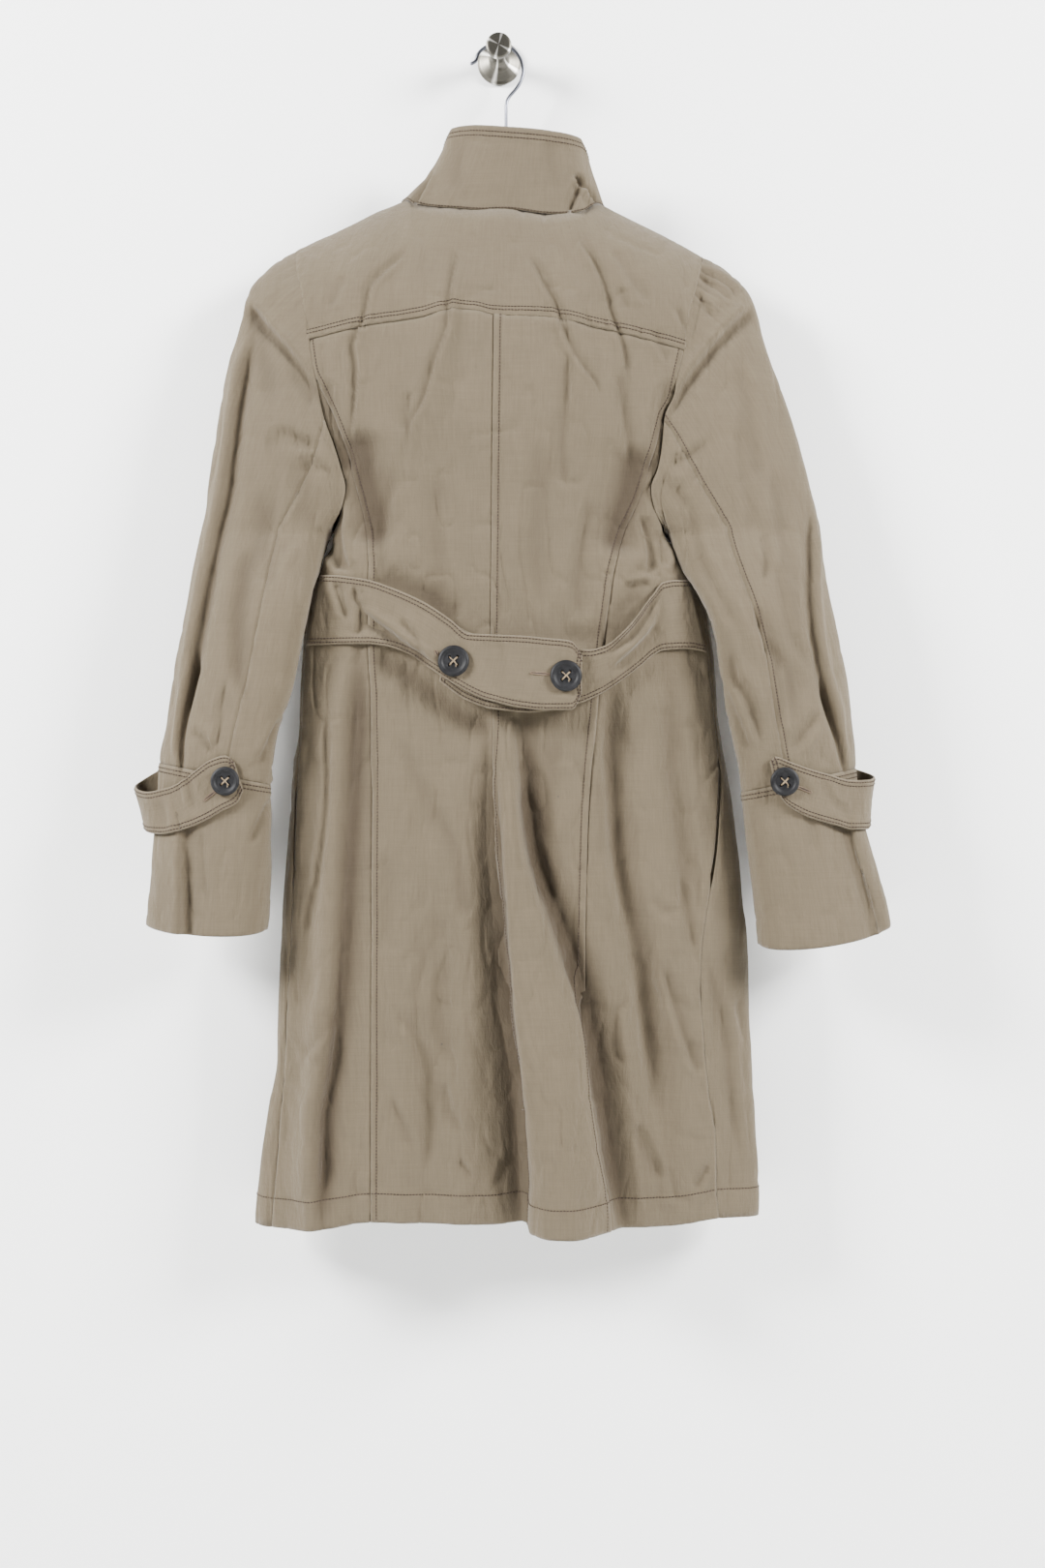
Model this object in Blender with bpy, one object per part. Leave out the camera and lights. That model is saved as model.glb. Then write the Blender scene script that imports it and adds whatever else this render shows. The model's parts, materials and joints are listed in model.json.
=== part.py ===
"""A trench coat on a hanger on a wall hook, seen from behind, as separate sewn pieces.

Frame: the origin is the centre of the wall hook's back face, +Z is up and +Y points into the
wall, so the coat's back faces -Y. Tables are in millimetres. A drop is a distance below the
origin, and left and right are as seen from behind the coat.
"""

import math

import bmesh
import bpy
import numpy as np
from mathutils import Vector

MM = 0.001

# Driving sizes in millimetres
CLOTH = 2.0
SEAM_GAP = 0.3
ARMHOLE_GAP = 0.6
UNDERARM_EASE = 1.2
EASE_REACH = 28.0
SHOULDER_ROUND = 70.0
BACK_FULLNESS = 0.6
BELT_WALL = 2.2
BELT_BUTTON = 29.0
CUFF_BUTTON = 26.5
ROSE = 42.0
HEAD = 24.0
HOOK_REACH = 45.0
WIRE = 3.0
STEM = 12.4
COLLAR_WALL = 2.5
COLLAR_TOP_X = 17.0
COLLAR_TOP_Y = -47.0
COLLAR_TOP_WIDTH = 130.0
COLLAR_TOP_DEPTH = 66.0
COLLAR_HOLLOW = 6.0
COLLAR_OPEN = 0.02
FRONT_HEM = 1106.0
LAP_RISE = 2.8
LAP_END = 58.0
LAP_FADE = 30.0
POCKET_LEFT = (692.0, 795.0)
POCKET_RIGHT = (670.0, 800.0)
POCKET_OPEN = 2.4
SLIT_END = 25.0
FACING_HALF_WIDTH = 12.0
FACING_WALL = 1.4
FACING_SPARE = 4.0
FACING_GAP = 1.6
PLEAT_STEP = 6.0
BUTTON_GAP = 0.3
ARM_HALF_DEPTH = 3.5
ARM_HALF_HEIGHT = 5.0


def table(columns, rows):
    """The columns of a short table, as named arrays."""
    names = columns.split()
    return {name: np.array([row[i] for row in rows], float) for i, name in enumerate(names)}


def smooth(xs, ys):
    """A curve through the points (xs, ys) that does not overshoot them."""
    step = np.diff(xs)
    slope = np.diff(ys) / step
    tangent = np.concatenate(([slope[0]], np.zeros(len(xs) - 2), [slope[-1]]))
    for i in range(1, len(xs) - 1):
        if slope[i - 1] * slope[i] > 0:
            near = 2 * step[i] + step[i - 1]
            far = step[i] + 2 * step[i - 1]
            tangent[i] = (near + far) / (near / slope[i - 1] + far / slope[i])

    def value(x):
        x = np.clip(x, xs[0], xs[-1])
        i = np.clip(np.searchsorted(xs, x, side="right") - 1, 0, len(xs) - 2)
        t = (x - xs[i]) / step[i]
        rise = (3 - 2 * t) * t * t
        bend = t * (1 - t)
        start = tangent[i] * step[i] * bend * (1 - t)
        end = tangent[i + 1] * step[i] * bend * t
        return ys[i] + (ys[i + 1] - ys[i]) * rise + start - end

    return value


def line(rows, key, value):
    """One column of a table as a smooth function of another."""
    return smooth(rows[key], rows[value])


def ramp(x, start, end):
    """0 before start, 1 after end, smooth between them."""
    t = np.clip((x - start) / (end - start), 0.0, 1.0)
    return t * t * (3 - 2 * t)


# Body: the side edges by drop. Above the underarm they are those of a body without sleeves.
OUTLINE = table("drop left right", (
    (100, -226, 226),
    (200, -222, 222),
    (265, -208, 206),
    (302, -200, 196),
    (350, -188, 184),
    (400, -170, 170),
    (430, -161, 161),
    (450, -157.5, 157),
    (461, -157, 156),
    (480, -160, 164),
    (500, -168, 176),
    (520, -176, 188),
    (543, -182, 198),
    (570, -184, 201.6),
    (634, -187, 205.5),
    (651, -188, 208),
    (677, -193, 213),
    (729, -196.5, 221.5),
    (797, -202.7, 229),
    (859, -206, 236),
    (928, -209.3, 237.5),
    (960, -209.8, 239),
    (1000, -217.4, 241),
    (1081, -227.2, 245),
    (1116, -230.7, 244.5),
))

# Body: depth of the side edge, of the middle of the back and of the middle of the front
DEPTH = table("drop side back front", (
    (100, -35, -68, -14),
    (165, -35, -74, -12),
    (265, -38, -86, -11),
    (350, -42, -86, -11),
    (450, -45, -80, -12),
    (540, -46, -78, -14),
    (640, -46, -82, -12),
    (800, -45, -82, -10),
    (950, -43, -80, -9),
    (1116, -41, -78, -9),
))

# Shoulder line and necklines
RIDGE = table("x drop", (
    (-191, 193),
    (-172, 183.5),
    (-152, 174),
    (-132, 164.5),
    (-112, 154.5),
    (-92, 146),
    (-60, 130),
    (0, 117),
    (62, 132),
    (100, 150),
    (114, 157.5),
    (144, 172.5),
    (174, 188),
    (192.5, 199),
))
BACK_NECK = table("x drop", (
    (-92, 146),
    (-77, 155),
    (-46, 161),
    (-8, 164),
    (30, 166),
    (64, 166.5),
    (80, 162),
    (100, 150),
))
FRONT_NECK = table("x drop", (
    (-92, 146),
    (-75, 172),
    (-40, 202),
    (4, 213),
    (48, 203),
    (83, 175),
    (100, 150),
))

# Seams of the body: x by drop
ARMHOLE_LEFT = table("drop x", (
    (193, -191),
    (205, -189.5),
    (220, -187.5),
    (245, -182.6),
    (282, -177.3),
    (302, -174.3),
    (333, -168.5),
    (359, -162.6),
    (380, -154.8),
    (404, -147.2),
    (423, -142.5),
    (440, -146),
    (452, -151.5),
    (461, -157),
))
ARMHOLE_RIGHT = table("drop x", (
    (199, 192.5),
    (208, 190.5),
    (222, 187),
    (265, 176.7),
    (292, 173.2),
    (321, 167),
    (335, 165),
    (357, 155.5),
    (384, 153),
    (404, 149.3),
    (423, 142.5),
    (440, 145),
    (452, 150),
    (461, 156),
))
SIDE_BACK_LEFT = table("drop x", (
    (318, -171.3),
    (335, -164.5),
    (351, -156.5),
    (373, -148),
    (415, -136.3),
    (463, -125),
    (496, -121),
    (574, -121),
    (623, -118.4),
    (689, -117.5),
    (956, -118),
    (1116, -118.4),
))
SIDE_BACK_RIGHT = table("drop x", (
    (355, 156),
    (393, 145.4),
    (430, 134.7),
    (467, 117.6),
    (505, 106.8),
    (536, 102.4),
    (566, 98.3),
    (648, 89.8),
    (684, 86.2),
    (748, 82.6),
    (860, 80.8),
    (924, 81.7),
    (959, 84.4),
    (1030, 92.5),
    (1084, 102.4),
    (1116, 104),
))
CENTRE_BACK = table("drop x", (
    (266, -4),
    (456, -6.2),
    (560, -7.1),
    (637, -5.3),
    (734, -8.9),
    (833, -1.7),
    (907, 3.7),
    (943, 9.9),
    (988, 18),
    (1052, 22.5),
    (1116, 25.4),
))
SIDE_LEFT = table("drop x", (
    (461, -157),
    (480, -159.6),
    (500, -167),
    (543, -180),
    (600, -183),
    (650, -185.5),
    (699, -190.3),
    (753, -192.1),
    (829, -193.9),
    (916, -198.5),
    (1006, -203.9),
    (1079, -209.3),
    (1116, -212.5),
))
SIDE_RIGHT = table("drop x", (
    (461, 156),
    (480, 163),
    (500, 174),
    (543, 194),
    (600, 199),
    (653, 204.5),
    (689, 208),
    (753, 203.6),
    (794, 197.3),
    (861, 189),
    (889, 188.2),
    (942, 191.8),
    (991, 196.8),
    (1024, 202.7),
    (1072, 203.6),
    (1116, 206.8),
))
YOKE_SEAM = table("x drop", (
    (-177, 285),
    (-148, 279.4),
    (-119, 274.4),
    (-70, 267.7),
    (-41, 261),
    (-21, 262),
    (-4, 265.7),
    (40, 267.7),
    (82, 275.4),
    (121, 283),
    (173, 295),
))
BACK_HEM = table("x drop", (
    (-232, 1113),
    (-175, 1111),
    (-110, 1105),
    (-60, 1107),
    (-5, 1106),
    (24, 1104),
    (30, 1110),
    (70, 1112),
    (112, 1110),
    (156, 1110),
    (200, 1104),
    (245, 1099),
))

# Folds of the back: the crest's line, its rise toward the viewer, and its width on each side.
# A negative rise is a trough. Crisp 1 gives that side a sharp foot, crisp 0 a soft one.
FOLDS = (
    ("centre", 1.0, 0.35, table("drop x rise left right", (
        (610, -3, 0, 8, 14),
        (680, 4, 7, 12, 18),
        (763, 12, 14, 20, 24),
        (859, 33, 22, 30, 38),
        (922, 44, 28, 38, 42),
        (986, 54, 33, 38, 42),
        (1043, 60, 36, 38, 44),
        (1116, 66, 39, 41, 50),
    ))),
    ("left hem ridge", 0.1, 0.3, table("drop x rise left right", (
        (600, -124, 0, 30, 10),
        (734, -137, 7, 34, 18),
        (868, -149, 13, 36, 26),
        (1028, -168, 19, 36, 36),
        (1116, -175, 22, 36, 44),
    ))),
    ("left middle trough", 0.0, 0.0, table("drop x rise left right", (
        (620, -66, 0, 26, 26),
        (760, -60, -4, 30, 30),
        (877, -54, -9, 34, 30),
        (1066, -62, -8, 34, 34),
        (1116, -64, -7, 34, 34),
    ))),
    ("right soft trough", 0.0, 0.0, table("drop x rise left right", (
        (600, 103, 0, 16, 18),
        (652, 104, -7, 18, 22),
        (796, 113, -10, 20, 26),
        (907, 133, -12, 24, 28),
        (1003, 148, -9, 26, 28),
        (1116, 160, -4, 28, 28),
    ))),
    ("right side trough", 0.0, 0.2, table("drop x rise left right", (
        (590, 154, 0, 14, 16),
        (636, 157, -6, 16, 18),
        (764, 173, -7, 18, 16),
        (827, 180, -6, 18, 14),
        (930, 186, 0, 16, 12),
    ))),
    ("shoulder blade left", 0.0, 0.0, table("drop x rise left right", (
        (215, -40, 0, 20, 20),
        (262, -46, 4, 24, 20),
        (330, -58, 5, 28, 24),
        (400, -80, 0, 28, 24),
    ))),
    ("shoulder blade right", 0.0, 0.0, table("drop x rise left right", (
        (215, 64, 0, 20, 24),
        (262, 68, 3, 22, 26),
        (330, 78, 4, 26, 26),
        (410, 96, 0, 26, 26),
    ))),
)

# Sleeves: outer and inner edges by drop, their depths, and half the sleeve's thickness
SLEEVE_LEFT = table("drop outer inner", (
    (193, -191, -157),
    (199, -201, -157),
    (206, -212, -157),
    (214, -221, -157),
    (222, -230, -157),
    (234, -237.2, -157),
    (253, -242.5, -157),
    (277, -248, -157),
    (301, -255.3, -157),
    (341, -262, -157),
    (392, -270, -157),
    (445, -277.4, -157),
    (461, -280.3, -157.3),
    (472, -282.2, -161.5),
    (485, -284.7, -164.5),
    (498, -287.3, -167),
    (532, -292.8, -174),
    (574, -301.2, -182.5),
    (605, -305.6, -188),
    (633, -309.6, -197),
    (651, -312.8, -204.7),
    (675, -317, -207.7),
    (710, -319, -209.5),
    (760, -322.5, -210.3),
    (800, -325.5, -212.3),
    (845, -329, -215),
))
SLEEVE_RIGHT = table("drop outer inner", (
    (199, 192.5, 156),
    (203, 201, 156),
    (211, 213, 156),
    (224, 228.1, 156),
    (240, 240, 156),
    (257, 246, 156),
    (277, 250.5, 156),
    (313, 262, 156),
    (348, 273.7, 156),
    (388, 285.4, 156),
    (439, 298.5, 156),
    (461, 301.4, 156.4),
    (472, 302.8, 161),
    (485, 304.2, 165.5),
    (507, 308, 176),
    (525, 311, 186),
    (544, 315.5, 196),
    (567, 320.5, 200.6),
    (596, 326, 204.6),
    (631, 330.3, 210),
    (662, 334, 217.5),
    (690, 336.5, 223.7),
    (732, 342, 228),
    (767, 350.8, 232),
    (799, 359, 237),
    (827, 364.8, 239.3),
    (855, 368, 241),
))
SLEEVE_DEPTH = table("drop outer inner half", (
    (193, -35, -38, 0.5),
    (200, -36, -38, 9),
    (212, -37, -39, 14.5),
    (232, -39, -41, 19),
    (262, -41, -42, 21),
    (302, -42, -43, 22),
    (400, -46, -45, 24),
    (461, -49, -45, 25),
    (472, -50, -55, 25),
    (485, -51, -64, 25.5),
    (500, -52, -70, 25.5),
    (520, -52, -75, 26),
    (560, -53, -78, 26),
    (640, -55, -78, 26.5),
    (700, -57, -76, 27.5),
    (760, -58, -75, 30),
    (855, -59, -74, 34),
))
CUFF_SEAM = {"left": (679.0, 699.5), "right": (684.0, 706.0)}
CUFF_HEM = {"left": (826.0, 837.5, 832.5), "right": (828.0, 847.0, 846.0)}
PLEAT = {
    "left": table("drop x rise", (
        (700, -300, 0),
        (745, -290, 4),
        (780, -287, 7),
        (845, -287, 8),
    )),
    "right": table("drop x rise", (
        (690, 330, 0),
        (743, 322, 3),
        (790, 334, 5),
        (855, 350, 6),
    )),
}
ARMHOLE = {"left": ARMHOLE_LEFT, "right": ARMHOLE_RIGHT}
SIDE = {"left": SIDE_LEFT, "right": SIDE_RIGHT}
SLEEVE = {"left": SLEEVE_LEFT, "right": SLEEVE_RIGHT}
SIDE_BACK = {"left": SIDE_BACK_LEFT, "right": SIDE_BACK_RIGHT}
POCKET = {"left": POCKET_LEFT, "right": POCKET_RIGHT}

# Rows and columns that neighbouring pieces share, so that their seams match point for point.
# The elbow seam leaves the armhole at place ELBOW_TOP and settles at ELBOW_PLACE.
UNDERARM = 461.0
ROWS = np.array((324, 361, 400, 432, UNDERARM, 485, 512, 543, 578, 615, 652, 690, 730, 770, 810,
                 850, 892, 935, 980, 1025, 1070.0))
YOKE_ROWS = 5
SHOULDER_COLUMNS = 5
SIDE_COLUMNS = 7
CUFF_COLUMNS = 26
SIDE_CROWDING = 1.8
NECK_TURNS = np.arange(-90, 91, 18.0)
FRONT_TURNS = np.arange(90, 199, 18.0)
YOKE_X = np.concatenate([np.linspace(-177, -4, 10), np.linspace(-4, 173, 12)[1:]])
SLEEVE_ROWS = np.array((0, 0.025, 0.06, 0.11, 0.18, 0.26, 0.36, 0.47, 0.58, 0.7, 0.85, 1))
ELBOW_TOP = 0.655
ELBOW_PLACE = 0.59
ELBOW_SETTLE = 0.35

# Belt, its inner face lifted off the back: rows run from the side to the free end
BELT_LEFT = table("x_top drop_top lift_top x_low drop_low lift_low", (
    (-166, 503.5, 1.6, -179, 569.0, 1.6),
    (-154, 504, 1.4, -162, 569.0, 1.4),
    (-138, 506, 1.2, -142, 568.7, 1.2),
    (-121, 509, 1.8, -122, 568.8, 1.8),
    (-98, 517, 4.5, -104, 571, 4),
    (-68, 531, 10, -85, 577.5, 9),
    (-44, 547, 13.5, -63, 592, 13),
    (-26, 560.5, 15, -40, 607, 15.5),
    (-8, 561.5, 16, -12, 621, 18),
    (20, 562.8, 17, 18, 628.6, 19),
    (44, 565, 18, 43, 631.2, 19.5),
    (66, 567.5, 18, 67, 631, 19.5),
    (77, 581, 18, 76.5, 616, 19),
))
BELT_RIGHT = table("x_top drop_top lift_top x_low drop_low lift_low", (
    (177, 508.6, 1.6, 194, 575.5, 1.6),
    (167, 508.6, 1.4, 176, 573, 1.4),
    (153, 511, 1.4, 154, 574.5, 1.4),
    (142, 524, 6, 142, 580, 2.5),
    (130, 541, 14, 130, 590, 5),
    (115, 558, 19, 115, 601.5, 7),
    (99, 571, 16, 98, 613, 9),
    (83, 575, 12.5, 80, 622.5, 11.5),
    (60, 574, 12.5, 55, 630, 13),
    (30, 572, 12, 27, 633, 13.5),
    (0, 568, 11.5, -2, 630.5, 12.5),
    (-24, 560, 10.5, -28, 622, 11),
    (-44, 550, 9.3, -54, 604, 9.3),
))
BELT_BUTTONS = {"left": (6.75, 0.62), "right": (10.75, 0.52)}

# Cuff tabs, their inner face lifted off the cuff: rows run from the wall side to the end
TAB_LEFT = table("s_top drop_top lift_top s_low drop_low lift_low", (
    (-0.45, 668, 0.8, -0.45, 708, 0.8),
    (-0.30, 672, 1.5, -0.28, 713, 1.5),
    (-0.15, 683, 8, -0.12, 725, 8),
    (-0.02, 699, 13, 0.0, 739, 13),
    (0.12, 707, 8, 0.14, 744.5, 8),
    (0.22, 704, 4, 0.24, 745, 4),
    (0.32, 698, 2.5, 0.36, 741, 2.5),
    (0.42, 686, 2, 0.48, 733, 2),
    (0.50, 676, 2, 0.57, 724, 2),
    (0.57, 672.5, 1.5, 0.66, 715, 1.5),
    (0.63, 679, 1.5, 0.69, 704, 1.5),
))
TAB_RIGHT = table("s_top drop_top lift_top s_low drop_low lift_low", (
    (-0.45, 668, 0.8, -0.45, 708, 0.8),
    (-0.30, 673, 1.5, -0.28, 714, 1.5),
    (-0.15, 683, 3.5, -0.12, 725, 3.5),
    (0.0, 692, 5, 0.0, 735, 5),
    (0.12, 696, 4, 0.14, 741, 4),
    (0.25, 695, 2.5, 0.26, 741, 2.5),
    (0.36, 690, 2, 0.36, 737, 2),
    (0.46, 685, 2, 0.46, 732, 2),
    (0.55, 679, 2, 0.55, 725, 2),
    (0.63, 673.5, 1.5, 0.62, 715, 1.5),
    (0.67, 678, 1.5, 0.66, 702, 1.5),
))
TAB_BUTTONS = {"left": (8.6, 0.5), "right": (8.7, 0.5)}

COLLAR_TOP = table("turn drop", (
    (-180, 132),
    (-120, 121),
    (-90, 95),
    (-60, 85),
    (-30, 82.6),
    (0, 84),
    (30, 88),
    (60, 91.5),
    (90, 101),
    (120, 123),
    (180, 132),
))
HANGER_WIRE = table("x y drop", (
    (-27.5, -25.5, 10.8),
    (-22.5, -25.5, 8),
    (-20.2, -25.5, 1.5),
    (-13.4, -25.5, -5.0),
    (-6, -25.5, -7.7),
    (1, -25.5, -8.2),
    (9, -25.5, -6.0),
    (17, -25.5, 0.5),
    (21.8, -25.5, 9),
    (23.4, -25.5, 18),
    (21.5, -25.5, 28),
    (15, -26, 36.4),
    (9, -26.5, 43),
    (6.8, -27, 51),
    (6.8, -31, 90),
    (6.8, -36, 133.7),
))
HANGER_ARMS = table("x y drop", (
    (-172, -37, 195.4),
    (-150, -37, 184.9),
    (-120, -37, 170.4),
    (-92, -37, 157.4),
    (-60, -37, 147),
    (-30, -37, 141),
    (7, -37, 138.5),
    (40, -37, 142),
    (70, -37, 150),
    (100, -37, 161.9),
    (130, -37, 177.9),
    (155, -37, 190.9),
    (173, -37, 200.4),
))


def ring_centre(drop):
    """Middle and half of the body's width at a drop."""
    left = line(OUTLINE, "drop", "left")(drop)
    right = line(OUTLINE, "drop", "right")(drop)
    return (left + right) / 2, (right - left) / 2


def across(x, drop):
    """Place across the body: -1 at its left edge, 0 in the middle and 1 at its right edge."""
    middle, half = ring_centre(drop)
    return np.arcsin(np.clip((x - middle) / half, -1.0, 1.0)) * 2 / math.pi


ridge_drop = smooth(across(RIDGE["x"], RIDGE["drop"]), RIDGE["drop"])


def down(place, drop):
    """How far down the cloth a drop lies: 0 on the shoulder line, 1 where its rounding ends."""
    fall = np.maximum(drop - ridge_drop(place), 0.0) / SHOULDER_ROUND
    rounded = np.arccos(np.clip(1 - fall, 0.0, 1.0)) * 2 / math.pi
    return np.where(fall < 1, rounded, 1 + (fall - 1) * 2 / math.pi)


def bump(t, crisp):
    """Cross-section of a fold: 1 on its crest and 0 at its foot, with a soft or a crisp foot."""
    t = np.clip(np.abs(t), 0.0, 1.0)
    return (1 - crisp) * np.cos(t * math.pi / 2) ** 2 + crisp * (1 - t ** 4)


def folds(x, drop):
    """Height of all the folds of the back at a point."""
    total = np.zeros(np.broadcast(x, drop).shape)
    for name, crisp_left, crisp_right, rows in FOLDS:
        crest = line(rows, "drop", "x")(drop)
        rise = line(rows, "drop", "rise")(drop)
        left = line(rows, "drop", "left")(drop)
        right = line(rows, "drop", "right")(drop)
        inside = (drop >= rows["drop"][0]) & (drop <= rows["drop"][-1])
        t = np.where(x < crest, (x - crest) / left, (x - crest) / right)
        crisp = np.where(x < crest, crisp_left, crisp_right)
        total = total + np.where(inside, rise * bump(t, crisp), 0.0)
    return total


def body(ring, depth_down):
    """A point of the body's outer face.

    Ring runs from -1 at the left edge through 0 at the centre back, 1 at the right edge and
    2 at the centre front to 3 at the left edge again. The cloth's depth at each height is an
    oval between the side, back and front depths, rounded in over the shoulders.
    """
    ring = np.mod(np.asarray(ring, float) + 1, 4) - 1
    is_front = ring > 1
    place = np.where(is_front, 2 - ring, ring)
    turn = place * math.pi / 2
    near = np.clip(depth_down, 0, 1) * math.pi / 2
    fall = 1 - np.cos(near) + np.maximum(depth_down - 1, 0) * math.pi / 2
    drop = ridge_drop(place) + SHOULDER_ROUND * fall
    middle, half = ring_centre(drop)
    x = middle + half * np.sin(turn)
    side = line(DEPTH, "drop", "side")(drop)
    back = line(DEPTH, "drop", "back")(drop)
    front = line(DEPTH, "drop", "front")(drop)
    oval = np.maximum(np.cos(turn), 0.0) ** BACK_FULLNESS
    y_back = side + (back - side) * oval * np.sin(near) - folds(x, drop) * oval
    y_front = side + (front - side) * oval * np.sin(near)
    return np.stack([x, np.where(is_front, y_front, y_back), -drop], axis=-1)


def on_back(x, drop):
    """The body's places of a point of the back."""
    place = across(x, drop)
    return place, down(place, drop)


def on_front(x, drop):
    """The body's places of a point of the front."""
    place = across(x, drop)
    return 2 - place, down(place, drop)


def round_left(x, drop):
    """The body's places of a point of the back, counted on from the front's left edge."""
    place = across(x, drop)
    return place + 4, down(place, drop)


def slopes(surface, u, v, step=0.002):
    """A surface's change per unit of each of its two places."""
    along_u = (surface(u + step, v) - surface(u - step, v)) / (2 * step)
    along_v = (surface(u, v + step) - surface(u, v)) / step
    return along_u, along_v


def normals(surface, u, v):
    """Unit normals of a surface, from its slopes."""
    normal = np.cross(*slopes(surface, u, v))
    return normal / np.linalg.norm(normal, axis=-1, keepdims=True)


def pull_in(surface, u, v, left=SEAM_GAP / 2, right=SEAM_GAP / 2, top=SEAM_GAP / 2,
            bottom=SEAM_GAP / 2):
    """Move a grid's four edges in by distances measured along the cloth."""
    along_u, along_v = (np.linalg.norm(slope, axis=-1) for slope in slopes(surface, u, v))
    u, v = u.copy(), v.copy()
    u[:, 0] += left / along_u[:, 0]
    u[:, -1] -= right / along_u[:, -1]
    v[0] += top / along_v[0]
    v[-1] -= bottom / along_v[-1]
    return u, v


def shares(values):
    """The places of a rising or falling list between its ends, from 0 to 1."""
    return (values - values[0]) / (values[-1] - values[0])


def patch(top, bottom, left, right):
    """A grid of places inside four edges, each edge a pair of lists of places."""
    p = (shares(top[0]) + shares(bottom[0]))[None, :] / 2
    q = (shares(left[1]) + shares(right[1]))[:, None] / 2
    grid = []
    for t, b, l, r in zip(top, bottom, left, right):
        corners = ((1 - p) * (1 - q) * t[0] + p * (1 - q) * t[-1]
                   + (1 - p) * q * b[0] + p * q * b[-1])
        grid.append((1 - q) * t[None, :] + q * b[None, :]
                    + (1 - p) * l[:, None] + p * r[:, None] - corners)
    return grid


def material(name, colour, roughness, metallic=0.0):
    """A plain material of one colour."""
    made = bpy.data.materials.new(name)
    made.use_nodes = True
    shader = made.node_tree.nodes["Principled BSDF"]
    shader.inputs["Base Color"].default_value = (*colour, 1.0)
    shader.inputs["Roughness"].default_value = roughness
    shader.inputs["Metallic"].default_value = metallic
    return made


def add_object(name, mesh, finish, parent):
    """Link a mesh as a named object with one material under a parent."""
    mesh.materials.append(finish)
    made = bpy.data.objects.new(name, mesh)
    bpy.context.scene.collection.objects.link(made)
    made.parent = parent
    return made


def mesh_from(name, points, faces):
    """A closed mesh from points in millimetres, its faces turned outward."""
    mesh = bpy.data.meshes.new(name)
    mesh.from_pydata([tuple(point) for point in points * MM], [], faces)
    work = bmesh.new()
    work.from_mesh(mesh)
    bmesh.ops.recalc_face_normals(work, faces=work.faces)
    work.to_mesh(mesh)
    work.free()
    mesh.shade_smooth()
    mesh.set_sharp_from_angle(angle=math.radians(50))
    return mesh


def wall(name, outer, inner, finish, parent, closed=False):
    """A cloth wall between two grids of points, joined round where the grid is a tube."""
    rows, columns = outer.shape[:2]
    points = np.concatenate([outer.reshape(-1, 3), inner.reshape(-1, 3)])
    steps = columns if closed else columns - 1
    faces = []

    def corner(i, j, layer):
        return layer * rows * columns + i * columns + j % columns

    def add(a, b, c, d):
        faces.extend(((a, b, c), (a, c, d)))

    for i in range(rows - 1):
        for j in range(steps):
            for layer in range(2):
                add(corner(i, j, layer), corner(i, j + 1, layer),
                    corner(i + 1, j + 1, layer), corner(i + 1, j, layer))
    for i in (0, rows - 1):
        for j in range(steps):
            add(corner(i, j, 0), corner(i, j + 1, 0), corner(i, j + 1, 1), corner(i, j, 1))
    for j in () if closed else (0, columns - 1):
        for i in range(rows - 1):
            add(corner(i, j, 0), corner(i + 1, j, 0), corner(i + 1, j, 1), corner(i, j, 1))
    add_object(name, mesh_from(name, points, faces), finish, parent)


def seam(rows, face=on_back):
    """A seam's places on the body, by drop."""
    x_at = line(rows, "drop", "x")
    return lambda drop: face(x_at(drop), drop)


def joined(upper, lower, change):
    """A curve by drop that follows one seam above a drop and another below it."""
    def curve(drop):
        above, below = upper(np.minimum(drop, change)), lower(np.maximum(drop, change))
        return tuple(np.where(drop < change, a, b) for a, b in zip(above, below))
    return curve


def level(rows, x):
    """A crosswise seam's places on the back at a list of x."""
    return on_back(x, line(rows, "x", "drop")(x))


def neck_edge(rows):
    """How far down the neckline lies, by place across: 0 on the shoulders outside it."""
    place = across(rows["x"], rows["drop"])
    depth_down = smooth(place, down(place, rows["drop"]))
    return lambda c: np.where((c > place[0]) & (c < place[-1]), depth_down(c), 0.0)


def tip_place(rows, i):
    """Place across the body of a row of a table of x and drop."""
    return float(across(rows["x"][i], rows["drop"][i]))


NECK_LEFT, NECK_RIGHT = tip_place(BACK_NECK, 0), tip_place(BACK_NECK, -1)
TIP_LEFT, TIP_RIGHT = tip_place(RIDGE, 0), tip_place(RIDGE, -1)
back_neck_down = neck_edge(BACK_NECK)
front_neck_down = neck_edge(FRONT_NECK)


def neck_places(turn):
    """Places across the body round the neck, by turn in radians from the centre back."""
    return (NECK_LEFT + NECK_RIGHT) / 2 + (NECK_RIGHT - NECK_LEFT) / 2 * np.sin(turn)


def body_panel(name, edges, parent, gaps=None, lap=None):
    """A wall of body cloth inside four seams, with lap an outward shift that depends on x."""
    ring, depth_down = patch(*edges)
    drop = -body(ring, depth_down)[..., 2]
    edge_drop = {"left": drop[:, 0], "right": drop[:, -1]}
    widths = {edge: gap(edge_drop[edge]) for edge, gap in (gaps or {}).items()}
    ring, depth_down = pull_in(body, ring, depth_down, **widths)
    outer = body(ring, depth_down)
    normal = normals(body, ring, depth_down)
    if lap:
        outer = outer - normal * lap(outer[..., 0:1])
    wall(name, outer, outer + normal * CLOTH, coat_cloth(name), parent)


def side_gap(side):
    """Half the gap along an armhole and side seam by drop, open at the pocket's slit."""
    start, end = POCKET[side]

    def gap(drop):
        slit = POCKET_OPEN * ramp(drop, start, start + SLIT_END) * (
            1 - ramp(drop, end - SLIT_END, end))
        return SEAM_GAP / 2 + slit
    return gap


def coat_cloth(name):
    """Taupe cotton for one piece of the coat."""
    return material(name, (0.43, 0.38, 0.30), 0.85)


def horn(name):
    """Dark grey button plastic for one button."""
    return material(name, (0.035, 0.033, 0.036), 0.35)


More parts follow.
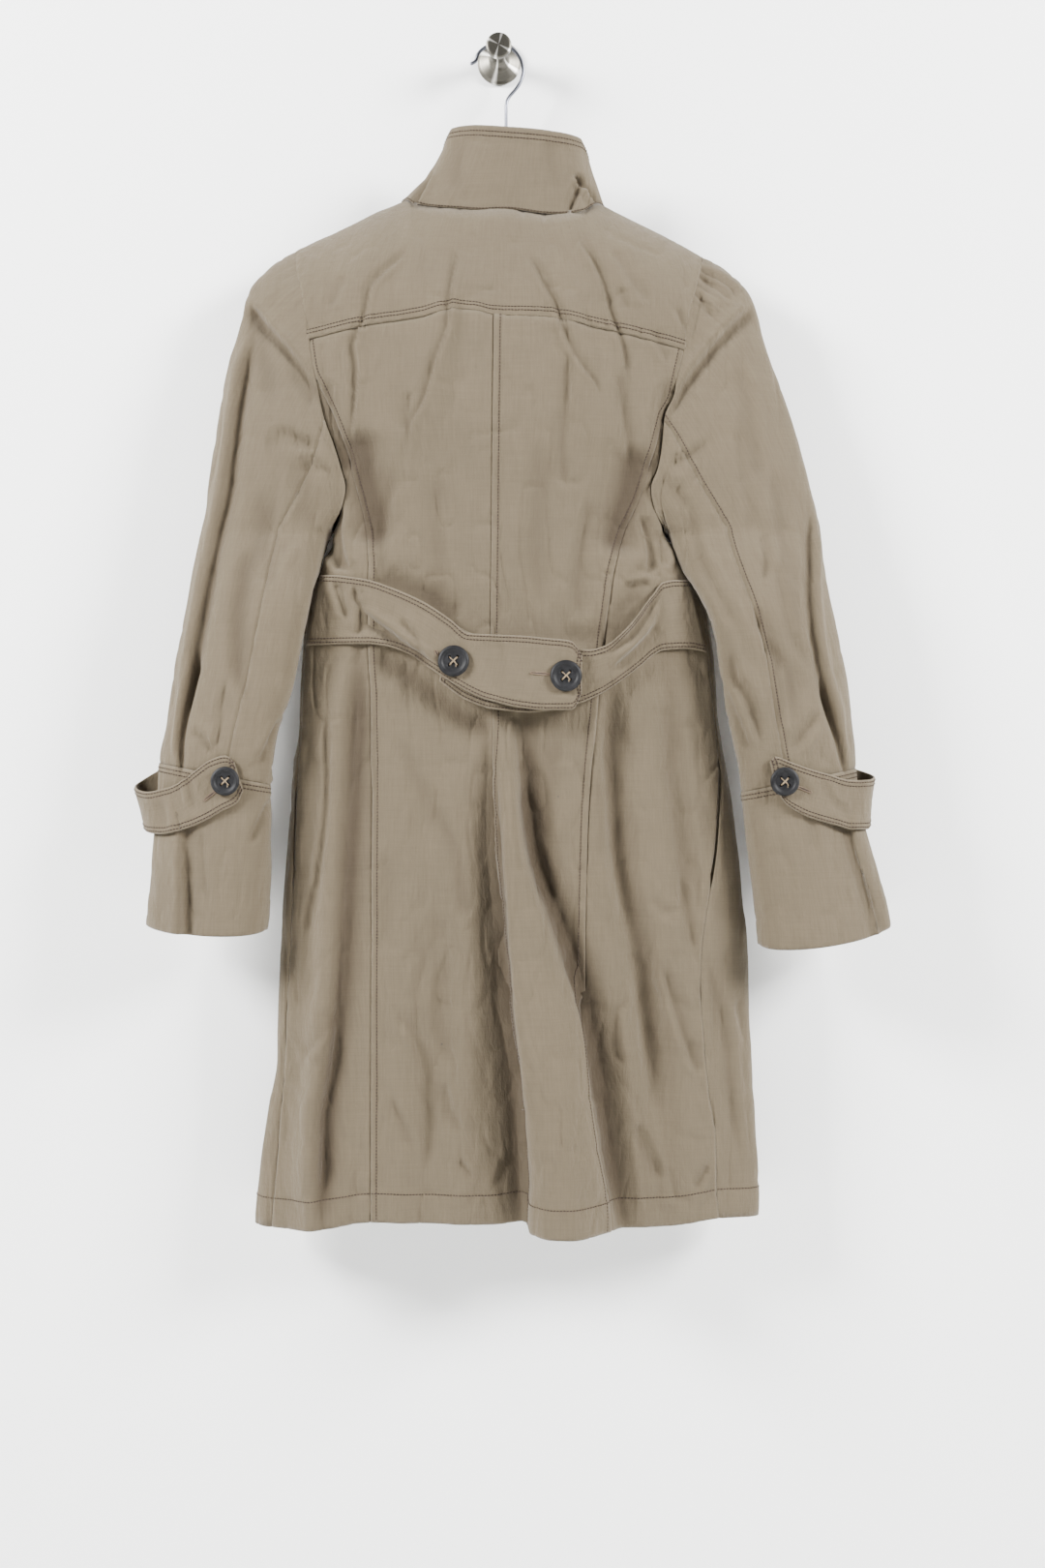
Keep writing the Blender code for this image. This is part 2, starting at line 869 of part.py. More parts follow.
def armhole_drops(side):
    """Drops of the points along an armhole that its neighbours share."""
    yoke_end = YOKE_SEAM["drop"][0 if side == "left" else -1]
    upper = np.linspace(ARMHOLE[side]["drop"][0], yoke_end, YOKE_ROWS + 1)
    return np.concatenate([upper, ROWS[ROWS <= UNDERARM]])


def body_drops(start, end):
    """Drops of a long seam's points, from its start through the shared rows to its end."""
    inner = ROWS[ROWS > start + 1]
    return np.concatenate([[start], inner, [end]])


def build_yoke(parent):
    """Neck and shoulder seams down to the yoke seam."""
    neck = neck_places(np.radians(NECK_TURNS))
    place = np.concatenate([np.linspace(TIP_LEFT, NECK_LEFT, SHOULDER_COLUMNS + 1), neck[1:-1],
                            np.linspace(NECK_RIGHT, TIP_RIGHT, SHOULDER_COLUMNS + 1)])
    top = place, back_neck_down(place)
    bottom = level(YOKE_SEAM, YOKE_X)
    left = seam(ARMHOLE_LEFT)(armhole_drops("left")[:YOKE_ROWS + 1])
    right = seam(ARMHOLE_RIGHT)(armhole_drops("right")[:YOKE_ROWS + 1])
    body_panel("back_yoke", (top, bottom, left, right), parent)


def build_backs(parent):
    """Centre backs and side backs, from the yoke seam and armholes to the hem."""
    def hem_point(rows):
        x = rows["x"][-1]
        return x, float(line(BACK_HEM, "x", "drop")(x))

    centre_x, centre_hem = hem_point(CENTRE_BACK)
    yoke_centre = CENTRE_BACK["drop"][0]
    centre = seam(CENTRE_BACK)(body_drops(yoke_centre, centre_hem))
    for side in ("left", "right"):
        is_left = side == "left"
        inner_x, inner_hem = hem_point(SIDE_BACK[side])
        side_x, side_hem = hem_point(SIDE[side])
        inner_seam = seam(SIDE_BACK[side])
        outer_seam = joined(seam(ARMHOLE[side]), seam(SIDE[side]), UNDERARM)
        yoke_x = YOKE_X[YOKE_X <= CENTRE_BACK["x"][0]] if is_left else (
            YOKE_X[YOKE_X >= CENTRE_BACK["x"][0]])
        top = level(YOKE_SEAM, yoke_x)
        ends = (inner_x, centre_x) if is_left else (centre_x, inner_x)
        bottom = level(BACK_HEM, np.linspace(*ends, len(yoke_x)))
        yoke_end = armhole_drops(side)[YOKE_ROWS]
        split = SIDE_BACK[side]["drop"][0]
        outer = joined(seam(ARMHOLE[side]), inner_seam, split)(body_drops(yoke_end, inner_hem))
        body_panel("centre_back_" + side, (top, bottom) + (
            (outer, centre) if is_left else (centre, outer)), parent)

        start = ROWS[ROWS > split][0]
        outer = outer_seam(body_drops(start, side_hem))
        inner = inner_seam(body_drops(start, inner_hem))
        first, last = (outer, inner) if is_left else (inner, outer)
        share = np.linspace(0, 1, SIDE_COLUMNS + 1)
        top = tuple(a[0] + share * (b[0] - a[0]) for a, b in zip(first, last))
        ends = (side_x, inner_x) if is_left else (inner_x, side_x)
        bottom = level(BACK_HEM, np.linspace(*ends, SIDE_COLUMNS + 1))
        body_panel("side_back_" + side, (top, bottom, first, last), parent,
                   gaps={side: side_gap(side)})


def build_fronts(parent):
    """Fronts from the shoulder seams to the hem, wrapping round to the side seams."""
    for side, sign, tip, neck in (("right", 1, TIP_RIGHT, NECK_RIGHT),
                                  ("left", -1, TIP_LEFT, NECK_LEFT)):
        turns = sign * np.radians(FRONT_TURNS)
        place = np.concatenate([np.linspace(tip, neck, SHOULDER_COLUMNS + 1),
                                neck_places(turns)[1:]])
        top = 2 - place, front_neck_down(place)
        face = on_back if side == "right" else round_left
        side_hem = float(line(BACK_HEM, "x", "drop")(SIDE[side]["x"][-1]))
        outer_seam = joined(seam(ARMHOLE[side], on_front), seam(SIDE[side], face), UNDERARM)
        yoke_end = armhole_drops(side)[YOKE_ROWS]
        drops = np.concatenate([armhole_drops(side)[:YOKE_ROWS],
                                body_drops(yoke_end, side_hem)])
        outer = outer_seam(drops)
        edge_down = np.linspace(top[1][-1], float(down(place[-1], FRONT_HEM)), len(drops))
        edge = np.full(len(drops), top[0][-1]), edge_down
        share = np.linspace(0, 1, len(place)) ** SIDE_CROWDING
        hem_ring = outer[0][-1] + share * (edge[0][-1] - outer[0][-1])
        hem_drop = side_hem + share * (FRONT_HEM - side_hem)
        hem_place = np.where(hem_ring > 1, 2 - hem_ring, hem_ring)
        bottom = hem_ring, down(hem_place, hem_drop)
        gaps = {"left" if side == "right" else "right": side_gap(side)}
        if side == "right":
            body_panel("front_right", (top, bottom, outer, edge), parent, gaps=gaps,
                       lap=lambda x: LAP_RISE * (1 - ramp(x, LAP_END, LAP_END + LAP_FADE)))
        else:
            turned_top, turned_bottom = (tuple(values[::-1] for values in edge_pair)
                                         for edge_pair in (top, bottom))
            body_panel("front_left", (turned_top, turned_bottom, edge, outer), parent, gaps=gaps)


def collar_surface(turn, height):
    """The stand collar by turn round the neck, 0 at the centre back, and share of height."""
    turn, height = np.broadcast_arrays(np.asarray(turn, float), np.asarray(height, float))
    place = neck_places(turn)
    is_back = np.cos(turn) >= 0
    ring = np.where(is_back, place, 2 - place)
    base = body(ring, np.where(is_back, back_neck_down(place), front_neck_down(place)))
    top = np.stack([COLLAR_TOP_X + COLLAR_TOP_WIDTH / 2 * np.sin(turn),
                    COLLAR_TOP_Y - COLLAR_TOP_DEPTH / 2 * np.cos(turn),
                    -line(COLLAR_TOP, "turn", "drop")(np.degrees(turn))], axis=-1)
    share = height[..., None]
    point = base * (1 - share) + top * share
    hollow = COLLAR_HOLLOW * np.sin(math.pi * height) * np.maximum(-np.sin(turn), 0)
    point[..., 0] += hollow
    point[..., 2] += 2 * SEAM_GAP
    return point


def build_collar(parent):
    """Stand collar, from the neckline up, its ends meeting at the centre front."""
    turns = np.radians(np.arange(-180, 181, 18.0))
    turns[0] += COLLAR_OPEN
    turns[-1] -= COLLAR_OPEN
    turn, height = np.meshgrid(turns, np.linspace(0.0, 1.0, 6))
    outer = collar_surface(turn, height)
    along = normals(collar_surface, turn, height)
    wall("collar", outer, outer - along * COLLAR_WALL, coat_cloth("collar"), parent)


def armhole_point(side, s):
    """The body's place and the drop of a sleeve's seam: s is 1 at the back underarm,
    0 at the shoulder tip and -1 at the front underarm."""
    rows = ARMHOLE[side]
    drop = rows["drop"][0] + np.abs(s) * (UNDERARM - rows["drop"][0])
    x = line(rows, "drop", "x")(drop)
    ring_back, depth_down = on_back(x, drop)
    ring_front, _ = on_front(x, drop)
    return np.where(s >= 0, ring_back, ring_front), depth_down


def sleeve_section(side, s, drop):
    """A point of the sleeve or cuff at a place s round it and a drop.

    Each level is an oval between the sleeve's outer and inner edges, 0 at the outer edge,
    1 and -1 at the inner edge by the back and by the front. Above the underarm the oval is
    cut by the armhole and meets the body there.
    """
    s = np.mod(s + 1, 2) - 1
    rows, tip = SLEEVE[side], ARMHOLE[side]["drop"][0]
    reach = np.clip((drop - tip) / (UNDERARM - tip), 1e-6, 1.0)
    part = s / reach
    cut = 0.5 + 0.5 * reach ** 1.5
    angle = math.pi * part * cut
    share = (1 - np.cos(angle)) / (1 - np.cos(math.pi * cut))
    outer_x = line(rows, "drop", "outer")(drop)
    seam_x = np.where(drop < UNDERARM, line(ARMHOLE[side], "drop", "x")(drop),
                      line(rows, "drop", "inner")(drop))
    outward_sign = -1 if side == "left" else 1
    seam_x = seam_x + outward_sign * UNDERARM_EASE * bump((drop - UNDERARM) / EASE_REACH, 0.0)
    outer_y = line(SLEEVE_DEPTH, "drop", "outer")(drop)
    inner_y = line(SLEEVE_DEPTH, "drop", "inner")(drop)
    half = line(SLEEVE_DEPTH, "drop", "half")(drop)
    x = outer_x + (seam_x - outer_x) * share
    oval = half * np.abs(np.sin(angle)) ** 0.8 * np.sign(s)
    y = outer_y + (inner_y - outer_y) * share - oval
    seam_ring, seam_down = armhole_point(side, np.where(s >= 0, reach, -reach))
    target = body(seam_ring, seam_down)[..., 1]
    end = inner_y - half * np.maximum(np.sin(math.pi * cut), 0) ** 0.8 * np.sign(s)
    mend = np.where(drop < UNDERARM, target - end, 0.0)
    y = y + mend * np.abs(part) ** 3 - sleeve_folds(side, x, drop, s)
    return np.stack([x, y, -drop], axis=-1)


def sleeve_folds(side, x, drop, s):
    """Height of the pleat at the back of a cuff's outer side."""
    edge = line(PLEAT[side], "drop", "x")(drop)
    rise = line(PLEAT[side], "drop", "rise")(drop)
    beyond = (edge - x) if side == "left" else (x - edge)
    inside = (drop > PLEAT[side]["drop"][0]) & (s > 0)
    return np.where(inside, rise * ramp(beyond, 0.0, PLEAT_STEP), 0.0) * np.clip(s / 0.1, 0, 1)


def sleeve_surface(side):
    """A sleeve and its cuff by place round it and down it: 0 armhole, 1 cuff seam, 2 cuff hem."""
    tip = ARMHOLE[side]["drop"][0]
    seam_outer, seam_inner = CUFF_SEAM[side]
    hem_outer, hem_middle, hem_inner = CUFF_HEM[side]

    def surface(s, v):
        s, v = np.broadcast_arrays(np.asarray(s, float), np.asarray(v, float))
        s = np.mod(s + 1, 2) - 1
        swing = (1 - np.cos(math.pi * s)) / 2
        start = tip + np.abs(s) * (UNDERARM - tip)
        middle = seam_outer + (seam_inner - seam_outer) * swing
        end = (hem_outer + (hem_inner - hem_outer) * swing
               + (hem_middle - (hem_outer + hem_inner) / 2) * np.abs(np.sin(math.pi * s)))
        upper = np.clip(v, 0, 1)
        lower = np.maximum(v - 1, 0)
        drop = start * (1 - upper) + middle * upper + (end - middle) * lower
        return sleeve_section(side, s, drop)
    return surface


def away_from_body(side, s, surface, offset):
    """Keep an armhole row's inner points on their own side of the armhole."""
    ring, depth_down = armhole_point(side, s)
    outward = -normals(body, ring, depth_down)
    here = surface(s, 0.0 * s)
    along = surface(s + 0.004, 0.0 * s) - surface(s - 0.004, 0.0 * s)
    guard = np.cross(outward, along)
    guard /= np.linalg.norm(guard, axis=-1, keepdims=True)
    ahead = surface(s, 0.0 * s + 0.03) - here
    guard *= np.sign(np.sum(guard * ahead, axis=-1, keepdims=True))
    back = np.minimum(np.sum(offset * guard, axis=-1, keepdims=True), 0.0)
    return offset - back * guard


def build_sleeve(side, parent):
    """Top sleeve, under sleeve and cuff of one arm."""
    surface = sleeve_surface(side)
    inward_sign = 1 if side == "left" else -1
    tip = ARMHOLE[side]["drop"][0]
    seam_places = (armhole_drops(side) - tip) / (UNDERARM - tip)
    split = int(np.argmin(np.abs(seam_places - ELBOW_TOP)))

    def piece(name, places, first, last):
        """One sleeve panel: its columns start at given armhole places and fan out evenly."""
        v = SLEEVE_ROWS[:, None]
        lower = first + (last - first) * shares(places)[None, :]
        s = places[None, :] + (lower - places[None, :]) * ramp(v, 0, ELBOW_SETTLE)
        v = np.broadcast_to(v, s.shape)
        s, v = pull_in(surface, s, v, top=ARMHOLE_GAP)
        outer = surface(s, v)
        offset = normals(surface, s, v) * CLOTH * inward_sign
        offset[0] = away_from_body(side, np.mod(s[0] + 1, 2) - 1, surface, offset[0])
        wall(name, outer, outer + offset, coat_cloth(name), parent)

    upper = seam_places[:split + 1]
    lower = seam_places[split:]
    piece("top_sleeve_" + side, np.concatenate([-upper[::-1], upper[1:]]),
          -ELBOW_PLACE, ELBOW_PLACE)
    piece("under_sleeve_" + side, np.concatenate([lower, 2 - lower[::-1][1:]]),
          ELBOW_PLACE, 2 - ELBOW_PLACE)

    s, v = np.meshgrid(np.linspace(-1, 1, CUFF_COLUMNS + 1)[:-1], np.linspace(1, 2, 6))
    along_down = np.linalg.norm(slopes(surface, s, v)[1], axis=-1)
    v[0] += SEAM_GAP / 2 / along_down[0]
    v[-1] -= SEAM_GAP / 2 / along_down[-1]
    outer = surface(s, v)
    offset = normals(surface, s, v) * CLOTH * inward_sign
    name = "cuff_" + side
    wall(name, outer, outer + offset, coat_cloth(name), parent, closed=True)


def strip_surface(rows, point):
    """A strap's points from a table: along its rows and from its upper to its lower edge."""
    order = np.arange(len(rows["lift_top"]), dtype=float)
    columns = {name: smooth(order, values) for name, values in rows.items()}

    def surface(along, over):
        along, over = np.broadcast_arrays(np.asarray(along, float), np.asarray(over, float))
        value = {name: curve(along) for name, curve in columns.items()}
        return point(value, over)
    return surface


def belt_surface(rows):
    """The belt's inner face, lifted off the body's back."""
    def point(value, over):
        x = value["x_top"] + (value["x_low"] - value["x_top"]) * over
        drop = value["drop_top"] + (value["drop_low"] - value["drop_top"]) * over
        lift = value["lift_top"] + (value["lift_low"] - value["lift_top"]) * over
        under = body(*on_back(x, drop))
        return np.stack([x, under[..., 1] - lift, -drop], axis=-1)
    return strip_surface(rows, point)


def tab_surface(side, rows):
    """A cuff tab's inner face, lifted off the cuff."""
    inward_sign = 1 if side == "left" else -1

    def point(value, over):
        s = value["s_top"] + (value["s_low"] - value["s_top"]) * over
        drop = value["drop_top"] + (value["drop_low"] - value["drop_top"]) * over
        lift = value["lift_top"] + (value["lift_low"] - value["lift_top"]) * over

        def cuff(a, b):
            return sleeve_section(side, a, b)
        along = cuff(s + 0.01, drop) - cuff(s - 0.01, drop)
        fall = cuff(s, drop + 1) - cuff(s, drop)
        outward = np.cross(fall, along) * inward_sign
        outward /= np.linalg.norm(outward, axis=-1, keepdims=True)
        return cuff(s, drop) + outward * lift[..., None]
    return strip_surface(rows, point)


def build_strip(name, surface, length, outward_sign, parent, steps=2, fine=2):
    """A strap of even thickness on its inner face."""
    along, over = np.meshgrid(np.linspace(0, length, length * fine + 1),
                              np.linspace(0, 1, steps + 2), indexing="ij")
    inner = surface(along, over)
    offset = normals_two_sided(surface, along, over, length) * BELT_WALL * outward_sign
    wall(name, inner + offset, inner, coat_cloth(name), parent)


def normals_two_sided(surface, along, over, length, step=0.01):
    """Unit normals of a strap, from slopes taken inside its edges."""
    a = np.clip(along, step, length - step)
    b = np.clip(over, step, 1 - step)
    normal = np.cross(surface(a + step, b) - surface(a - step, b),
                      surface(a, b + step) - surface(a, b - step))
    return normal / np.linalg.norm(normal, axis=-1, keepdims=True)


def build_button(name, centre, facing, width, parent):
    """A round button with a raised rim, its back at the given point."""
    radius = width / 2
    profile = ((0.0, radius * 0.78), (0.9, radius * 0.96), (2.2, radius), (3.6, radius * 0.95),
               (4.2, radius * 0.86), (3.9, radius * 0.76), (3.1, radius * 0.66))
    made = turned(name, profile, 16, horn(name), parent)
    made.location = [value * MM for value in centre]
    made.rotation_euler = Vector(facing).to_track_quat("Z", "Y").to_euler()


def turned(name, profile, segments, finish, parent):
    """A solid turned about its Z axis from a profile of heights and radii, with flat ends."""
    points, faces = [], []
    for height, radius in profile:
        for k in range(segments):
            angle = 2 * math.pi * k / segments
            points.append((radius * math.cos(angle), radius * math.sin(angle), height))
    for i in range(len(profile) - 1):
        for k in range(segments):
            a, b = i * segments + k, i * segments + (k + 1) % segments
            faces.append((a, b, b + segments, a + segments))
    faces.append(tuple(range(segments)))
    faces.append(tuple(len(points) - segments + k for k in range(segments)))
    return add_object(name, mesh_from(name, np.array(points), faces), finish, parent)


def build_belt(parent):
    """Half belt in two parts, the left part over the right, with two buttons."""
    for side, rows in (("right", BELT_RIGHT), ("left", BELT_LEFT)):
        surface = belt_surface(rows)
        length = len(rows["x_top"]) - 1
        outward_sign = -1 if side == "left" else 1
        build_strip("belt_" + side, surface, length, outward_sign, parent)
        if side == "left":
            for button, (along, over) in BELT_BUTTONS.items():
                a, b = np.array([[along]]), np.array([[over]])
                facing = normals_two_sided(surface, a, b, length)[0, 0] * outward_sign
                seat = surface(a, b)[0, 0] + facing * (BELT_WALL + BUTTON_GAP)
                build_button("belt_button_" + button, seat, facing, BELT_BUTTON, parent)


def build_tabs(parent):
    """A tab round the outer side of each cuff, with its button."""
    for side, rows in (("left", TAB_LEFT), ("right", TAB_RIGHT)):
        surface = tab_surface(side, rows)
        length = len(rows["s_top"]) - 1
        outward_sign = -1 if side == "left" else 1
        build_strip("cuff_tab_" + side, surface, length, outward_sign, parent)
        along, over = (np.array([[value]]) for value in TAB_BUTTONS[side])
        facing = normals_two_sided(surface, along, over, length)[0, 0] * outward_sign
        seat = surface(along, over)[0, 0] + facing * (BELT_WALL + BUTTON_GAP)
        build_button("cuff_button_" + side, seat, facing, CUFF_BUTTON, parent)


def build_pocket_facings(parent):
    """A strip of cloth behind each pocket slit."""
    for side in ("left", "right"):
        start, end = POCKET[side]
        drop = np.linspace(start - FACING_SPARE, end + FACING_SPARE, 9)[:, None]
        x = line(SIDE[side], "drop", "x")(drop)
        place, depth_down = on_back(x, drop)
        reach = np.linspace(-1, 1, 5)[None, :] * FACING_HALF_WIDTH
        along = np.linalg.norm(slopes(body, place, depth_down)[0], axis=-1)
        ring = place + reach / along
        depth_down = depth_down + 0 * ring
        normal = normals(body, ring, depth_down)
        outer = body(ring, depth_down) + normal * (CLOTH + FACING_GAP)
        name = "pocket_facing_" + side
        wall(name, outer, outer + normal * FACING_WALL, coat_cloth(name), parent)


def route(rows, count):
    """Evenly spaced points of a smooth curve through the rows of a table of x, y and drop."""
    points = np.stack([rows["x"], rows["y"], -rows["drop"]], axis=-1)
    reach = np.concatenate(([0], np.cumsum(np.linalg.norm(np.diff(points, axis=0), axis=1))))
    place = np.linspace(0, reach[-1], count)
    return np.stack([smooth(reach, points[:, k])(place) for k in range(3)], axis=-1)


def tube(name, points, half_depth, half_height, sides, finish, parent):
    """A rod along points that lie near the XZ plane, with flat ends."""
    tangent = np.gradient(points, axis=0)
    tangent /= np.linalg.norm(tangent, axis=1, keepdims=True)
    depth = np.array([0.0, 1.0, 0.0])
    up = np.cross(tangent, depth)
    up /= np.linalg.norm(up, axis=1, keepdims=True)
    out = np.cross(up, tangent)
    angle = 2 * math.pi * np.arange(sides) / sides
    grid = (points[:, None, :] + half_depth * np.cos(angle)[None, :, None] * out[:, None, :]
            + half_height * np.sin(angle)[None, :, None] * up[:, None, :])
    faces = []
    for i in range(len(points) - 1):
        for k in range(sides):
            a, b = i * sides + k, i * sides + (k + 1) % sides
            faces.append((a, b, b + sides, a + sides))
    faces.append(tuple(range(sides)))
    faces.append(tuple((len(points) - 1) * sides + k for k in range(sides)))
    add_object(name, mesh_from(name, grid.reshape(-1, 3), faces), finish, parent)


def build_hanger(parent):
    """Wire hook over the wall hook's stem, and plain arms inside the shoulders."""
    tube("hanger_hook", route(HANGER_WIRE, 34), WIRE / 2, WIRE / 2, 8,
         material("hanger_hook", (0.35, 0.35, 0.36), 0.3, 1.0), parent)
    tube("hanger_arms", route(HANGER_ARMS, 16), ARM_HALF_DEPTH, ARM_HALF_HEIGHT, 10,
         material("hanger_arms", (0.03, 0.03, 0.035), 0.5), parent)


def build_wall_hook(parent):
    """Round rose, waisted stem and round head, turned about an axis out of the wall."""
    rose, head = ROSE / 2, HEAD / 2
    profile = ((0.0, rose - 0.8), (0.8, rose), (2.4, rose), (3.0, rose - 0.9), (5.4, rose - 2.4),
               (7.0, rose - 6.5), (9.5, 9.6), (13.5, 7.2), (19.0, STEM / 2),
               (30.0, STEM / 2), (33.5, 6.9), (36.0, 9.4), (38.0, 11.2), (40.0, head),
               (43.2, head), (44.6, head - 0.8), (HOOK_REACH, head - 2.0))
    steel = material("wall_hook", (0.55, 0.55, 0.54), 0.35, 1.0)
    made = turned("wall_hook", profile, 28, steel, parent)
    made.rotation_euler = (math.pi / 2, 0, 0)


def clear_scene():
    """Remove every object."""
    for old in list(bpy.data.objects):
        bpy.data.objects.remove(old, do_unlink=True)


def main():
    clear_scene()
    frame = bpy.data.objects.new("coat_on_hook", None)
    bpy.context.scene.collection.objects.link(frame)
    build_wall_hook(frame)
    build_hanger(frame)
    build_collar(frame)
    build_yoke(frame)
    build_backs(frame)
    build_fronts(frame)
    build_pocket_facings(frame)
    for side in ("left", "right"):
        build_sleeve(side, frame)
    build_tabs(frame)
    build_belt(frame)


main()
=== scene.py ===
"""Looks of a trench coat on a hanger on a wall hook, seen from behind.

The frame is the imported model's: the origin is the centre of the wall hook's back face, +Z is up
and +Y points into the wall. Sizes are in millimetres until a mesh is made. A drop is a distance
below the origin, and left and right are as seen from behind the coat.
"""

import json
import math

import bpy
import numpy as np
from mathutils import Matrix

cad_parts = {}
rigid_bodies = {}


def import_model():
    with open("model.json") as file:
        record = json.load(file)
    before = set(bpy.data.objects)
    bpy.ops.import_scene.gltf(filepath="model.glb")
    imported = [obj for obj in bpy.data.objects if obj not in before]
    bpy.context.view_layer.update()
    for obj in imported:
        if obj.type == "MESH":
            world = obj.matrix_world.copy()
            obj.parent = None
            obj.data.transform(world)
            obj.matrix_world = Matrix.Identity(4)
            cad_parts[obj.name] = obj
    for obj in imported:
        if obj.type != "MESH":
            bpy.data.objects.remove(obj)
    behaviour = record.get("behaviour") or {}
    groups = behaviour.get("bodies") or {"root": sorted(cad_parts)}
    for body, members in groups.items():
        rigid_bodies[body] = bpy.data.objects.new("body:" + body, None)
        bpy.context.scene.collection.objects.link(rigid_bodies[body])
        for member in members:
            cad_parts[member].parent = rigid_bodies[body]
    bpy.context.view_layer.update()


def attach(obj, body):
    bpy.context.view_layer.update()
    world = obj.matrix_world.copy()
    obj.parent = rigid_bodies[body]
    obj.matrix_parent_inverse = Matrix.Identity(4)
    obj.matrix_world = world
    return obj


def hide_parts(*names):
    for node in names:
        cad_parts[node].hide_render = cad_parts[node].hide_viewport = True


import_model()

MM = 0.001
BODY = "root"
SIGN = {"left": -1, "right": 1}

# Driving sizes in millimetres
CLOTH = 2.0
SEAM_GAP = 0.3
UNDERARM_EASE = 1.2
EASE_REACH = 28.0
SHOULDER_ROUND = 70.0
BACK_FULLNESS = 0.6
BELT_WALL = 2.2
BELT_BUTTON = 29.0
CUFF_BUTTON = 26.5
ROSE_RADIUS = 21.0
HEAD_RADIUS = 12.0
WIRE = 3.3
COLLAR_TOP_X = 17.0
COLLAR_TOP_Y = -47.0
COLLAR_TOP_WIDTH = 130.0
COLLAR_TOP_DEPTH = 66.0
COLLAR_HOLLOW = 6.0
COLLAR_OPEN = 0.02
FRONT_HEM = 1106.0
LAP_RISE = 2.8
LAP_END = 58.0
LAP_FADE = 30.0
POCKET = {"left": (692.0, 795.0), "right": (670.0, 800.0)}
POCKET_OPEN = 2.4
SLIT_END = 25.0
FACING_HALF_WIDTH = 12.0
FACING_SPARE = 4.0
FACING_GAP = 1.6
PLEAT_STEP = 6.0
PLEAT_FADE = 0.1
BUTTON_GAP = 0.3
ARM_HALF_DEPTH = 3.5
ARM_HALF_HEIGHT = 5.0


def table(columns, rows):
    """The columns of a short table, as named arrays."""
    names = columns.split()
    return {name: np.array([row[i] for row in rows], float) for i, name in enumerate(names)}


def smooth(xs, ys):
    """A curve through the points (xs, ys) that does not overshoot them."""
    step = np.diff(xs)
    slope = np.diff(ys) / step
    tangent = np.concatenate(([slope[0]], np.zeros(len(xs) - 2), [slope[-1]]))
    for i in range(1, len(xs) - 1):
        if slope[i - 1] * slope[i] > 0:
            near = 2 * step[i] + step[i - 1]
            far = step[i] + 2 * step[i - 1]
            tangent[i] = (near + far) / (near / slope[i - 1] + far / slope[i])

    def value(x):
        x = np.clip(x, xs[0], xs[-1])
        i = np.clip(np.searchsorted(xs, x, side="right") - 1, 0, len(xs) - 2)
        t = (x - xs[i]) / step[i]
        rise = (3 - 2 * t) * t * t
        bend = t * (1 - t)
        start = tangent[i] * step[i] * bend * (1 - t)
        end = tangent[i + 1] * step[i] * bend * t
        return ys[i] + (ys[i + 1] - ys[i]) * rise + start - end

    return value


def line(rows, key, value):
    """One column of a table as a smooth function of another."""
    return smooth(rows[key], rows[value])


def ramp(x, start, end):
    """0 before start, 1 after end, smooth between them."""
    t = np.clip((x - start) / (end - start), 0.0, 1.0)
    return t * t * (3 - 2 * t)


def window(x, start, full, fade, end):
    """0 before start and after end, 1 from full to fade, smooth between them."""
    return ramp(x, start, full) * (1 - ramp(x, fade, end))


def numbered(values):
    """A smooth curve through a list of values, by their number counted from 0."""
    return smooth(np.arange(len(values), dtype=float), np.asarray(values, float))


def unit(vectors):
    """Vectors of the same directions, each 1 long."""
    return vectors / np.linalg.norm(vectors, axis=-1, keepdims=True)


def full_turn(count):
    """Angles of evenly spaced points round a circle."""
    return 2 * math.pi * np.arange(count) / count


def travelled(points):
    """Distance to each of a line of points, measured along the line."""
    return np.concatenate(([0], np.cumsum(np.linalg.norm(np.diff(points, axis=0), axis=1))))


# Body: the side edges by drop. Above the underarm they are those of a body without sleeves.
OUTLINE = table("drop left right", (
    (100, -226, 226),
    (200, -222, 222),
    (265, -208, 206),
    (302, -200, 196),
    (350, -188, 184),
    (400, -170, 170),
    (430, -161, 161),
    (450, -157.5, 157),
    (461, -157, 156),
    (480, -160, 164),
    (500, -168, 176),
    (520, -176, 188),
    (543, -182, 198),
    (570, -184, 201.6),
    (634, -187, 205.5),
    (651, -188, 208),
    (677, -193, 213),
    (729, -196.5, 221.5),
    (797, -202.7, 229),
    (859, -206, 236),
    (928, -209.3, 237.5),
    (960, -209.8, 239),
    (1000, -217.4, 241),
    (1081, -227.2, 245),
    (1116, -230.7, 244.5),
))

# Body: depth of the side edge, of the middle of the back and of the middle of the front
DEPTH = table("drop side back front", (
    (100, -35, -68, -14),
    (165, -35, -74, -12),
    (265, -38, -86, -11),
    (350, -42, -86, -11),
    (450, -45, -80, -12),
    (540, -46, -78, -14),
    (640, -46, -82, -12),
    (800, -45, -82, -10),
    (950, -43, -80, -9),
    (1116, -41, -78, -9),
))

# Shoulder line and necklines
RIDGE = table("x drop", (
    (-191, 193),
    (-172, 183.5),
    (-152, 174),
    (-132, 164.5),
    (-112, 154.5),
    (-92, 146),
    (-60, 130),
    (0, 117),
    (62, 132),
    (100, 150),
    (114, 157.5),
    (144, 172.5),
    (174, 188),
    (192.5, 199),
))
BACK_NECK = table("x drop", (
    (-92, 146),
    (-77, 155),
    (-46, 161),
    (-8, 164),
    (30, 166),
    (64, 166.5),
    (80, 162),
    (100, 150),
))
FRONT_NECK = table("x drop", (
    (-92, 146),
    (-75, 172),
    (-40, 202),
    (4, 213),
    (48, 203),
    (83, 175),
    (100, 150),
))

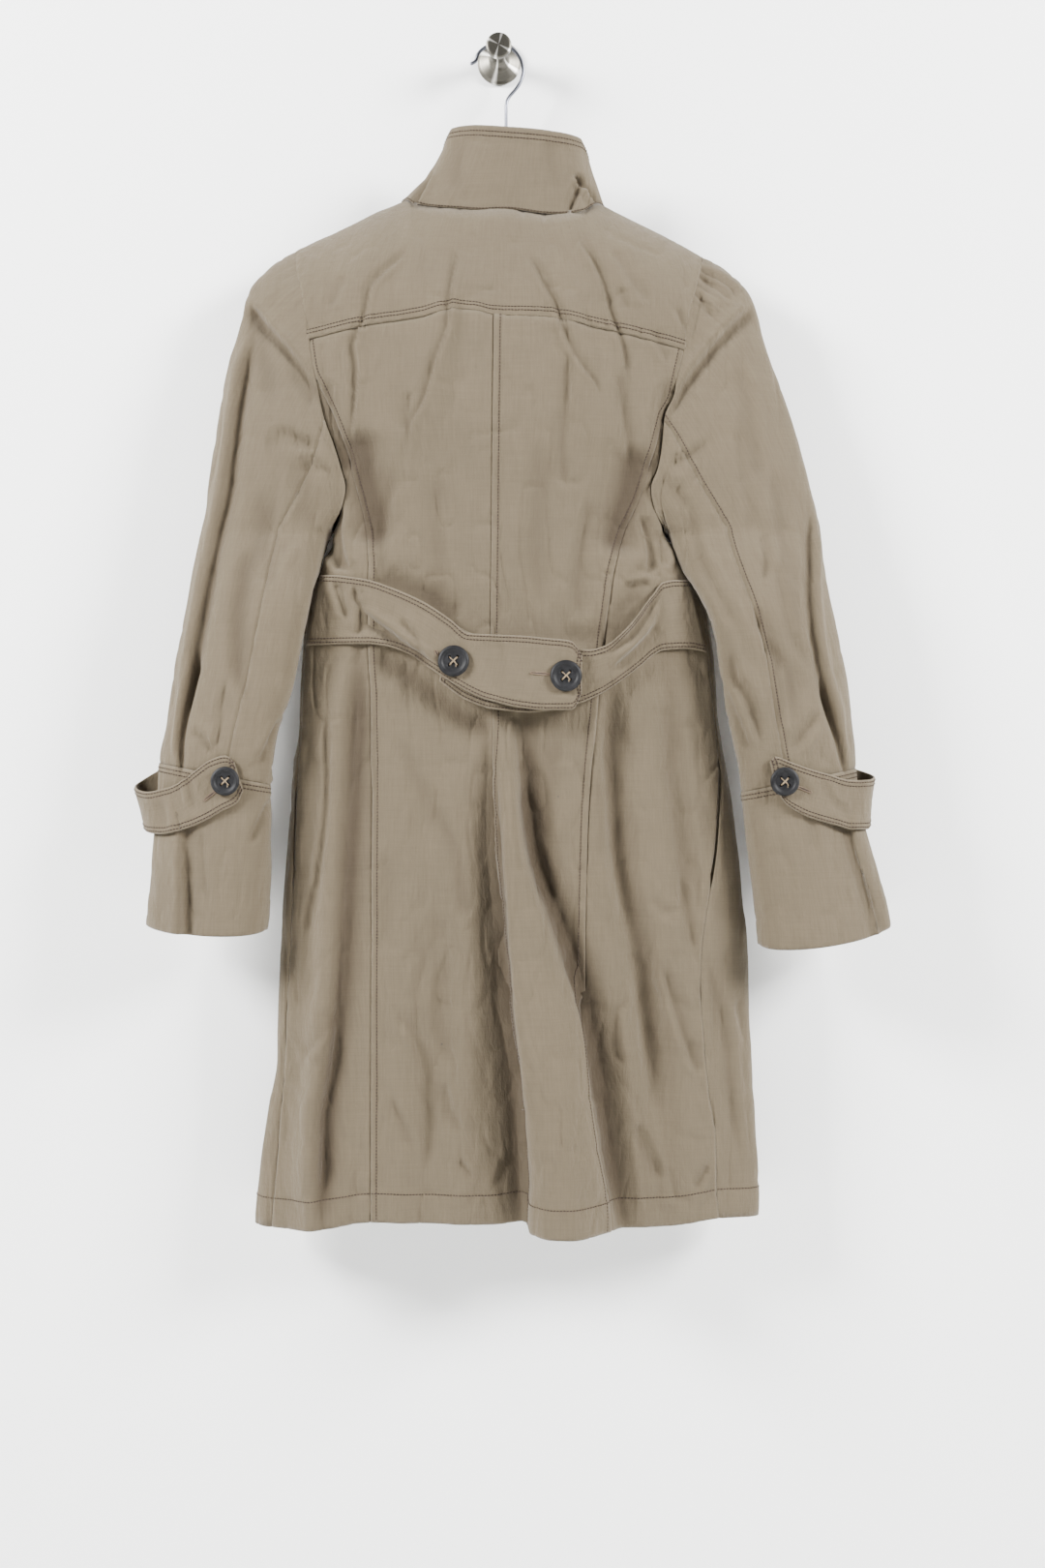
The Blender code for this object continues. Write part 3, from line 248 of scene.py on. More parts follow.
# Seams of the body: x by drop
ARMHOLE_LEFT = table("drop x", (
    (193, -191),
    (205, -189.5),
    (220, -187.5),
    (245, -182.6),
    (282, -177.3),
    (302, -174.3),
    (333, -168.5),
    (359, -162.6),
    (380, -154.8),
    (404, -147.2),
    (423, -142.5),
    (440, -146),
    (452, -151.5),
    (461, -157),
))
ARMHOLE_RIGHT = table("drop x", (
    (199, 192.5),
    (208, 190.5),
    (222, 187),
    (265, 176.7),
    (292, 173.2),
    (321, 167),
    (335, 165),
    (357, 155.5),
    (384, 153),
    (404, 149.3),
    (423, 142.5),
    (440, 145),
    (452, 150),
    (461, 156),
))
SIDE_BACK_LEFT = table("drop x", (
    (318, -171.3),
    (335, -164.5),
    (351, -156.5),
    (373, -148),
    (415, -136.3),
    (463, -125),
    (496, -121),
    (574, -121),
    (623, -118.4),
    (689, -117.5),
    (956, -118),
    (1116, -118.4),
))
SIDE_BACK_RIGHT = table("drop x", (
    (355, 156),
    (393, 145.4),
    (430, 134.7),
    (467, 117.6),
    (505, 106.8),
    (536, 102.4),
    (566, 98.3),
    (648, 89.8),
    (684, 86.2),
    (748, 82.6),
    (860, 80.8),
    (924, 81.7),
    (959, 84.4),
    (1030, 92.5),
    (1084, 102.4),
    (1116, 104),
))
CENTRE_BACK = table("drop x", (
    (266, -4),
    (456, -6.2),
    (560, -7.1),
    (637, -5.3),
    (734, -8.9),
    (833, -1.7),
    (907, 3.7),
    (943, 9.9),
    (988, 18),
    (1052, 22.5),
    (1116, 25.4),
))
SIDE_LEFT = table("drop x", (
    (461, -157),
    (480, -159.6),
    (500, -167),
    (543, -180),
    (600, -183),
    (650, -185.5),
    (699, -190.3),
    (753, -192.1),
    (829, -193.9),
    (916, -198.5),
    (1006, -203.9),
    (1079, -209.3),
    (1116, -212.5),
))
SIDE_RIGHT = table("drop x", (
    (461, 156),
    (480, 163),
    (500, 174),
    (543, 194),
    (600, 199),
    (653, 204.5),
    (689, 208),
    (753, 203.6),
    (794, 197.3),
    (861, 189),
    (889, 188.2),
    (942, 191.8),
    (991, 196.8),
    (1024, 202.7),
    (1072, 203.6),
    (1116, 206.8),
))
YOKE_SEAM = table("x drop", (
    (-177, 285),
    (-148, 279.4),
    (-119, 274.4),
    (-70, 267.7),
    (-41, 261),
    (-21, 262),
    (-4, 265.7),
    (40, 267.7),
    (82, 275.4),
    (121, 283),
    (173, 295),
))
BACK_HEM = table("x drop", (
    (-232, 1113),
    (-175, 1111),
    (-110, 1105),
    (-60, 1107),
    (-5, 1106),
    (24, 1104),
    (30, 1110),
    (70, 1112),
    (112, 1110),
    (156, 1110),
    (200, 1104),
    (245, 1099),
))

# Folds of the back: the crest's line, its rise toward the viewer, and its width on each side.
# A negative rise is a trough. Crisp 1 gives that side a sharp foot, crisp 0 a soft one.
FOLDS = (
    ("centre", 1.0, 0.35, table("drop x rise left right", (
        (610, -3, 0, 8, 14),
        (680, 4, 7, 12, 18),
        (763, 12, 14, 20, 24),
        (859, 33, 22, 30, 38),
        (922, 44, 28, 38, 42),
        (986, 54, 33, 38, 42),
        (1043, 60, 36, 38, 44),
        (1116, 66, 39, 41, 50),
    ))),
    ("left hem ridge", 0.1, 0.3, table("drop x rise left right", (
        (600, -124, 0, 30, 10),
        (734, -137, 7, 34, 18),
        (868, -149, 13, 36, 26),
        (1028, -168, 19, 36, 36),
        (1116, -175, 22, 36, 44),
    ))),
    ("left middle trough", 0.0, 0.0, table("drop x rise left right", (
        (620, -66, 0, 26, 26),
        (760, -60, -4, 30, 30),
        (877, -54, -9, 34, 30),
        (1066, -62, -8, 34, 34),
        (1116, -64, -7, 34, 34),
    ))),
    ("right soft trough", 0.0, 0.0, table("drop x rise left right", (
        (600, 103, 0, 16, 18),
        (652, 104, -7, 18, 22),
        (796, 113, -10, 20, 26),
        (907, 133, -12, 24, 28),
        (1003, 148, -9, 26, 28),
        (1116, 160, -4, 28, 28),
    ))),
    ("right side trough", 0.0, 0.2, table("drop x rise left right", (
        (590, 154, 0, 14, 16),
        (636, 157, -6, 16, 18),
        (764, 173, -7, 18, 16),
        (827, 180, -6, 18, 14),
        (930, 186, 0, 16, 12),
    ))),
    ("shoulder blade left", 0.0, 0.0, table("drop x rise left right", (
        (215, -40, 0, 20, 20),
        (262, -46, 4, 24, 20),
        (330, -58, 5, 28, 24),
        (400, -80, 0, 28, 24),
    ))),
    ("shoulder blade right", 0.0, 0.0, table("drop x rise left right", (
        (215, 64, 0, 20, 24),
        (262, 68, 3, 22, 26),
        (330, 78, 4, 26, 26),
        (410, 96, 0, 26, 26),
    ))),
)

# Sleeves: outer and inner edges by drop, their depths, and half the sleeve's thickness
SLEEVE_LEFT = table("drop outer inner", (
    (193, -191, -157),
    (199, -201, -157),
    (206, -212, -157),
    (214, -221, -157),
    (222, -230, -157),
    (234, -237.2, -157),
    (253, -242.5, -157),
    (277, -248, -157),
    (301, -255.3, -157),
    (341, -262, -157),
    (392, -270, -157),
    (445, -277.4, -157),
    (461, -280.3, -157.3),
    (472, -282.2, -161.5),
    (485, -284.7, -164.5),
    (498, -287.3, -167),
    (532, -292.8, -174),
    (574, -301.2, -182.5),
    (605, -305.6, -188),
    (633, -309.6, -197),
    (651, -312.8, -204.7),
    (675, -317, -207.7),
    (710, -319, -209.5),
    (760, -322.5, -210.3),
    (800, -325.5, -212.3),
    (845, -329, -215),
))
SLEEVE_RIGHT = table("drop outer inner", (
    (199, 192.5, 156),
    (203, 201, 156),
    (211, 213, 156),
    (224, 228.1, 156),
    (240, 240, 156),
    (257, 246, 156),
    (277, 250.5, 156),
    (313, 262, 156),
    (348, 273.7, 156),
    (388, 285.4, 156),
    (439, 298.5, 156),
    (461, 301.4, 156.4),
    (472, 302.8, 161),
    (485, 304.2, 165.5),
    (507, 308, 176),
    (525, 311, 186),
    (544, 315.5, 196),
    (567, 320.5, 200.6),
    (596, 326, 204.6),
    (631, 330.3, 210),
    (662, 334, 217.5),
    (690, 336.5, 223.7),
    (732, 342, 228),
    (767, 350.8, 232),
    (799, 359, 237),
    (827, 364.8, 239.3),
    (855, 368, 241),
))
SLEEVE_DEPTH = table("drop outer inner half", (
    (193, -35, -38, 0.5),
    (200, -36, -38, 9),
    (212, -37, -39, 14.5),
    (232, -39, -41, 19),
    (262, -41, -42, 21),
    (302, -42, -43, 22),
    (400, -46, -45, 24),
    (461, -49, -45, 25),
    (472, -50, -55, 25),
    (485, -51, -64, 25.5),
    (500, -52, -70, 25.5),
    (520, -52, -75, 26),
    (560, -53, -78, 26),
    (640, -55, -78, 26.5),
    (700, -57, -76, 27.5),
    (760, -58, -75, 30),
    (855, -59, -74, 34),
))
CUFF_SEAM = {"left": (679.0, 699.5), "right": (684.0, 706.0)}
CUFF_HEM = {"left": (826.0, 837.5, 832.5), "right": (828.0, 847.0, 846.0)}
PLEAT = {
    "left": table("drop x rise", (
        (700, -300, 0),
        (745, -290, 4),
        (780, -287, 7),
        (845, -287, 8),
    )),
    "right": table("drop x rise", (
        (690, 330, 0),
        (743, 322, 3),
        (790, 334, 5),
        (855, 350, 6),
    )),
}
ARMHOLE = {"left": ARMHOLE_LEFT, "right": ARMHOLE_RIGHT}
SIDE = {"left": SIDE_LEFT, "right": SIDE_RIGHT}
SLEEVE = {"left": SLEEVE_LEFT, "right": SLEEVE_RIGHT}
SIDE_BACK = {"left": SIDE_BACK_LEFT, "right": SIDE_BACK_RIGHT}

# Rows and columns that neighbouring pieces share, so that their seams match point for point.
# The elbow seam leaves the armhole at place ELBOW_TOP and settles at ELBOW_PLACE.
UNDERARM = 461.0
UNDERARM_ROUND = 0.2
UNDERARM_SHIFTS = (-36, -27, -18, -9, 0, 9, 18, 27, 36)
ROWS = np.array((324, 361, 400, 432, UNDERARM, 485, 512, 543, 578, 615, 652, 690, 730, 770, 810,
                 850, 892, 935, 980, 1025, 1070.0))
YOKE_ROWS = 5
SHOULDER_COLUMNS = 5
SIDE_COLUMNS = 7
SIDE_CROWDING = 1.8
NECK_TURNS = np.arange(-90, 91, 18.0)
FRONT_TURNS = np.arange(90, 199, 18.0)
YOKE_X = np.concatenate([np.linspace(-177, -4, 10), np.linspace(-4, 173, 12)[1:]])
SLEEVE_ROWS = np.array((0, 0.025, 0.06, 0.11, 0.18, 0.26, 0.36, 0.47, 0.58, 0.7, 0.85, 1))
ELBOW_TOP = 0.655
ELBOW_PLACE = 0.59
ELBOW_SETTLE = 0.35
SLEEVE_OVAL = 0.8
CUT_POWER = 1.5
EDGE_EASING = 8
DEPTH_EASING = 12
MEND_FADE = 80.0
MEND_POWER = 3
ARMHOLE_TUCK = -1.3
TUCK_FADE = 14.0
TUCK_END = 2.0
BACK_SETTLE = 6.0
TINY = 1e-6

# Belt, its inner face lifted off the back: rows run from the side to the free end
BELT_LEFT = table("x_top drop_top lift_top x_low drop_low lift_low", (
    (-166, 503.5, 1.6, -179, 569.0, 1.6),
    (-154, 504, 1.4, -162, 569.0, 1.4),
    (-138, 506, 1.2, -142, 568.7, 1.2),
    (-121, 509, 1.8, -122, 568.8, 1.8),
    (-98, 517, 4.5, -104, 571, 4),
    (-68, 531, 10, -85, 577.5, 9),
    (-44, 547, 13.5, -63, 592, 13),
    (-26, 560.5, 15, -40, 607, 15.5),
    (-8, 561.5, 16, -12, 621, 18),
    (20, 562.8, 17, 18, 628.6, 19),
    (44, 565, 18, 43, 631.2, 19.5),
    (66, 567.5, 18, 67, 631, 19.5),
    (77, 581, 18, 76.5, 616, 19),
))
BELT_RIGHT = table("x_top drop_top lift_top x_low drop_low lift_low", (
    (177, 508.6, 1.6, 194, 575.5, 1.6),
    (167, 508.6, 1.4, 176, 573, 1.4),
    (153, 511, 1.4, 154, 574.5, 1.4),
    (142, 524, 6, 142, 580, 2.5),
    (130, 541, 14, 130, 590, 5),
    (115, 558, 19, 115, 601.5, 7),
    (99, 571, 16, 98, 613, 9),
    (83, 575, 12.5, 80, 622.5, 11.5),
    (60, 574, 12.5, 55, 630, 13),
    (30, 572, 12, 27, 633, 13.5),
    (0, 568, 11.5, -2, 630.5, 12.5),
    (-24, 560, 10.5, -28, 622, 11),
    (-44, 550, 9.3, -54, 604, 9.3),
))
BELT_BUTTONS = {"left": (6.75, 0.62), "right": (10.75, 0.52)}

# Cuff tabs, their inner face lifted off the cuff: rows run from the wall side to the end
TAB_LEFT = table("s_top drop_top lift_top s_low drop_low lift_low", (
    (-0.45, 668, 0.8, -0.45, 708, 0.8),
    (-0.30, 672, 1.5, -0.28, 713, 1.5),
    (-0.15, 683, 12, -0.12, 725, 5),
    (-0.02, 699, 21, 0.0, 739, 8),
    (0.12, 707, 13, 0.14, 744.5, 4.5),
    (0.22, 704, 6, 0.24, 745, 3),
    (0.32, 698, 2.5, 0.36, 741, 2.5),
    (0.42, 686, 2, 0.48, 733, 2),
    (0.50, 676, 2, 0.57, 724, 2),
    (0.57, 672.5, 1.5, 0.66, 715, 1.5),
    (0.63, 679, 1.5, 0.69, 704, 1.5),
))
TAB_RIGHT = table("s_top drop_top lift_top s_low drop_low lift_low", (
    (-0.45, 668, 0.8, -0.45, 708, 0.8),
    (-0.30, 673, 1.5, -0.28, 714, 1.5),
    (-0.15, 683, 9, -0.12, 725, 2.5),
    (0.0, 692, 14, 0.0, 735, 2),
    (0.12, 696, 10, 0.14, 741, 2),
    (0.25, 695, 5, 0.26, 741, 2),
    (0.36, 690, 2, 0.36, 737, 2),
    (0.46, 685, 2, 0.46, 732, 2),
    (0.55, 679, 2, 0.55, 725, 2),
    (0.63, 673.5, 1.5, 0.62, 715, 1.5),
    (0.67, 678, 1.5, 0.66, 702, 1.5),
))
TAB_BUTTONS = {"left": (8.6, 0.5), "right": (8.7, 0.5)}

COLLAR_TOP = table("turn drop", (
    (-180, 132),
    (-120, 121),
    (-90, 96),
    (-68, 85.5),
    (-42, 87),
    (-5, 91.5),
    (29, 93.5),
    (66, 94.5),
    (90, 104),
    (120, 123),
    (180, 132),
))
HANGER_WIRE = table("x y drop", (
    (-27.5, -25.5, 10.8),
    (-22.5, -25.5, 8),
    (-20.2, -25.5, 1.5),
    (-13.4, -25.5, -5.0),
    (-6, -25.5, -7.7),
    (1, -25.5, -8.2),
    (9, -25.5, -6.0),
    (17, -25.5, 0.5),
    (21.8, -25.5, 9),
    (23.2, -25.5, 18),
    (22.2, -25.5, 23),
    (20.4, -25.5, 28),
    (17.6, -25.7, 32.8),
    (14, -26, 37.4),
    (10, -26.4, 42.2),
    (7.6, -26.8, 47),
    (6.8, -27, 53),
    (6.8, -31, 90),
    (6.8, -36, 133.7),
))
HANGER_ARMS = table("x y drop", (
    (-172, -37, 195.4),
    (-150, -37, 184.9),
    (-120, -37, 170.4),
    (-92, -37, 157.4),
    (-60, -37, 147),
    (-30, -37, 141),
    (7, -37, 138.5),
    (40, -37, 142),
    (70, -37, 150),
    (100, -37, 161.9),
    (130, -37, 177.9),
    (155, -37, 190.9),
    (173, -37, 200.4),
))


def ring_centre(drop):
    """Middle and half of the body's width at a drop."""
    left = line(OUTLINE, "drop", "left")(drop)
    right = line(OUTLINE, "drop", "right")(drop)
    return (left + right) / 2, (right - left) / 2


def across(x, drop):
    """Place across the body: -1 at its left edge, 0 in the middle and 1 at its right edge."""
    middle, half = ring_centre(drop)
    return np.arcsin(np.clip((x - middle) / half, -1.0, 1.0)) * 2 / math.pi


ridge_drop = smooth(across(RIDGE["x"], RIDGE["drop"]), RIDGE["drop"])


def down(place, drop):
    """How far down the cloth a drop lies: 0 on the shoulder line, 1 where its rounding ends."""
    fall = np.maximum(drop - ridge_drop(place), 0.0) / SHOULDER_ROUND
    rounded = np.arccos(np.clip(1 - fall, 0.0, 1.0)) * 2 / math.pi
    return np.where(fall < 1, rounded, 1 + (fall - 1) * 2 / math.pi)


def bump(t, crisp):
    """Cross-section of a fold: 1 on its crest and 0 at its foot, with a soft or a crisp foot."""
    t = np.clip(np.abs(t), 0.0, 1.0)
    return (1 - crisp) * np.cos(t * math.pi / 2) ** 2 + crisp * (1 - t ** 4)


def folds(x, drop):
    """Height of all the folds of the back at a point."""
    total = np.zeros(np.broadcast(x, drop).shape)
    for _, crisp_left, crisp_right, rows in FOLDS:
        crest, rise, left, right = (line(rows, "drop", key)(drop)
                                    for key in ("x", "rise", "left", "right"))
        inside = (drop >= rows["drop"][0]) & (drop <= rows["drop"][-1])
        t = np.where(x < crest, (x - crest) / left, (x - crest) / right)
        crisp = np.where(x < crest, crisp_left, crisp_right)
        total = total + np.where(inside, rise * bump(t, crisp), 0.0)
    return total


def body(ring, depth_down):
    """A point of the body's outer face.

    Ring runs from -1 at the left edge through 0 at the centre back, 1 at the right edge and
    2 at the centre front to 3 at the left edge again. The cloth's depth at each height is an
    oval between the side, back and front depths, rounded in over the shoulders.
    """
    ring = np.mod(np.asarray(ring, float) + 1, 4) - 1
    is_front = ring > 1
    place = np.where(is_front, 2 - ring, ring)
    turn = place * math.pi / 2
    near = np.clip(depth_down, 0, 1) * math.pi / 2
    fall = 1 - np.cos(near) + np.maximum(depth_down - 1, 0) * math.pi / 2
    drop = ridge_drop(place) + SHOULDER_ROUND * fall
    middle, half = ring_centre(drop)
    x = middle + half * np.sin(turn)
    side, back, front = (line(DEPTH, "drop", key)(drop) for key in ("side", "back", "front"))
    oval = np.maximum(np.cos(turn), 0.0) ** BACK_FULLNESS
    y_back = side + (back - side) * oval * np.sin(near) - folds(x, drop) * oval
    y_front = side + (front - side) * oval * np.sin(near)
    return np.stack([x, np.where(is_front, y_front, y_back), -drop], axis=-1)


def on_back(x, drop):
    """The body's places of a point of the back."""
    place = across(x, drop)
    return place, down(place, drop)


def on_front(x, drop):
    """The body's places of a point of the front."""
    place = across(x, drop)
    return 2 - place, down(place, drop)


def round_left(x, drop):
    """The body's places of a point of the back, counted on from the front's left edge."""
    place = across(x, drop)
    return place + 4, down(place, drop)


def slopes(surface, u, v, step=0.002):
    """A surface's change per unit of each of its two places."""
    along_u = (surface(u + step, v) - surface(u - step, v)) / (2 * step)
    along_v = (surface(u, v + step) - surface(u, v)) / step
    return along_u, along_v


def normals(surface, u, v):
    """Unit normals of a surface, from its slopes."""
    return unit(np.cross(*slopes(surface, u, v)))


def pull_in(surface, u, v, left=SEAM_GAP / 2, right=SEAM_GAP / 2, top=SEAM_GAP / 2,
            bottom=SEAM_GAP / 2):
    """Move a grid's four edges in by distances measured along the cloth."""
    along_u, along_v = (np.linalg.norm(slope, axis=-1) for slope in slopes(surface, u, v))
    u, v = u.copy(), v.copy()
    u[:, 0] += left / along_u[:, 0]
    u[:, -1] -= right / along_u[:, -1]
    v[0] += top / along_v[0]
    v[-1] -= bottom / along_v[-1]
    return u, v


def shares(values):
    """The places of a rising or falling list between its ends, from 0 to 1."""
    return (values - values[0]) / (values[-1] - values[0])


def patch(top, bottom, left, right):
    """A grid of places inside four edges, each edge a pair of lists of places."""
    p = (shares(top[0]) + shares(bottom[0]))[None, :] / 2
    q = (shares(left[1]) + shares(right[1]))[:, None] / 2
    grid = []
    for t, b, l, r in zip(top, bottom, left, right):
        corners = ((1 - p) * (1 - q) * t[0] + p * (1 - q) * t[-1]
                   + (1 - p) * q * b[0] + p * q * b[-1])
        grid.append((1 - q) * t[None, :] + q * b[None, :]
                    + (1 - p) * l[:, None] + p * r[:, None] - corners)
    return grid


def seam(rows, face=on_back):
    """A seam's places on the body, by drop."""
    x_at = line(rows, "drop", "x")
    return lambda drop: face(x_at(drop), drop)


def joined(upper, lower, change):
    """A curve by drop that follows one seam above a drop and another below it."""
    def curve(drop):
        above, below = upper(np.minimum(drop, change)), lower(np.maximum(drop, change))
        return tuple(np.where(drop < change, a, b) for a, b in zip(above, below))
    return curve


def level(rows, x):
    """A crosswise seam's places on the back at a list of x."""
    return on_back(x, line(rows, "x", "drop")(x))


def neck_edge(rows):
    """How far down the neckline lies, by place across: 0 on the shoulders outside it."""
    place = across(rows["x"], rows["drop"])
    depth_down = smooth(place, down(place, rows["drop"]))
    return lambda c: np.where((c > place[0]) & (c < place[-1]), depth_down(c), 0.0)


def tip_place(rows, i):
    """Place across the body of a row of a table of x and drop."""
    return float(across(rows["x"][i], rows["drop"][i]))


NECK_LEFT, NECK_RIGHT = tip_place(BACK_NECK, 0), tip_place(BACK_NECK, -1)
TIP_LEFT, TIP_RIGHT = tip_place(RIDGE, 0), tip_place(RIDGE, -1)
back_neck_down = neck_edge(BACK_NECK)
front_neck_down = neck_edge(FRONT_NECK)


def neck_places(turn):
    """Places across the body round the neck, by turn in radians from the centre back."""
    return (NECK_LEFT + NECK_RIGHT) / 2 + (NECK_RIGHT - NECK_LEFT) / 2 * np.sin(turn)


def side_gap(side):
    """Half the gap along an armhole and side seam by drop, open at the pocket's slit."""
    start, end = POCKET[side]

    def gap(drop):
        slit = POCKET_OPEN * window(drop, start, start + SLIT_END, end - SLIT_END, end)
        tucked = ARMHOLE_TUCK * (1 - ramp(drop, UNDERARM - TUCK_FADE, UNDERARM - TUCK_END))
        return SEAM_GAP / 2 + slit + tucked
    return gap


def back_gap(split):
    """Half the gap along a centre back's side: tucked under the sleeve down to the side back."""
    def gap(drop):
        lower = EDGES["over"][4]
        settled = ramp(drop, split - BACK_SETTLE, split)
        return SEAM_GAP / 2 + ARMHOLE_TUCK + (lower - ARMHOLE_TUCK) * settled
    return gap


def armhole_drops(side):
    """Drops of the points along an armhole that its neighbours share."""
    yoke_end = YOKE_SEAM["drop"][0 if side == "left" else -1]
    upper = np.linspace(ARMHOLE[side]["drop"][0], yoke_end, YOKE_ROWS + 1)
    return np.concatenate([upper, ROWS[ROWS <= UNDERARM]])


def body_drops(start, end):
    """Drops of a long seam's points, from its start through the shared rows to its end."""
    inner = ROWS[ROWS > start + 1]
    return np.concatenate([[start], inner, [end]])


def collar_surface(turn, height):
    """The stand collar by turn round the neck, 0 at the centre back, and share of height."""
    turn, height = np.broadcast_arrays(np.asarray(turn, float), np.asarray(height, float))
    place = neck_places(turn)
    is_back = np.cos(turn) >= 0
    ring = np.where(is_back, place, 2 - place)
    base = body(ring, np.where(is_back, back_neck_down(place), front_neck_down(place)))
    top = np.stack([COLLAR_TOP_X + COLLAR_TOP_WIDTH / 2 * np.sin(turn),
                    COLLAR_TOP_Y - COLLAR_TOP_DEPTH / 2 * np.cos(turn),
                    -line(COLLAR_TOP, "turn", "drop")(np.degrees(turn))], axis=-1)
    share = height[..., None]
    point = base * (1 - share) + top * share
    point[..., 0] += COLLAR_HOLLOW * np.sin(math.pi * height) * np.maximum(-np.sin(turn), 0)
    point[..., 2] += 2 * SEAM_GAP
    return point


def armhole_point(side, s):
    """The body's two places of a sleeve's seam.

    The place s is 1 at the back underarm, 0 at the shoulder tip and -1 at the front underarm.
    """
    rows = ARMHOLE[side]
    drop = rows["drop"][0] + np.abs(s) * (UNDERARM - rows["drop"][0])
    x = line(rows, "drop", "x")(drop)
    ring_back, depth_down = on_back(x, drop)
    ring_front, _ = on_front(x, drop)
    return np.where(s >= 0, ring_back, ring_front), depth_down


def levelled(share, spare):
    """A share that rises to 1 and stays there, its corner rounded off by spare on both sides."""
    beyond = np.clip(share - 1 + spare, 0, 2 * spare)
    return np.minimum(share, 1 + spare) - beyond * beyond / (4 * spare)


def inner_edge(side, drop):
    """A sleeve's inner edge across: the armhole, then its own edge below the underarm."""
    x = np.where(drop < UNDERARM, line(ARMHOLE[side], "drop", "x")(drop),
                 line(SLEEVE[side], "drop", "inner")(drop))
    return x + SIGN[side] * UNDERARM_EASE * bump((drop - UNDERARM) / EASE_REACH, 0.0)


def armhole_depth(side, s, drop):
    """The body's depth where a sleeve meets it, by drop, even below the underarm."""
    tip = ARMHOLE[side]["drop"][0]
    reach = np.clip((drop - tip) / (UNDERARM - tip), TINY, 1.0)
    seam_ring, seam_down = armhole_point(side, np.where(s >= 0, reach, -reach))
    return body(seam_ring, seam_down)[..., 1]


def eased(curve, drop, inward, power):
    """A curve by drop whose corner is kept at its edge and softened inward of it.

    The result is the mean of the curve at drops round each, plus the rest times inward^power.
    """
    soft = sum(curve(drop + shift) for shift in UNDERARM_SHIFTS) / len(UNDERARM_SHIFTS)
    return soft + (curve(drop) - soft) * inward ** power


def sleeve_section(side, s, drop):
    """A point of the sleeve or cuff at a place s round it and a drop.

    Each level is an oval between the sleeve's outer and inner edges, 0 at the outer edge,
    1 and -1 at the inner edge by the back and by the front. Above the underarm the oval is
    cut by the armhole and meets the body there.
    """
    s = np.mod(s + 1, 2) - 1
    rows, tip = SLEEVE[side], ARMHOLE[side]["drop"][0]
    share_down = np.maximum((drop - tip) / (UNDERARM - tip), TINY)
    reach = np.minimum(share_down, 1.0)
    part = s / reach
    cut = 0.5 + 0.5 * levelled(share_down, UNDERARM_ROUND) ** CUT_POWER
    angle = math.pi * part * cut
    share = (1 - np.cos(angle)) / (1 - np.cos(math.pi * cut))
    outer_x = line(rows, "drop", "outer")(drop)
    inward = np.clip(np.abs(part), 0, 1)
    seam_x = eased(lambda d: inner_edge(side, d), drop, inward, EDGE_EASING)
    outer_y, inner_y, half = (line(SLEEVE_DEPTH, "drop", key)(drop)
                              for key in ("outer", "inner", "half"))
    x = outer_x + (seam_x - outer_x) * share
    oval = half * np.abs(np.sin(angle)) ** SLEEVE_OVAL * np.sign(s)
    y = outer_y + (inner_y - outer_y) * share - oval
    target = eased(lambda d: armhole_depth(side, s, d), drop, inward, DEPTH_EASING)
    end = inner_y - half * np.maximum(np.sin(math.pi * cut), 0) ** SLEEVE_OVAL * np.sign(s)
    mend = (target - end) * (1 - ramp(drop, UNDERARM, UNDERARM + MEND_FADE))
    y = y + mend * np.abs(part) ** MEND_POWER - sleeve_folds(side, x, drop, s)
    return np.stack([x, y, -drop], axis=-1)


def sleeve_folds(side, x, drop, s):
    """Height of the pleat at the back of a cuff's outer side."""
    edge, rise = (line(PLEAT[side], "drop", key)(drop) for key in ("x", "rise"))
    beyond = SIGN[side] * (x - edge)
    inside = (drop > PLEAT[side]["drop"][0]) & (s > 0)
    height = np.where(inside, rise * ramp(beyond, 0.0, PLEAT_STEP), 0.0)
    return height * np.clip(s / PLEAT_FADE, 0, 1)


def sleeve_surface(side):
    """A sleeve and its cuff by place round it and down it: 0 armhole, 1 cuff seam, 2 cuff hem."""
    tip = ARMHOLE[side]["drop"][0]
    seam_outer, seam_inner = CUFF_SEAM[side]
    hem_outer, hem_middle, hem_inner = CUFF_HEM[side]

    def surface(s, v):
        s, v = np.broadcast_arrays(np.asarray(s, float), np.asarray(v, float))
        s = np.mod(s + 1, 2) - 1
        swing = (1 - np.cos(math.pi * s)) / 2
        start = tip + np.abs(s) * (UNDERARM - tip)
        middle = seam_outer + (seam_inner - seam_outer) * swing
        end = (hem_outer + (hem_inner - hem_outer) * swing
               + (hem_middle - (hem_outer + hem_inner) / 2) * np.abs(np.sin(math.pi * s)))
        upper = np.minimum(v, 1)
        lower = np.maximum(v - 1, 0)
        drop = start * (1 - upper) + middle * upper + (end - middle) * lower
        return sleeve_section(side, s, drop)
    return surface


def strip_surface(rows, point):
    """A strap's points from a table: along its rows and from its upper to its lower edge."""
    columns = [numbered(values) for values in rows.values()]

    def surface(along, over):
        along, over = np.broadcast_arrays(np.asarray(along, float), np.asarray(over, float))
        values = [column(along) for column in columns]
        return point(*(top + (low - top) * over for top, low in zip(values[:3], values[3:])))
    return surface


def belt_surface(rows):
    """The belt's inner face, lifted off the body's back."""
    def point(x, drop, lift):
        under = body(*on_back(x, drop))
        return np.stack([x, under[..., 1] - lift, -drop], axis=-1)
    return strip_surface(rows, point)


def tab_surface(side, rows):
    """A cuff tab's inner face, lifted off the cuff."""
    def cuff(s, drop):
        return sleeve_section(side, s, drop)

    def point(s, drop, lift):
        along = cuff(s + 0.01, drop) - cuff(s - 0.01, drop)
        fall = cuff(s, drop + 1) - cuff(s, drop)
        outward = unit(np.cross(fall, along) * -SIGN[side])
        return cuff(s, drop) + outward * lift[..., None]
    return strip_surface(rows, point)


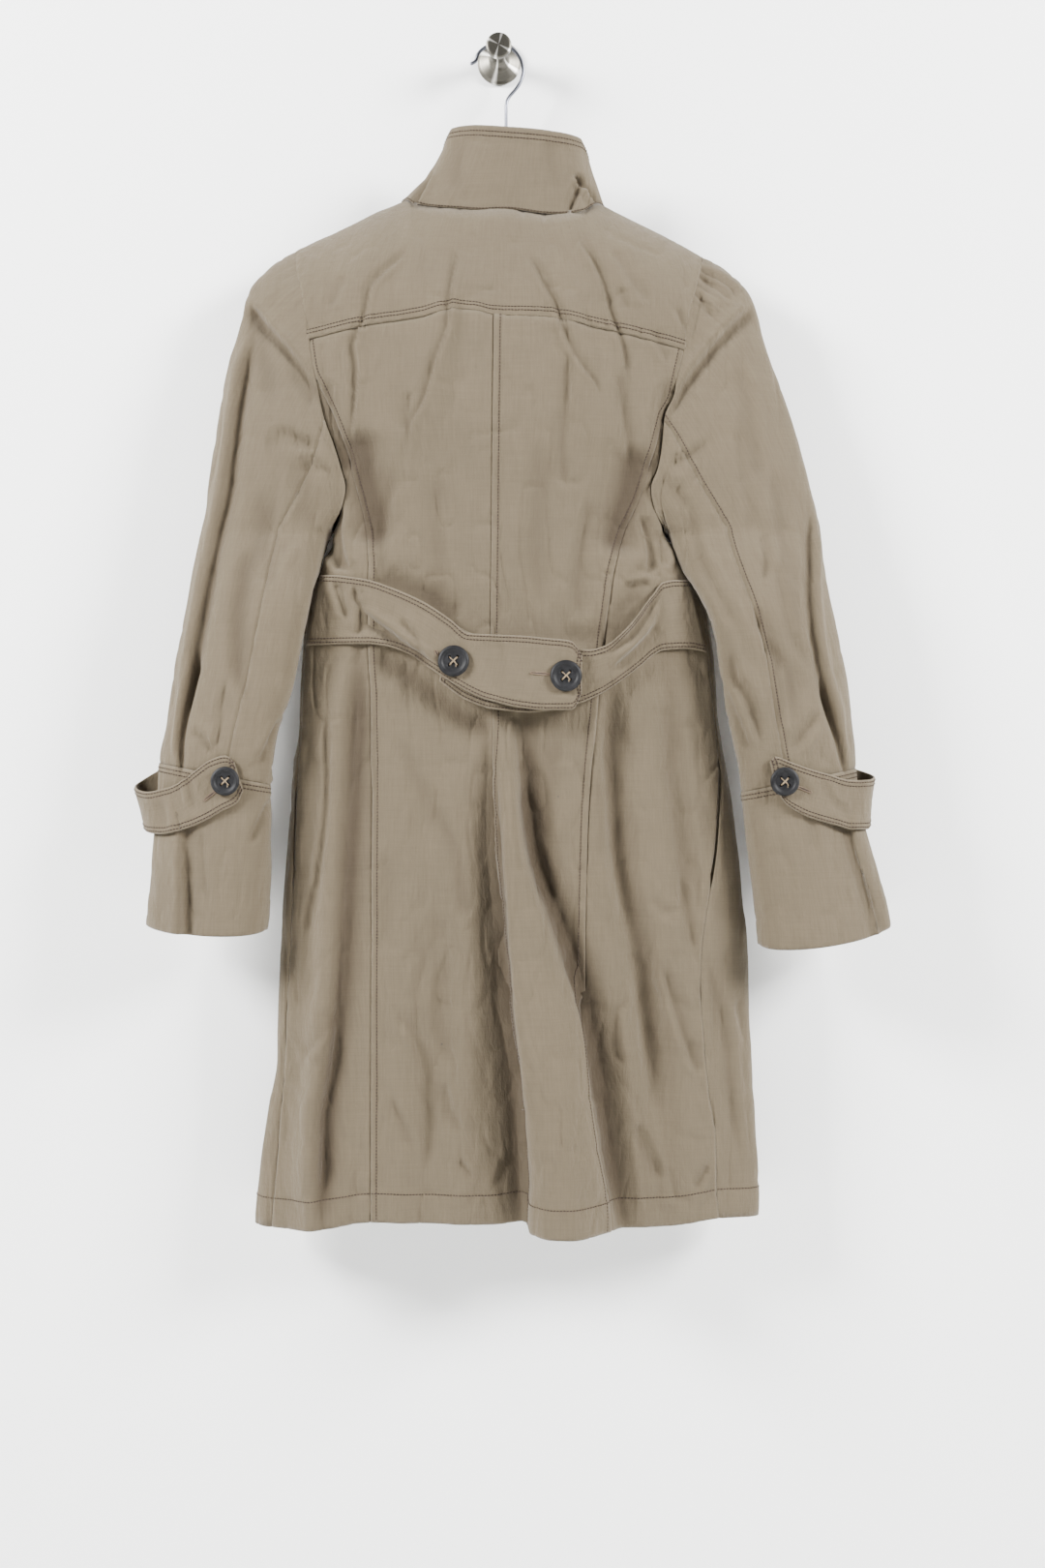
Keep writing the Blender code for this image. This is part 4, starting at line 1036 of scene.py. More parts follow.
def route(rows, count):
    """Evenly spaced points of a smooth curve through the rows of a table of x, y and drop."""
    points = np.stack([rows["x"], rows["y"], -rows["drop"]], axis=-1)
    reach = travelled(points)
    place = np.linspace(0, reach[-1], count)
    return np.stack([smooth(reach, points[:, k])(place) for k in range(3)], axis=-1)


# Creases: greatest height (a trough is negative), half width, the side its ridge is on
# (1 or -1, or 0 for a soft hollow), and the points x, drop it passes through
# A crease's depth and width also set the shade it paints into the cloth's colour
BACK_CREASES = (
    ("left of centre, through the yoke seam", -1.7, 3.4, 1,
     ((-36, 188), (-40, 214), (-45, 244), (-47, 272), (-56, 300), (-63, 324), (-69, 343),
      (-81, 368), (-85, 400))),
    ("left, through the yoke seam", -1.7, 3.4, 1,
     ((-80, 198), (-92, 211), (-108, 226), (-119, 240), (-124, 267), (-134, 292), (-131, 312),
      (-133, 340), (-136, 366), (-138, 396))),
    ("yoke far left", -0.9, 6, 1, ((-142, 226), (-149, 241), (-157, 257))),
    ("left of centre, short", -1.1, 5, 1, ((-81, 336), (-84, 352), (-85, 372))),
    ("right of centre, through the yoke seam", -1.7, 3.4, -1,
     ((26, 204), (35, 219), (45, 240), (52, 254), (58, 272), (65, 290), (73, 305), (88, 325),
      (98, 342))),
    ("right, through the yoke seam", -1.7, 3.2, -1,
     ((74, 188), (84, 206), (97, 234), (104, 262), (113, 285), (117, 304), (119, 330))),
    ("yoke right, beside it", -0.9, 4, 1, ((112, 236), (116, 247), (120, 260))),
    ("yoke far right", -0.9, 6, -1, ((106, 201), (124, 231), (142, 254))),
    ("yoke by the armhole", -1.0, 4, -1, ((166, 256), (170, 267), (176, 281))),
    ("far right under the yoke", -1.2, 5, -1, ((143, 277), (150, 291), (158, 308))),
    ("right of centre, long", -1.4, 6, 1, ((68, 298), (63, 342), (60, 392), (63, 428))),
    ("right, slanting", -1.3, 7, -1, ((111, 314), (115, 344), (121, 380), (122, 396))),
    ("by the left armhole", -2.0, 11, 1, ((-163, 318), (-156, 352), (-146, 385), (-138, 412))),
    ("by the right armhole", -1.8, 9, -1, ((160, 318), (152, 352), (146, 388), (140, 418))),
    ("left armpit", -2.4, 6, 1, ((-146, 436), (-150, 462), (-146, 486), (-140, 500))),
    ("left armpit, small", -1.5, 5, -1, ((-163, 470), (-156, 484), (-149, 500))),
    ("right armpit", -2.6, 6, -1, ((133, 446), (140, 468), (142, 486), (139, 504))),
    ("right armpit, small", -1.4, 5, 1, ((150, 462), (156, 478), (158, 496))),
    ("waist left", -1.2, 8, 1, ((-96, 404), (-104, 440), (-110, 480), (-108, 508))),
    ("waist middle left", -0.9, 12, 1, ((-50, 404), (-58, 452), (-54, 500), (-60, 552))),
    ("waist middle right", -0.9, 12, -1, ((34, 380), (38, 430), (34, 480), (40, 540))),
    ("waist right", -1.2, 4, 1, ((118, 516), (128, 513), (143, 511))),
    ("waist right, upright", -1.2, 8, -1, ((84, 430), (80, 470), (74, 510), (76, 552))),
    ("hip left, by the pocket", -1.6, 4, -1,
     ((-160, 628), (-160, 664), (-159, 698), (-161, 736), (-166, 776), (-170, 800))),
    ("hip left, below it", -1.3, 5, -1, ((-166, 783), (-174, 810), (-179, 838))),
    ("side left", -0.9, 5, 1, ((-189, 836), (-191, 862), (-192, 888))),
    ("low left, slanting", -1.3, 6, 1, ((-149, 908), (-159, 925), (-170, 940), (-183, 953))),
    ("dark side of the left fold", -2.6, 8, -1,
     ((-146, 893), (-149, 937), (-155, 975), (-163, 1006), (-161, 1052), (-160, 1078))),
    ("left fold's inner line", -1.2, 5, 1,
     ((-134, 600), (-138, 660), (-143, 740), (-146, 810), (-148, 870), (-150, 920))),
    ("dark hollow beside the left fold", -4.0, 13, -1,
     ((-131, 540), (-131, 620), (-133, 690), (-137, 768), (-142, 869), (-150, 936),
      (-158, 1004), (-161, 1074), (-163, 1130))),
    # These two hollows also paint shade where the sleeves shade the back beside the side backs
    ("hollow by the left side back", -3.9, 15, 0,
     ((-130, 366), (-127, 404), (-120, 444), (-115, 484))),
    ("hollow by the right side back", -3.8, 15, 0,
     ((131, 380), (124, 420), (114, 456), (106, 490))),
    # These hollows also paint the belt's shadow on the back, above and below it
    ("hollow above the belt, left", -2.2, 11, 0,
     ((-121, 506), (-87, 515), (-55, 533), (-36, 549))),
    ("hollow above the belt, right", -1.7, 8, 0,
     ((57, 553), (81, 563), (99, 558), (120, 534), (142, 510))),
    ("hollow under the belt, left", -2.2, 10, 0,
     ((-124, 578), (-87, 594), (-60, 616), (-28, 640), (0, 648))),
    ("down from the belt", -0.9, 9, 1,
     ((-99, 642), (-82, 680), (-61, 720), (-38, 766), (-32, 806), (-36, 826))),
    ("middle, below it", -0.9, 8, -1, ((-47, 850), (-55, 906), (-52, 938), (-44, 962))),
    ("middle left, to the hem", -1.2, 6, -1,
     ((-96, 910), (-75, 936), (-66, 974), (-65, 1022), (-68, 1058))),
    ("low, slanting to the hem", -1.2, 6, 1, ((-99, 990), (-90, 1012), (-79, 1038))),
    ("by the hem, short", -1.2, 4, 1, ((-37, 1045), (-30, 1054), (-23, 1063))),
    ("low, to the right", -1.0, 6, 1, ((-50, 975), (-44, 1000), (-36, 1020))),
    ("left of the centre fold", -2.7, 8, 1,
     ((-5, 620), (-2, 700), (0, 773), (3, 856), (6.5, 897), (11, 939), (15, 980), (18, 1022),
      (20, 1063), (23, 1105), (25, 1140))),
    ("hollow left of the centre fold", -1.8, 12, 0,
     ((-13, 610), (-14, 720), (-11, 800), (-6, 869), (-1, 920), (5, 970), (9, 1020),
      (12, 1070), (14, 1130))),
    ("at the fold, short", -1.0, 4, -1, ((13, 1038), (6, 1052), (-5, 1072))),
    ("on the centre fold", -1.8, 8, 1, ((24, 690), (30, 745), (41, 778), (52, 812))),
    ("right of the big fold", -3.6, 13, -1,
     ((24, 600), (25, 650), (29, 700), (38, 760), (50, 806), (66, 852), (81, 896), (90, 936),
      (97, 987), (104, 1037), (112, 1094), (116, 1130))),
    ("edge of the big fold", -1.3, 4, -1, ((60, 849), (78, 906), (85, 949), (92, 1000))),
    ("second trough", -2.2, 11, -1,
     ((101, 590), (103, 650), (108, 730), (113, 777), (123, 818), (131, 856), (138, 908),
      (144, 964), (151, 1020))),
    ("beside the second trough", -1.8, 5, 1,
     ((121, 898), (110, 914), (110, 938), (118, 960))),
    ("hip right", -1.1, 9, 0, ((158, 590), (161, 684), (167, 730), (173, 778), (182, 830))),
    ("right, low", -2.0, 6, -1, ((151, 864), (164, 902), (179, 949), (189, 970))),
    ("right, to the hem", -1.7, 7, 1, ((129, 1010), (139, 1040), (152, 1067))),
    ("right, slanting softly", -0.9, 7, -1, ((142, 804), (153, 815), (166, 826))),
    ("right corner of the hem", -1.5, 4, 1, ((197, 1054), (191, 1064), (184, 1076))),
    ("right side, long", -1.6, 6, 1,
     ((192, 854), (204, 896), (213, 936), (217, 978), (230, 1066))),
    ("right side, outer", -1.3, 5, -1, ((220, 898), (226, 918), (231, 940))),
    ("faint, right of centre", -1.0, 10, 1, ((55, 652), (47, 711), (40, 756))),
    ("by the pocket", -1.1, 5, 1, ((171, 784), (177, 822), (184, 856))),
    ("small, right of the seam", -0.9, 6, 1, ((95, 690), (92, 730), (96, 770))),
    ("small, left panel", -0.8, 7, -1, ((-108, 760), (-102, 800), (-106, 850))),
)
SLEEVE_CREASES_LEFT = (
    ("long fold to the armhole", -2.7, 5.5, 1,
     ((-237, 247), (-229, 257), (-216, 273), (-200, 291), (-184, 312), (-168, 336), (-160, 350))),
    ("beside the armhole", -1.4, 5, 1, ((-196, 312), (-182, 330), (-170, 350))),
    ("outer fold", -3.8, 6.5, -1,
     ((-229, 270), (-235, 300), (-241, 335), (-247, 380), (-252, 424), (-261, 465),
      (-268, 507), (-278, 563), (-286, 605), (-292, 656))),
    ("hollow by the long fold", -1.3, 9, 0,
     ((-234, 244), (-229, 262), (-224, 288), (-216, 318), (-210, 352))),
    ("armpit, arch", -1.3, 5, 1,
     ((-218, 386), (-212, 379), (-203, 371), (-191, 373), (-180, 380), (-165, 378))),
    ("armpit, under the arch", -0.9, 4.5, -1,
     ((-214, 398), (-206, 386), (-195, 382), (-181, 386), (-167, 384))),
    ("armpit, lower", -1.1, 5, 1, ((-185, 410), (-176, 400), (-163, 404), (-153, 412))),
    ("down from the armpit", -0.8, 5, 1,
     ((-196, 384), (-203, 402), (-207, 426), (-209, 452), (-215, 476))),
    ("armpit, soft hollow", -1.0, 11, 0, ((-188, 392), (-184, 412), (-180, 436), (-178, 462))),
    ("down to the elbow", -1.6, 10, 0,
     ((-219, 416), (-219, 448), (-222, 478), (-233, 502), (-239, 549), (-239, 590), (-231, 618))),
    ("below the elbow", -1.1, 6, -1,
     ((-226, 470), (-236, 506), (-242, 548), (-241, 592), (-233, 616), (-228, 628))),
    ("above the tab", -1.6, 2.8, -1, ((-252, 600), (-256, 637), (-260, 670))),
    ("outer fold's gap", -3.4, 3.5, -1,
     ((-279, 570), (-286, 610), (-291, 634), (-294, 665), (-293, 697))),
    ("cuff pleat", -1.9, 7, -1,
     ((-292, 690), (-288, 741), (-285.6, 784), (-285, 825), (-285, 880))),
    ("slanting to the tab", -1.4, 3.4, 1, ((-286, 648), (-274, 652), (-266, 661), (-261, 672))),
    ("to the cuff seam", -2.2, 3.6, -1, ((-197, 636), (-206, 652), (-214, 668), (-222, 682))),
    ("elbow, inner", -1.2, 6, 1, ((-192, 470), (-204, 492), (-212, 520))),
    ("cuff, slanting", -1.9, 4, -1, ((-203, 706), (-213, 720), (-221, 736), (-228, 754))),
    ("cuff, faint", -0.8, 6, 1, ((-272, 738), (-270, 772), (-268, 808))),
)
SLEEVE_CREASES_RIGHT = (
    ("gather at the head, top", -1.9, 3.0, 1, ((184, 214), (200, 219), (214, 228), (228, 239))),
    ("gather at the head, middle", -1.9, 3.0, 1, ((183, 219), (197, 227), (209, 235), (220, 244))),
    ("gather at the head, low", -1.3, 3.6, 1, ((181, 232), (189, 243), (196, 254), (202, 264))),
    ("long fold to the armhole", -2.6, 6, -1,
     ((240, 250), (231, 259), (215, 276), (200, 293), (185, 313), (172, 331), (163, 346),
      (156, 360))),
    ("upper arm, long", -1.0, 9, -1,
     ((254, 396), (258, 434), (263, 472), (271, 523), (280, 570))),
    ("outer fold", -3.2, 5, 1,
     ((294, 440), (292, 464), (291, 494), (290, 522), (292, 558), (298, 591), (305, 614),
      (313, 640), (318, 664))),
    ("short fold by the elbow", -1.6, 5, -1, ((244, 466), (246, 478), (247, 494), (245, 514))),
    ("down to the forearm", -1.5, 6, 1,
     ((258, 494), (262, 518), (268, 549), (278, 572), (288, 592))),
    ("under the armhole, upper", -1.2, 5, 1, ((158, 400), (171, 396), (186, 387), (194, 380))),
    ("under the armhole, lower", -1.0, 5, 1, ((148, 413), (160, 419), (170, 430), (176, 442))),
    ("inner side, long", -1.0, 6, 1,
     ((176, 436), (182, 458), (186, 482), (197, 510), (211, 538), (226, 560))),
    ("upper arm, middle", -0.9, 6, -1,
     ((224, 352), (224, 386), (228, 420), (232, 448), (233, 470))),
    ("elbow, slanting", -2.3, 8, -1,
     ((229, 530), (245, 560), (258, 582), (268, 600), (272, 650))),
    ("forearm, inner", -2.2, 6, 1, ((212, 572), (218, 600), (226, 612), (236, 636), (243, 668))),
    ("forearm, edge", -1.6, 5, 1, ((208, 610), (216, 632), (224, 652), (232, 670))),
    ("across above the tab", -1.8, 6, 1, ((297, 632), (286, 648), (278, 658), (271, 670))),
    ("forearm, middle", -1.3, 8, 1, ((246, 560), (256, 592), (260, 624), (255, 656))),
    ("upper arm, faint", -1.0, 9, 1, ((222, 300), (232, 340), (238, 386), (244, 420))),
    ("cuff, faint", -0.8, 6, 1, ((288, 722), (290, 742), (290, 762))),
    ("outer fold's gap", -2.8, 3.5, 1,
     ((300, 600), (306, 624), (312, 645), (318, 668), (323, 692))),
    ("cuff pleat", -1.7, 8.5, 1,
     ((308, 690), (323, 744), (338, 786), (353, 828), (368, 880))),
)
BELT_CREASES = (
    ("left part, strong", -3.4, 5, 1,
     ((-128, 536), (-116, 548), (-105, 556), (-87, 570), (-71, 581), (-55, 593))),
    ("left part, by the side", -1.8, 4.5, -1, ((-153, 510), (-146, 528), (-140, 547))),
    ("left part, upright", -1.9, 4, -1,
     ((-134, 512), (-133, 526), (-128, 536), (-128, 552), (-133, 562))),
    ("left part, third", -1.0, 4, 1, ((-90, 545), (-78, 560), (-66, 584))),
    ("between the buttons", -0.7, 5, 1, ((0, 566), (6, 590), (2, 622))),
    ("right part, upper", -1.9, 4, 1, ((150, 520), (132, 548), (118, 566), (100, 580))),
    ("right part, lower", -1.6, 4, -1, ((148, 548), (136, 564), (120, 580), (104, 594))),
)
TAB_CREASES = {
    "left": (
        ("fold", -1.7, 3, -1, ((-286, 686), (-283, 705), (-278, 722))),
        ("round the loop", -0.9, 5, 1, ((-312, 712), (-306, 728), (-304, 742))),
    ),
    "right": (
        ("slanting", -0.9, 4, 1, ((298, 694), (306, 712), (322, 724))),
    ),
}
COLLAR_CREASES = (
    ("pinch at the right", -4.2, 3.2, -1, ((70, 129), (79, 138), (89, 148), (98, 158))),
    ("valley beside it", -2.6, 3.4, 1, ((80, 130), (76, 142), (71, 154), (66, 168))),
    ("fold at the left", -3.0, 3.6, 1, ((-62, 122), (-68, 134), (-74, 146), (-80, 158))),
    ("left of the middle", -0.7, 10, 1, ((-34, 96), (-38, 120), (-40, 150))),
    ("right of the middle", -0.7, 9, -1, ((46, 100), (50, 124), (54, 150))),
)
SLEEVE_CREASES = {"left": SLEEVE_CREASES_LEFT, "right": SLEEVE_CREASES_RIGHT}

LATTICE = 64
CREASE_STEPS = 6
CREASE_FADE = 0.18
CREASE_DEPTH = 1.85
STEEP = 0.6
GENTLE = 1.35
# DARKEST, DARK_LIMIT and THIN_DARK set how dark a crease's painted shade is
DARKEST = 3.3
DARK_LIMIT = 1.3
RIDGE_SHARE = 0.5
RIDGE_PLACE = 1.35
RIDGE_HALF = 0.8
BROAD = (5.0, 12.0)
BROAD_STEEP = 0.25
THIN_DARK = 0.55
HIDDEN_SHARE = 0.75
HIDDEN_SHIFT = 14.0


def finer(values, steps):
    """A list of places with each of its gaps cut into equal steps."""
    places = np.linspace(0, len(values) - 1, (len(values) - 1) * steps + 1)
    return np.interp(places, np.arange(len(values)), values)


def value_noise(x, y, seed):
    """Smooth noise from -1 to 1: random values at whole numbers, eased by 6t^5 - 15t^4 + 10t^3."""
    lattice = np.random.default_rng(seed).uniform(-1.0, 1.0, (LATTICE, LATTICE))
    i, j = np.floor(x).astype(int), np.floor(y).astype(int)
    p, q = (t * t * t * (t * (6 * t - 15) + 10) for t in (x - i, y - j))

    def corner(a, b):
        return lattice[(i + a) % LATTICE, (j + b) % LATTICE]

    near = corner(0, 0) * (1 - q) + corner(0, 1) * q
    far = corner(1, 0) * (1 - q) + corner(1, 1) * q
    return near * (1 - p) + far * p


def rumple(x, drop, seed=3):
    """Unevenness of worn cotton: slow waves, crinkles along |noise| = 0, and fine grain."""
    bent = x + 9 * value_noise(x / 55, drop / 60, seed)
    slow = value_noise(bent / 31, drop / 88, seed + 1)
    crinkle = 1 - np.abs(value_noise(bent / 15, drop / 44, seed + 2))
    small = value_noise(bent / 7, drop / 17, seed + 3)
    return 1.3 * slow - 1.5 * crinkle ** 8 + 0.3 * small


def crease_shape(depth, width, lean, points, x, drop):
    """Height of one crease at points near it, and the shade it paints into the cloth's colour.

    With t the distance from its line in half widths, counted up toward its ridge, the height is
    depth * exp(-(t / s)^2) less a rounded ridge at RIDGE_PLACE. The slope s is STEEP toward the
    ridge, more for broad creases, and GENTLE away from it, and on both sides where there is no
    ridge. All fade and narrow toward the line's ends.
    """
    place = finer(np.arange(len(points), dtype=float), CREASE_STEPS)
    px, pd = (numbered(values)(place) for values in zip(*points))
    best = np.full(x.shape, np.inf)
    side, along = np.zeros(x.shape), np.zeros(x.shape)
    for i in range(len(px) - 1):
        ux, ud = px[i + 1] - px[i], pd[i + 1] - pd[i]
        t = np.clip(((x - px[i]) * ux + (drop - pd[i]) * ud) / (ux * ux + ud * ud), 0, 1)
        gap_x, gap_d = x - px[i] - t * ux, drop - pd[i] - t * ud
        reach = gap_x ** 2 + gap_d ** 2
        nearer = reach < best
        best = np.where(nearer, reach, best)
        side = np.where(nearer, np.sign(gap_x * ud - gap_d * ux), side)
        along = np.where(nearer, (i + t) / (len(px) - 1), along)
    fade = window(along, -0.01, CREASE_FADE, 1 - CREASE_FADE, 1.01)
    toward = side * lean if lean else -1.0
    t = toward * np.sqrt(best) / (width * (0.5 + 0.5 * fade))
    broad = ramp(np.float64(width), *BROAD)
    slope = t / np.where(t > 0, STEEP + BROAD_STEEP * broad, GENTLE)
    ridge = RIDGE_SHARE * np.exp(-((t - RIDGE_PLACE) / RIDGE_HALF) ** 2)
    # Painted shade: the trough's colour is darkened where a crease's shade falls, more for deep
    # and broad ones
    dark = fade * np.exp(-2.0 * slope * slope) * np.minimum(-depth / DARKEST, DARK_LIMIT)
    dark = dark * (THIN_DARK + (1 - THIN_DARK) * broad)
    return CREASE_DEPTH * depth * fade * (np.exp(-slope * slope) - ridge), dark


def creases(rows, x, drop):
    """Height of all the creases of a table, and the shade they paint into the cloth's colour."""
    x, drop = np.broadcast_arrays(np.asarray(x, float), np.asarray(drop, float))
    height, shade = np.zeros(x.shape), np.zeros(x.shape)
    for _, depth, width, lean, points in rows:
        xs, drops = np.array(points, float).T
        spare = 4 * width
        near = ((x > xs.min() - spare) & (x < xs.max() + spare)
                & (drop > drops.min() - spare) & (drop < drops.max() + spare))
        if near.any():
            rise, dark = crease_shape(depth, width, lean, points, x[near], drop[near])
            height[near] += rise
            shade[near] += dark
    return height, shade


def edge_reach(points):
    """Distance along the cloth of each point from the grid's four edges."""
    def along(axis):
        step = np.linalg.norm(np.diff(points, axis=axis), axis=-1)
        total = np.cumsum(step, axis=axis)
        return np.concatenate([np.zeros_like(np.take(total, [0], axis=axis)), total], axis=axis)

    across_cloth, down_cloth = along(1), along(0)
    reach = {"top": down_cloth, "bottom": down_cloth[-1:] - down_cloth,
             "left": across_cloth, "right": across_cloth[:, -1:] - across_cloth}
    return reach, across_cloth, down_cloth


# How a cloth meets its neighbour: the seam allowance's rise and width, the rim's dip and its
# width, how far it runs on under the neighbour, and the depth of its puckers
EDGES = {
    "over": (0.4, 8.5, -0.35, 0.9, -0.1, 0.34),
    "under": (0.0, 1.0, -1.4, 3.6, -2.6, 0.2),
    "plain": (0.3, 9.0, -0.55, 1.8, -0.3, 0.26),
    "hem": (0.4, 27.0, -0.4, 1.2, 0.0, 0.2),
    "edge": (0.3, 11.5, -0.3, 1.2, 0.0, 0.24),
    "close": (0.08, 5.0, -0.12, 0.8, -0.3, 0.05),
    "faint": (0.0, 5.0, -0.05, 0.8, -0.34, 0.0),
    "armhole": (0.25, 7.0, -0.5, 1.6, -1.5, 0.26),
}
PUCKER_PITCH = 8.0
PUCKER_REACH = 5.0


def edge_relief(reach, across_cloth, down_cloth, edges, seed):
    """Height and wear beside a cloth's edges: allowance, rolled rim, and puckers along a seam.

    A pucker is a shallow cosine wave along the seam whose phase wanders with noise and which
    fades by exp(-(distance / reach)^2).
    """
    height, worn = np.zeros(across_cloth.shape), np.zeros(across_cloth.shape)
    for k, (edge, kind) in enumerate(edges.items()):
        rise, band, dip, rim, _, pucker = EDGES[kind]
        gap = reach[edge]
        along = down_cloth if edge in ("left", "right") else across_cloth
        wander = value_noise(along / 23, gap / 40, seed + k)
        wave = np.cos(2 * math.pi * (along / PUCKER_PITCH + 1.1 * wander))
        strength = 0.6 + 0.4 * value_noise(along / 31, gap / 60, seed + k + 9)
        height = height + rise * (1 - ramp(gap, band - 1.2, band + 1.6))
        height = height + dip * (1 - ramp(gap, 0, rim))
        height = height + pucker * wave * strength * np.exp(-((gap - 4) / PUCKER_REACH) ** 2)
        if kind not in ("under", "armhole", "close", "faint"):
            worn = np.maximum(worn, 1 - ramp(gap, 0.3, 2.0))
    return height, worn


def grid_normals(points, toward):
    """Unit normals of a grid of points, on the side of the given directions."""
    normal = np.cross(np.gradient(points, axis=1), np.gradient(points, axis=0))
    normal /= np.maximum(np.linalg.norm(normal, axis=-1, keepdims=True), 1e-12)
    return normal * np.sign(np.sum(normal * toward, axis=-1, keepdims=True))


SHELL = 0.9
BELT_EDGE_ROUND = 1.4
GRAIN_TURN = 40.0
GRAIN_MIDDLE = -82.0
RIDGE_CALM = 0.8
SEAM_CALM = 0.85
SEAM_CALM_REACH = 11.0
NECK_TUCK = -3.4
NECK_SINK = 1.0
NECK_REACH = (0.1, 0.35)
NECK_FADE = (2.6, 4.6)
CLOTHS = {}

# Where straps lie over the cloth and its relief is kept low: drops where that starts, is full,
# fades and ends, and how far out the belt lies on it
BELT_ZONE = (490, 500, 578, 590)
BELT_SIDE = (112, 122)
TAB_ZONE = (664, 674, 745, 758)


def add_object(name, data):
    """An object at the origin, linked to the scene."""
    made = bpy.data.objects.new(name, data)
    bpy.context.scene.collection.objects.link(made)
    return made


def feed_mesh(name, points, faces):
    """A smooth-shaded mesh object in metres from points in millimetres and a face array."""
    mesh = bpy.data.meshes.new(name)
    mesh.from_pydata((np.asarray(points) * MM).tolist(), [], faces)
    mesh.shade_smooth()
    return add_object(name, mesh)


def grid_faces(rows, columns, closed=False, start=0, flip=False):
    """Corner numbers of the quads of a grid of points, joined round where it is a tube."""
    steps = columns if closed else columns - 1
    i, j = np.meshgrid(np.arange(rows - 1), np.arange(steps), indexing="ij")
    after = (j + 1) % columns
    quads = np.stack([i * columns + j, i * columns + after,
                      (i + 1) * columns + after, (i + 1) * columns + j], axis=-1)
    quads = quads.reshape(-1, 4) + start
    return quads[:, ::-1] if flip else quads


def rim_faces(front, back):
    """Quads between two matching lists of point numbers."""
    return np.stack([front[:-1], back[:-1], back[1:], front[1:]], axis=-1)


def face_outward(made):
    """Turn a closed mesh's faces outward by its signed volume, worked out from its corners."""
    mesh = made.data
    mesh.calc_loop_triangles()
    count = len(mesh.loop_triangles)
    corners = np.empty(count * 3, np.int64)
    mesh.loop_triangles.foreach_get("vertices", corners)
    places = np.empty(len(mesh.vertices) * 3)
    mesh.vertices.foreach_get("co", places)
    a, b, c = places.reshape(-1, 3)[corners].reshape(-1, 3, 3).transpose(1, 0, 2)
    if np.sum(a * np.cross(b, c)) < 0:
        mesh.flip_normals()


def store(mesh, name, values):
    """Keep one number for each point of a mesh as a named attribute."""
    made = mesh.attributes.new(name, "FLOAT", "POINT")
    made.data.foreach_set("value", np.asarray(values, np.float32).ravel())


def shell(name, outer, inner, cloth_uv, worn, shade, out, reach, closed=False):
    """A closed cloth shell between an outer and an inner grid of points.

    Its UV map is the distance along the cloth in metres, across and down. A tube's UV map has a
    jump where the grid closes, on the side that faces the wall. CLOTHS keeps its outer points,
    their normals and their reach from its edges, for the rows of stitches.
    """
    rows, columns = outer.shape[:2]
    count = rows * columns
    number = np.arange(count).reshape(rows, columns)
    quads = [grid_faces(rows, columns, closed), grid_faces(rows, columns, closed, count, True)]
    ends = [number[0], number[-1]]
    if closed:
        ends = [np.append(end, end[0]) for end in ends]
    quads += [rim_faces(ends[0], ends[0] + count), rim_faces(ends[1], ends[1] + count)[:, ::-1]]
    if not closed:
        quads += [rim_faces(number[:, 0], number[:, 0] + count)[:, ::-1],
                  rim_faces(number[:, -1], number[:, -1] + count)]
    faces = np.concatenate(quads)
    made = feed_mesh(name, np.concatenate([outer.reshape(-1, 3), inner.reshape(-1, 3)]),
                     faces.tolist())
    mesh = made.data
    corner = np.empty(len(mesh.loops), np.int64)
    mesh.loops.foreach_get("vertex_index", corner)
    flat = np.tile(cloth_uv.reshape(-1, 2) * MM, (2, 1))
    layer = mesh.uv_layers.new(name="cloth")
    layer.data.foreach_set("uv", flat[corner].astype(np.float32).ravel())
    store(mesh, "worn", np.tile(worn.ravel(), 2))
    # shade is painted shade: it darkens the colour in creases and hollows
    store(mesh, "shade", np.tile(np.clip(shade, 0, 1).ravel(), 2))
    face_outward(made)
    CLOTHS[name] = {"points": outer, "normal": grid_normals(outer, out), "reach": reach}


def add_cloth(name, surface, u, v, outward_sign, edges, form, grain, closed=False, wall=SHELL):
    """One cut piece of cloth: its solid's form, moved out by its creases and edges.

    Form gives height and painted shade from a grid's x, drop and outward normal, and grain gives
    the places of the weave from its points and its two places.
    """
    base = surface(u, v)
    along = normals(surface, u, v) * outward_sign
    reach, across_cloth, down_cloth = edge_reach(base)
    seed = len(CLOTHS) * 17 + 5
    rim, worn = edge_relief(reach, across_cloth, down_cloth, edges, seed)
    rise, shade = form(base[..., 0], -base[..., 2], along)
    for edge, kind in edges.items():
        if kind == "armhole":
            rise = rise * (1 - SEAM_CALM * (1 - ramp(reach[edge], 0, SEAM_CALM_REACH)))
    outer = base + along * (rim + rise)[..., None]
    inner = outer - along * wall
    shell(name, outer, inner, grain(base, u, v), worn, shade, along, reach, closed)


def straight_grain(points, ring, depth_down):
    """Places of a body piece's weave: threads run level and plumb, round the sides too."""
    x, y, z = points.transpose(2, 0, 1)
    round_side = np.clip(x / GRAIN_TURN, -1, 1) * (y - GRAIN_MIDDLE)
    return np.stack([x + np.where(ring > 1, -round_side, round_side), z], axis=-1)


def tube_grain(half_round):
    """Places of the weave on a sleeve or collar, its threads along and round the tube."""
    def grain(points, turn, along):
        return np.stack([turn * half_round, points[..., 2]], axis=-1)
    return grain


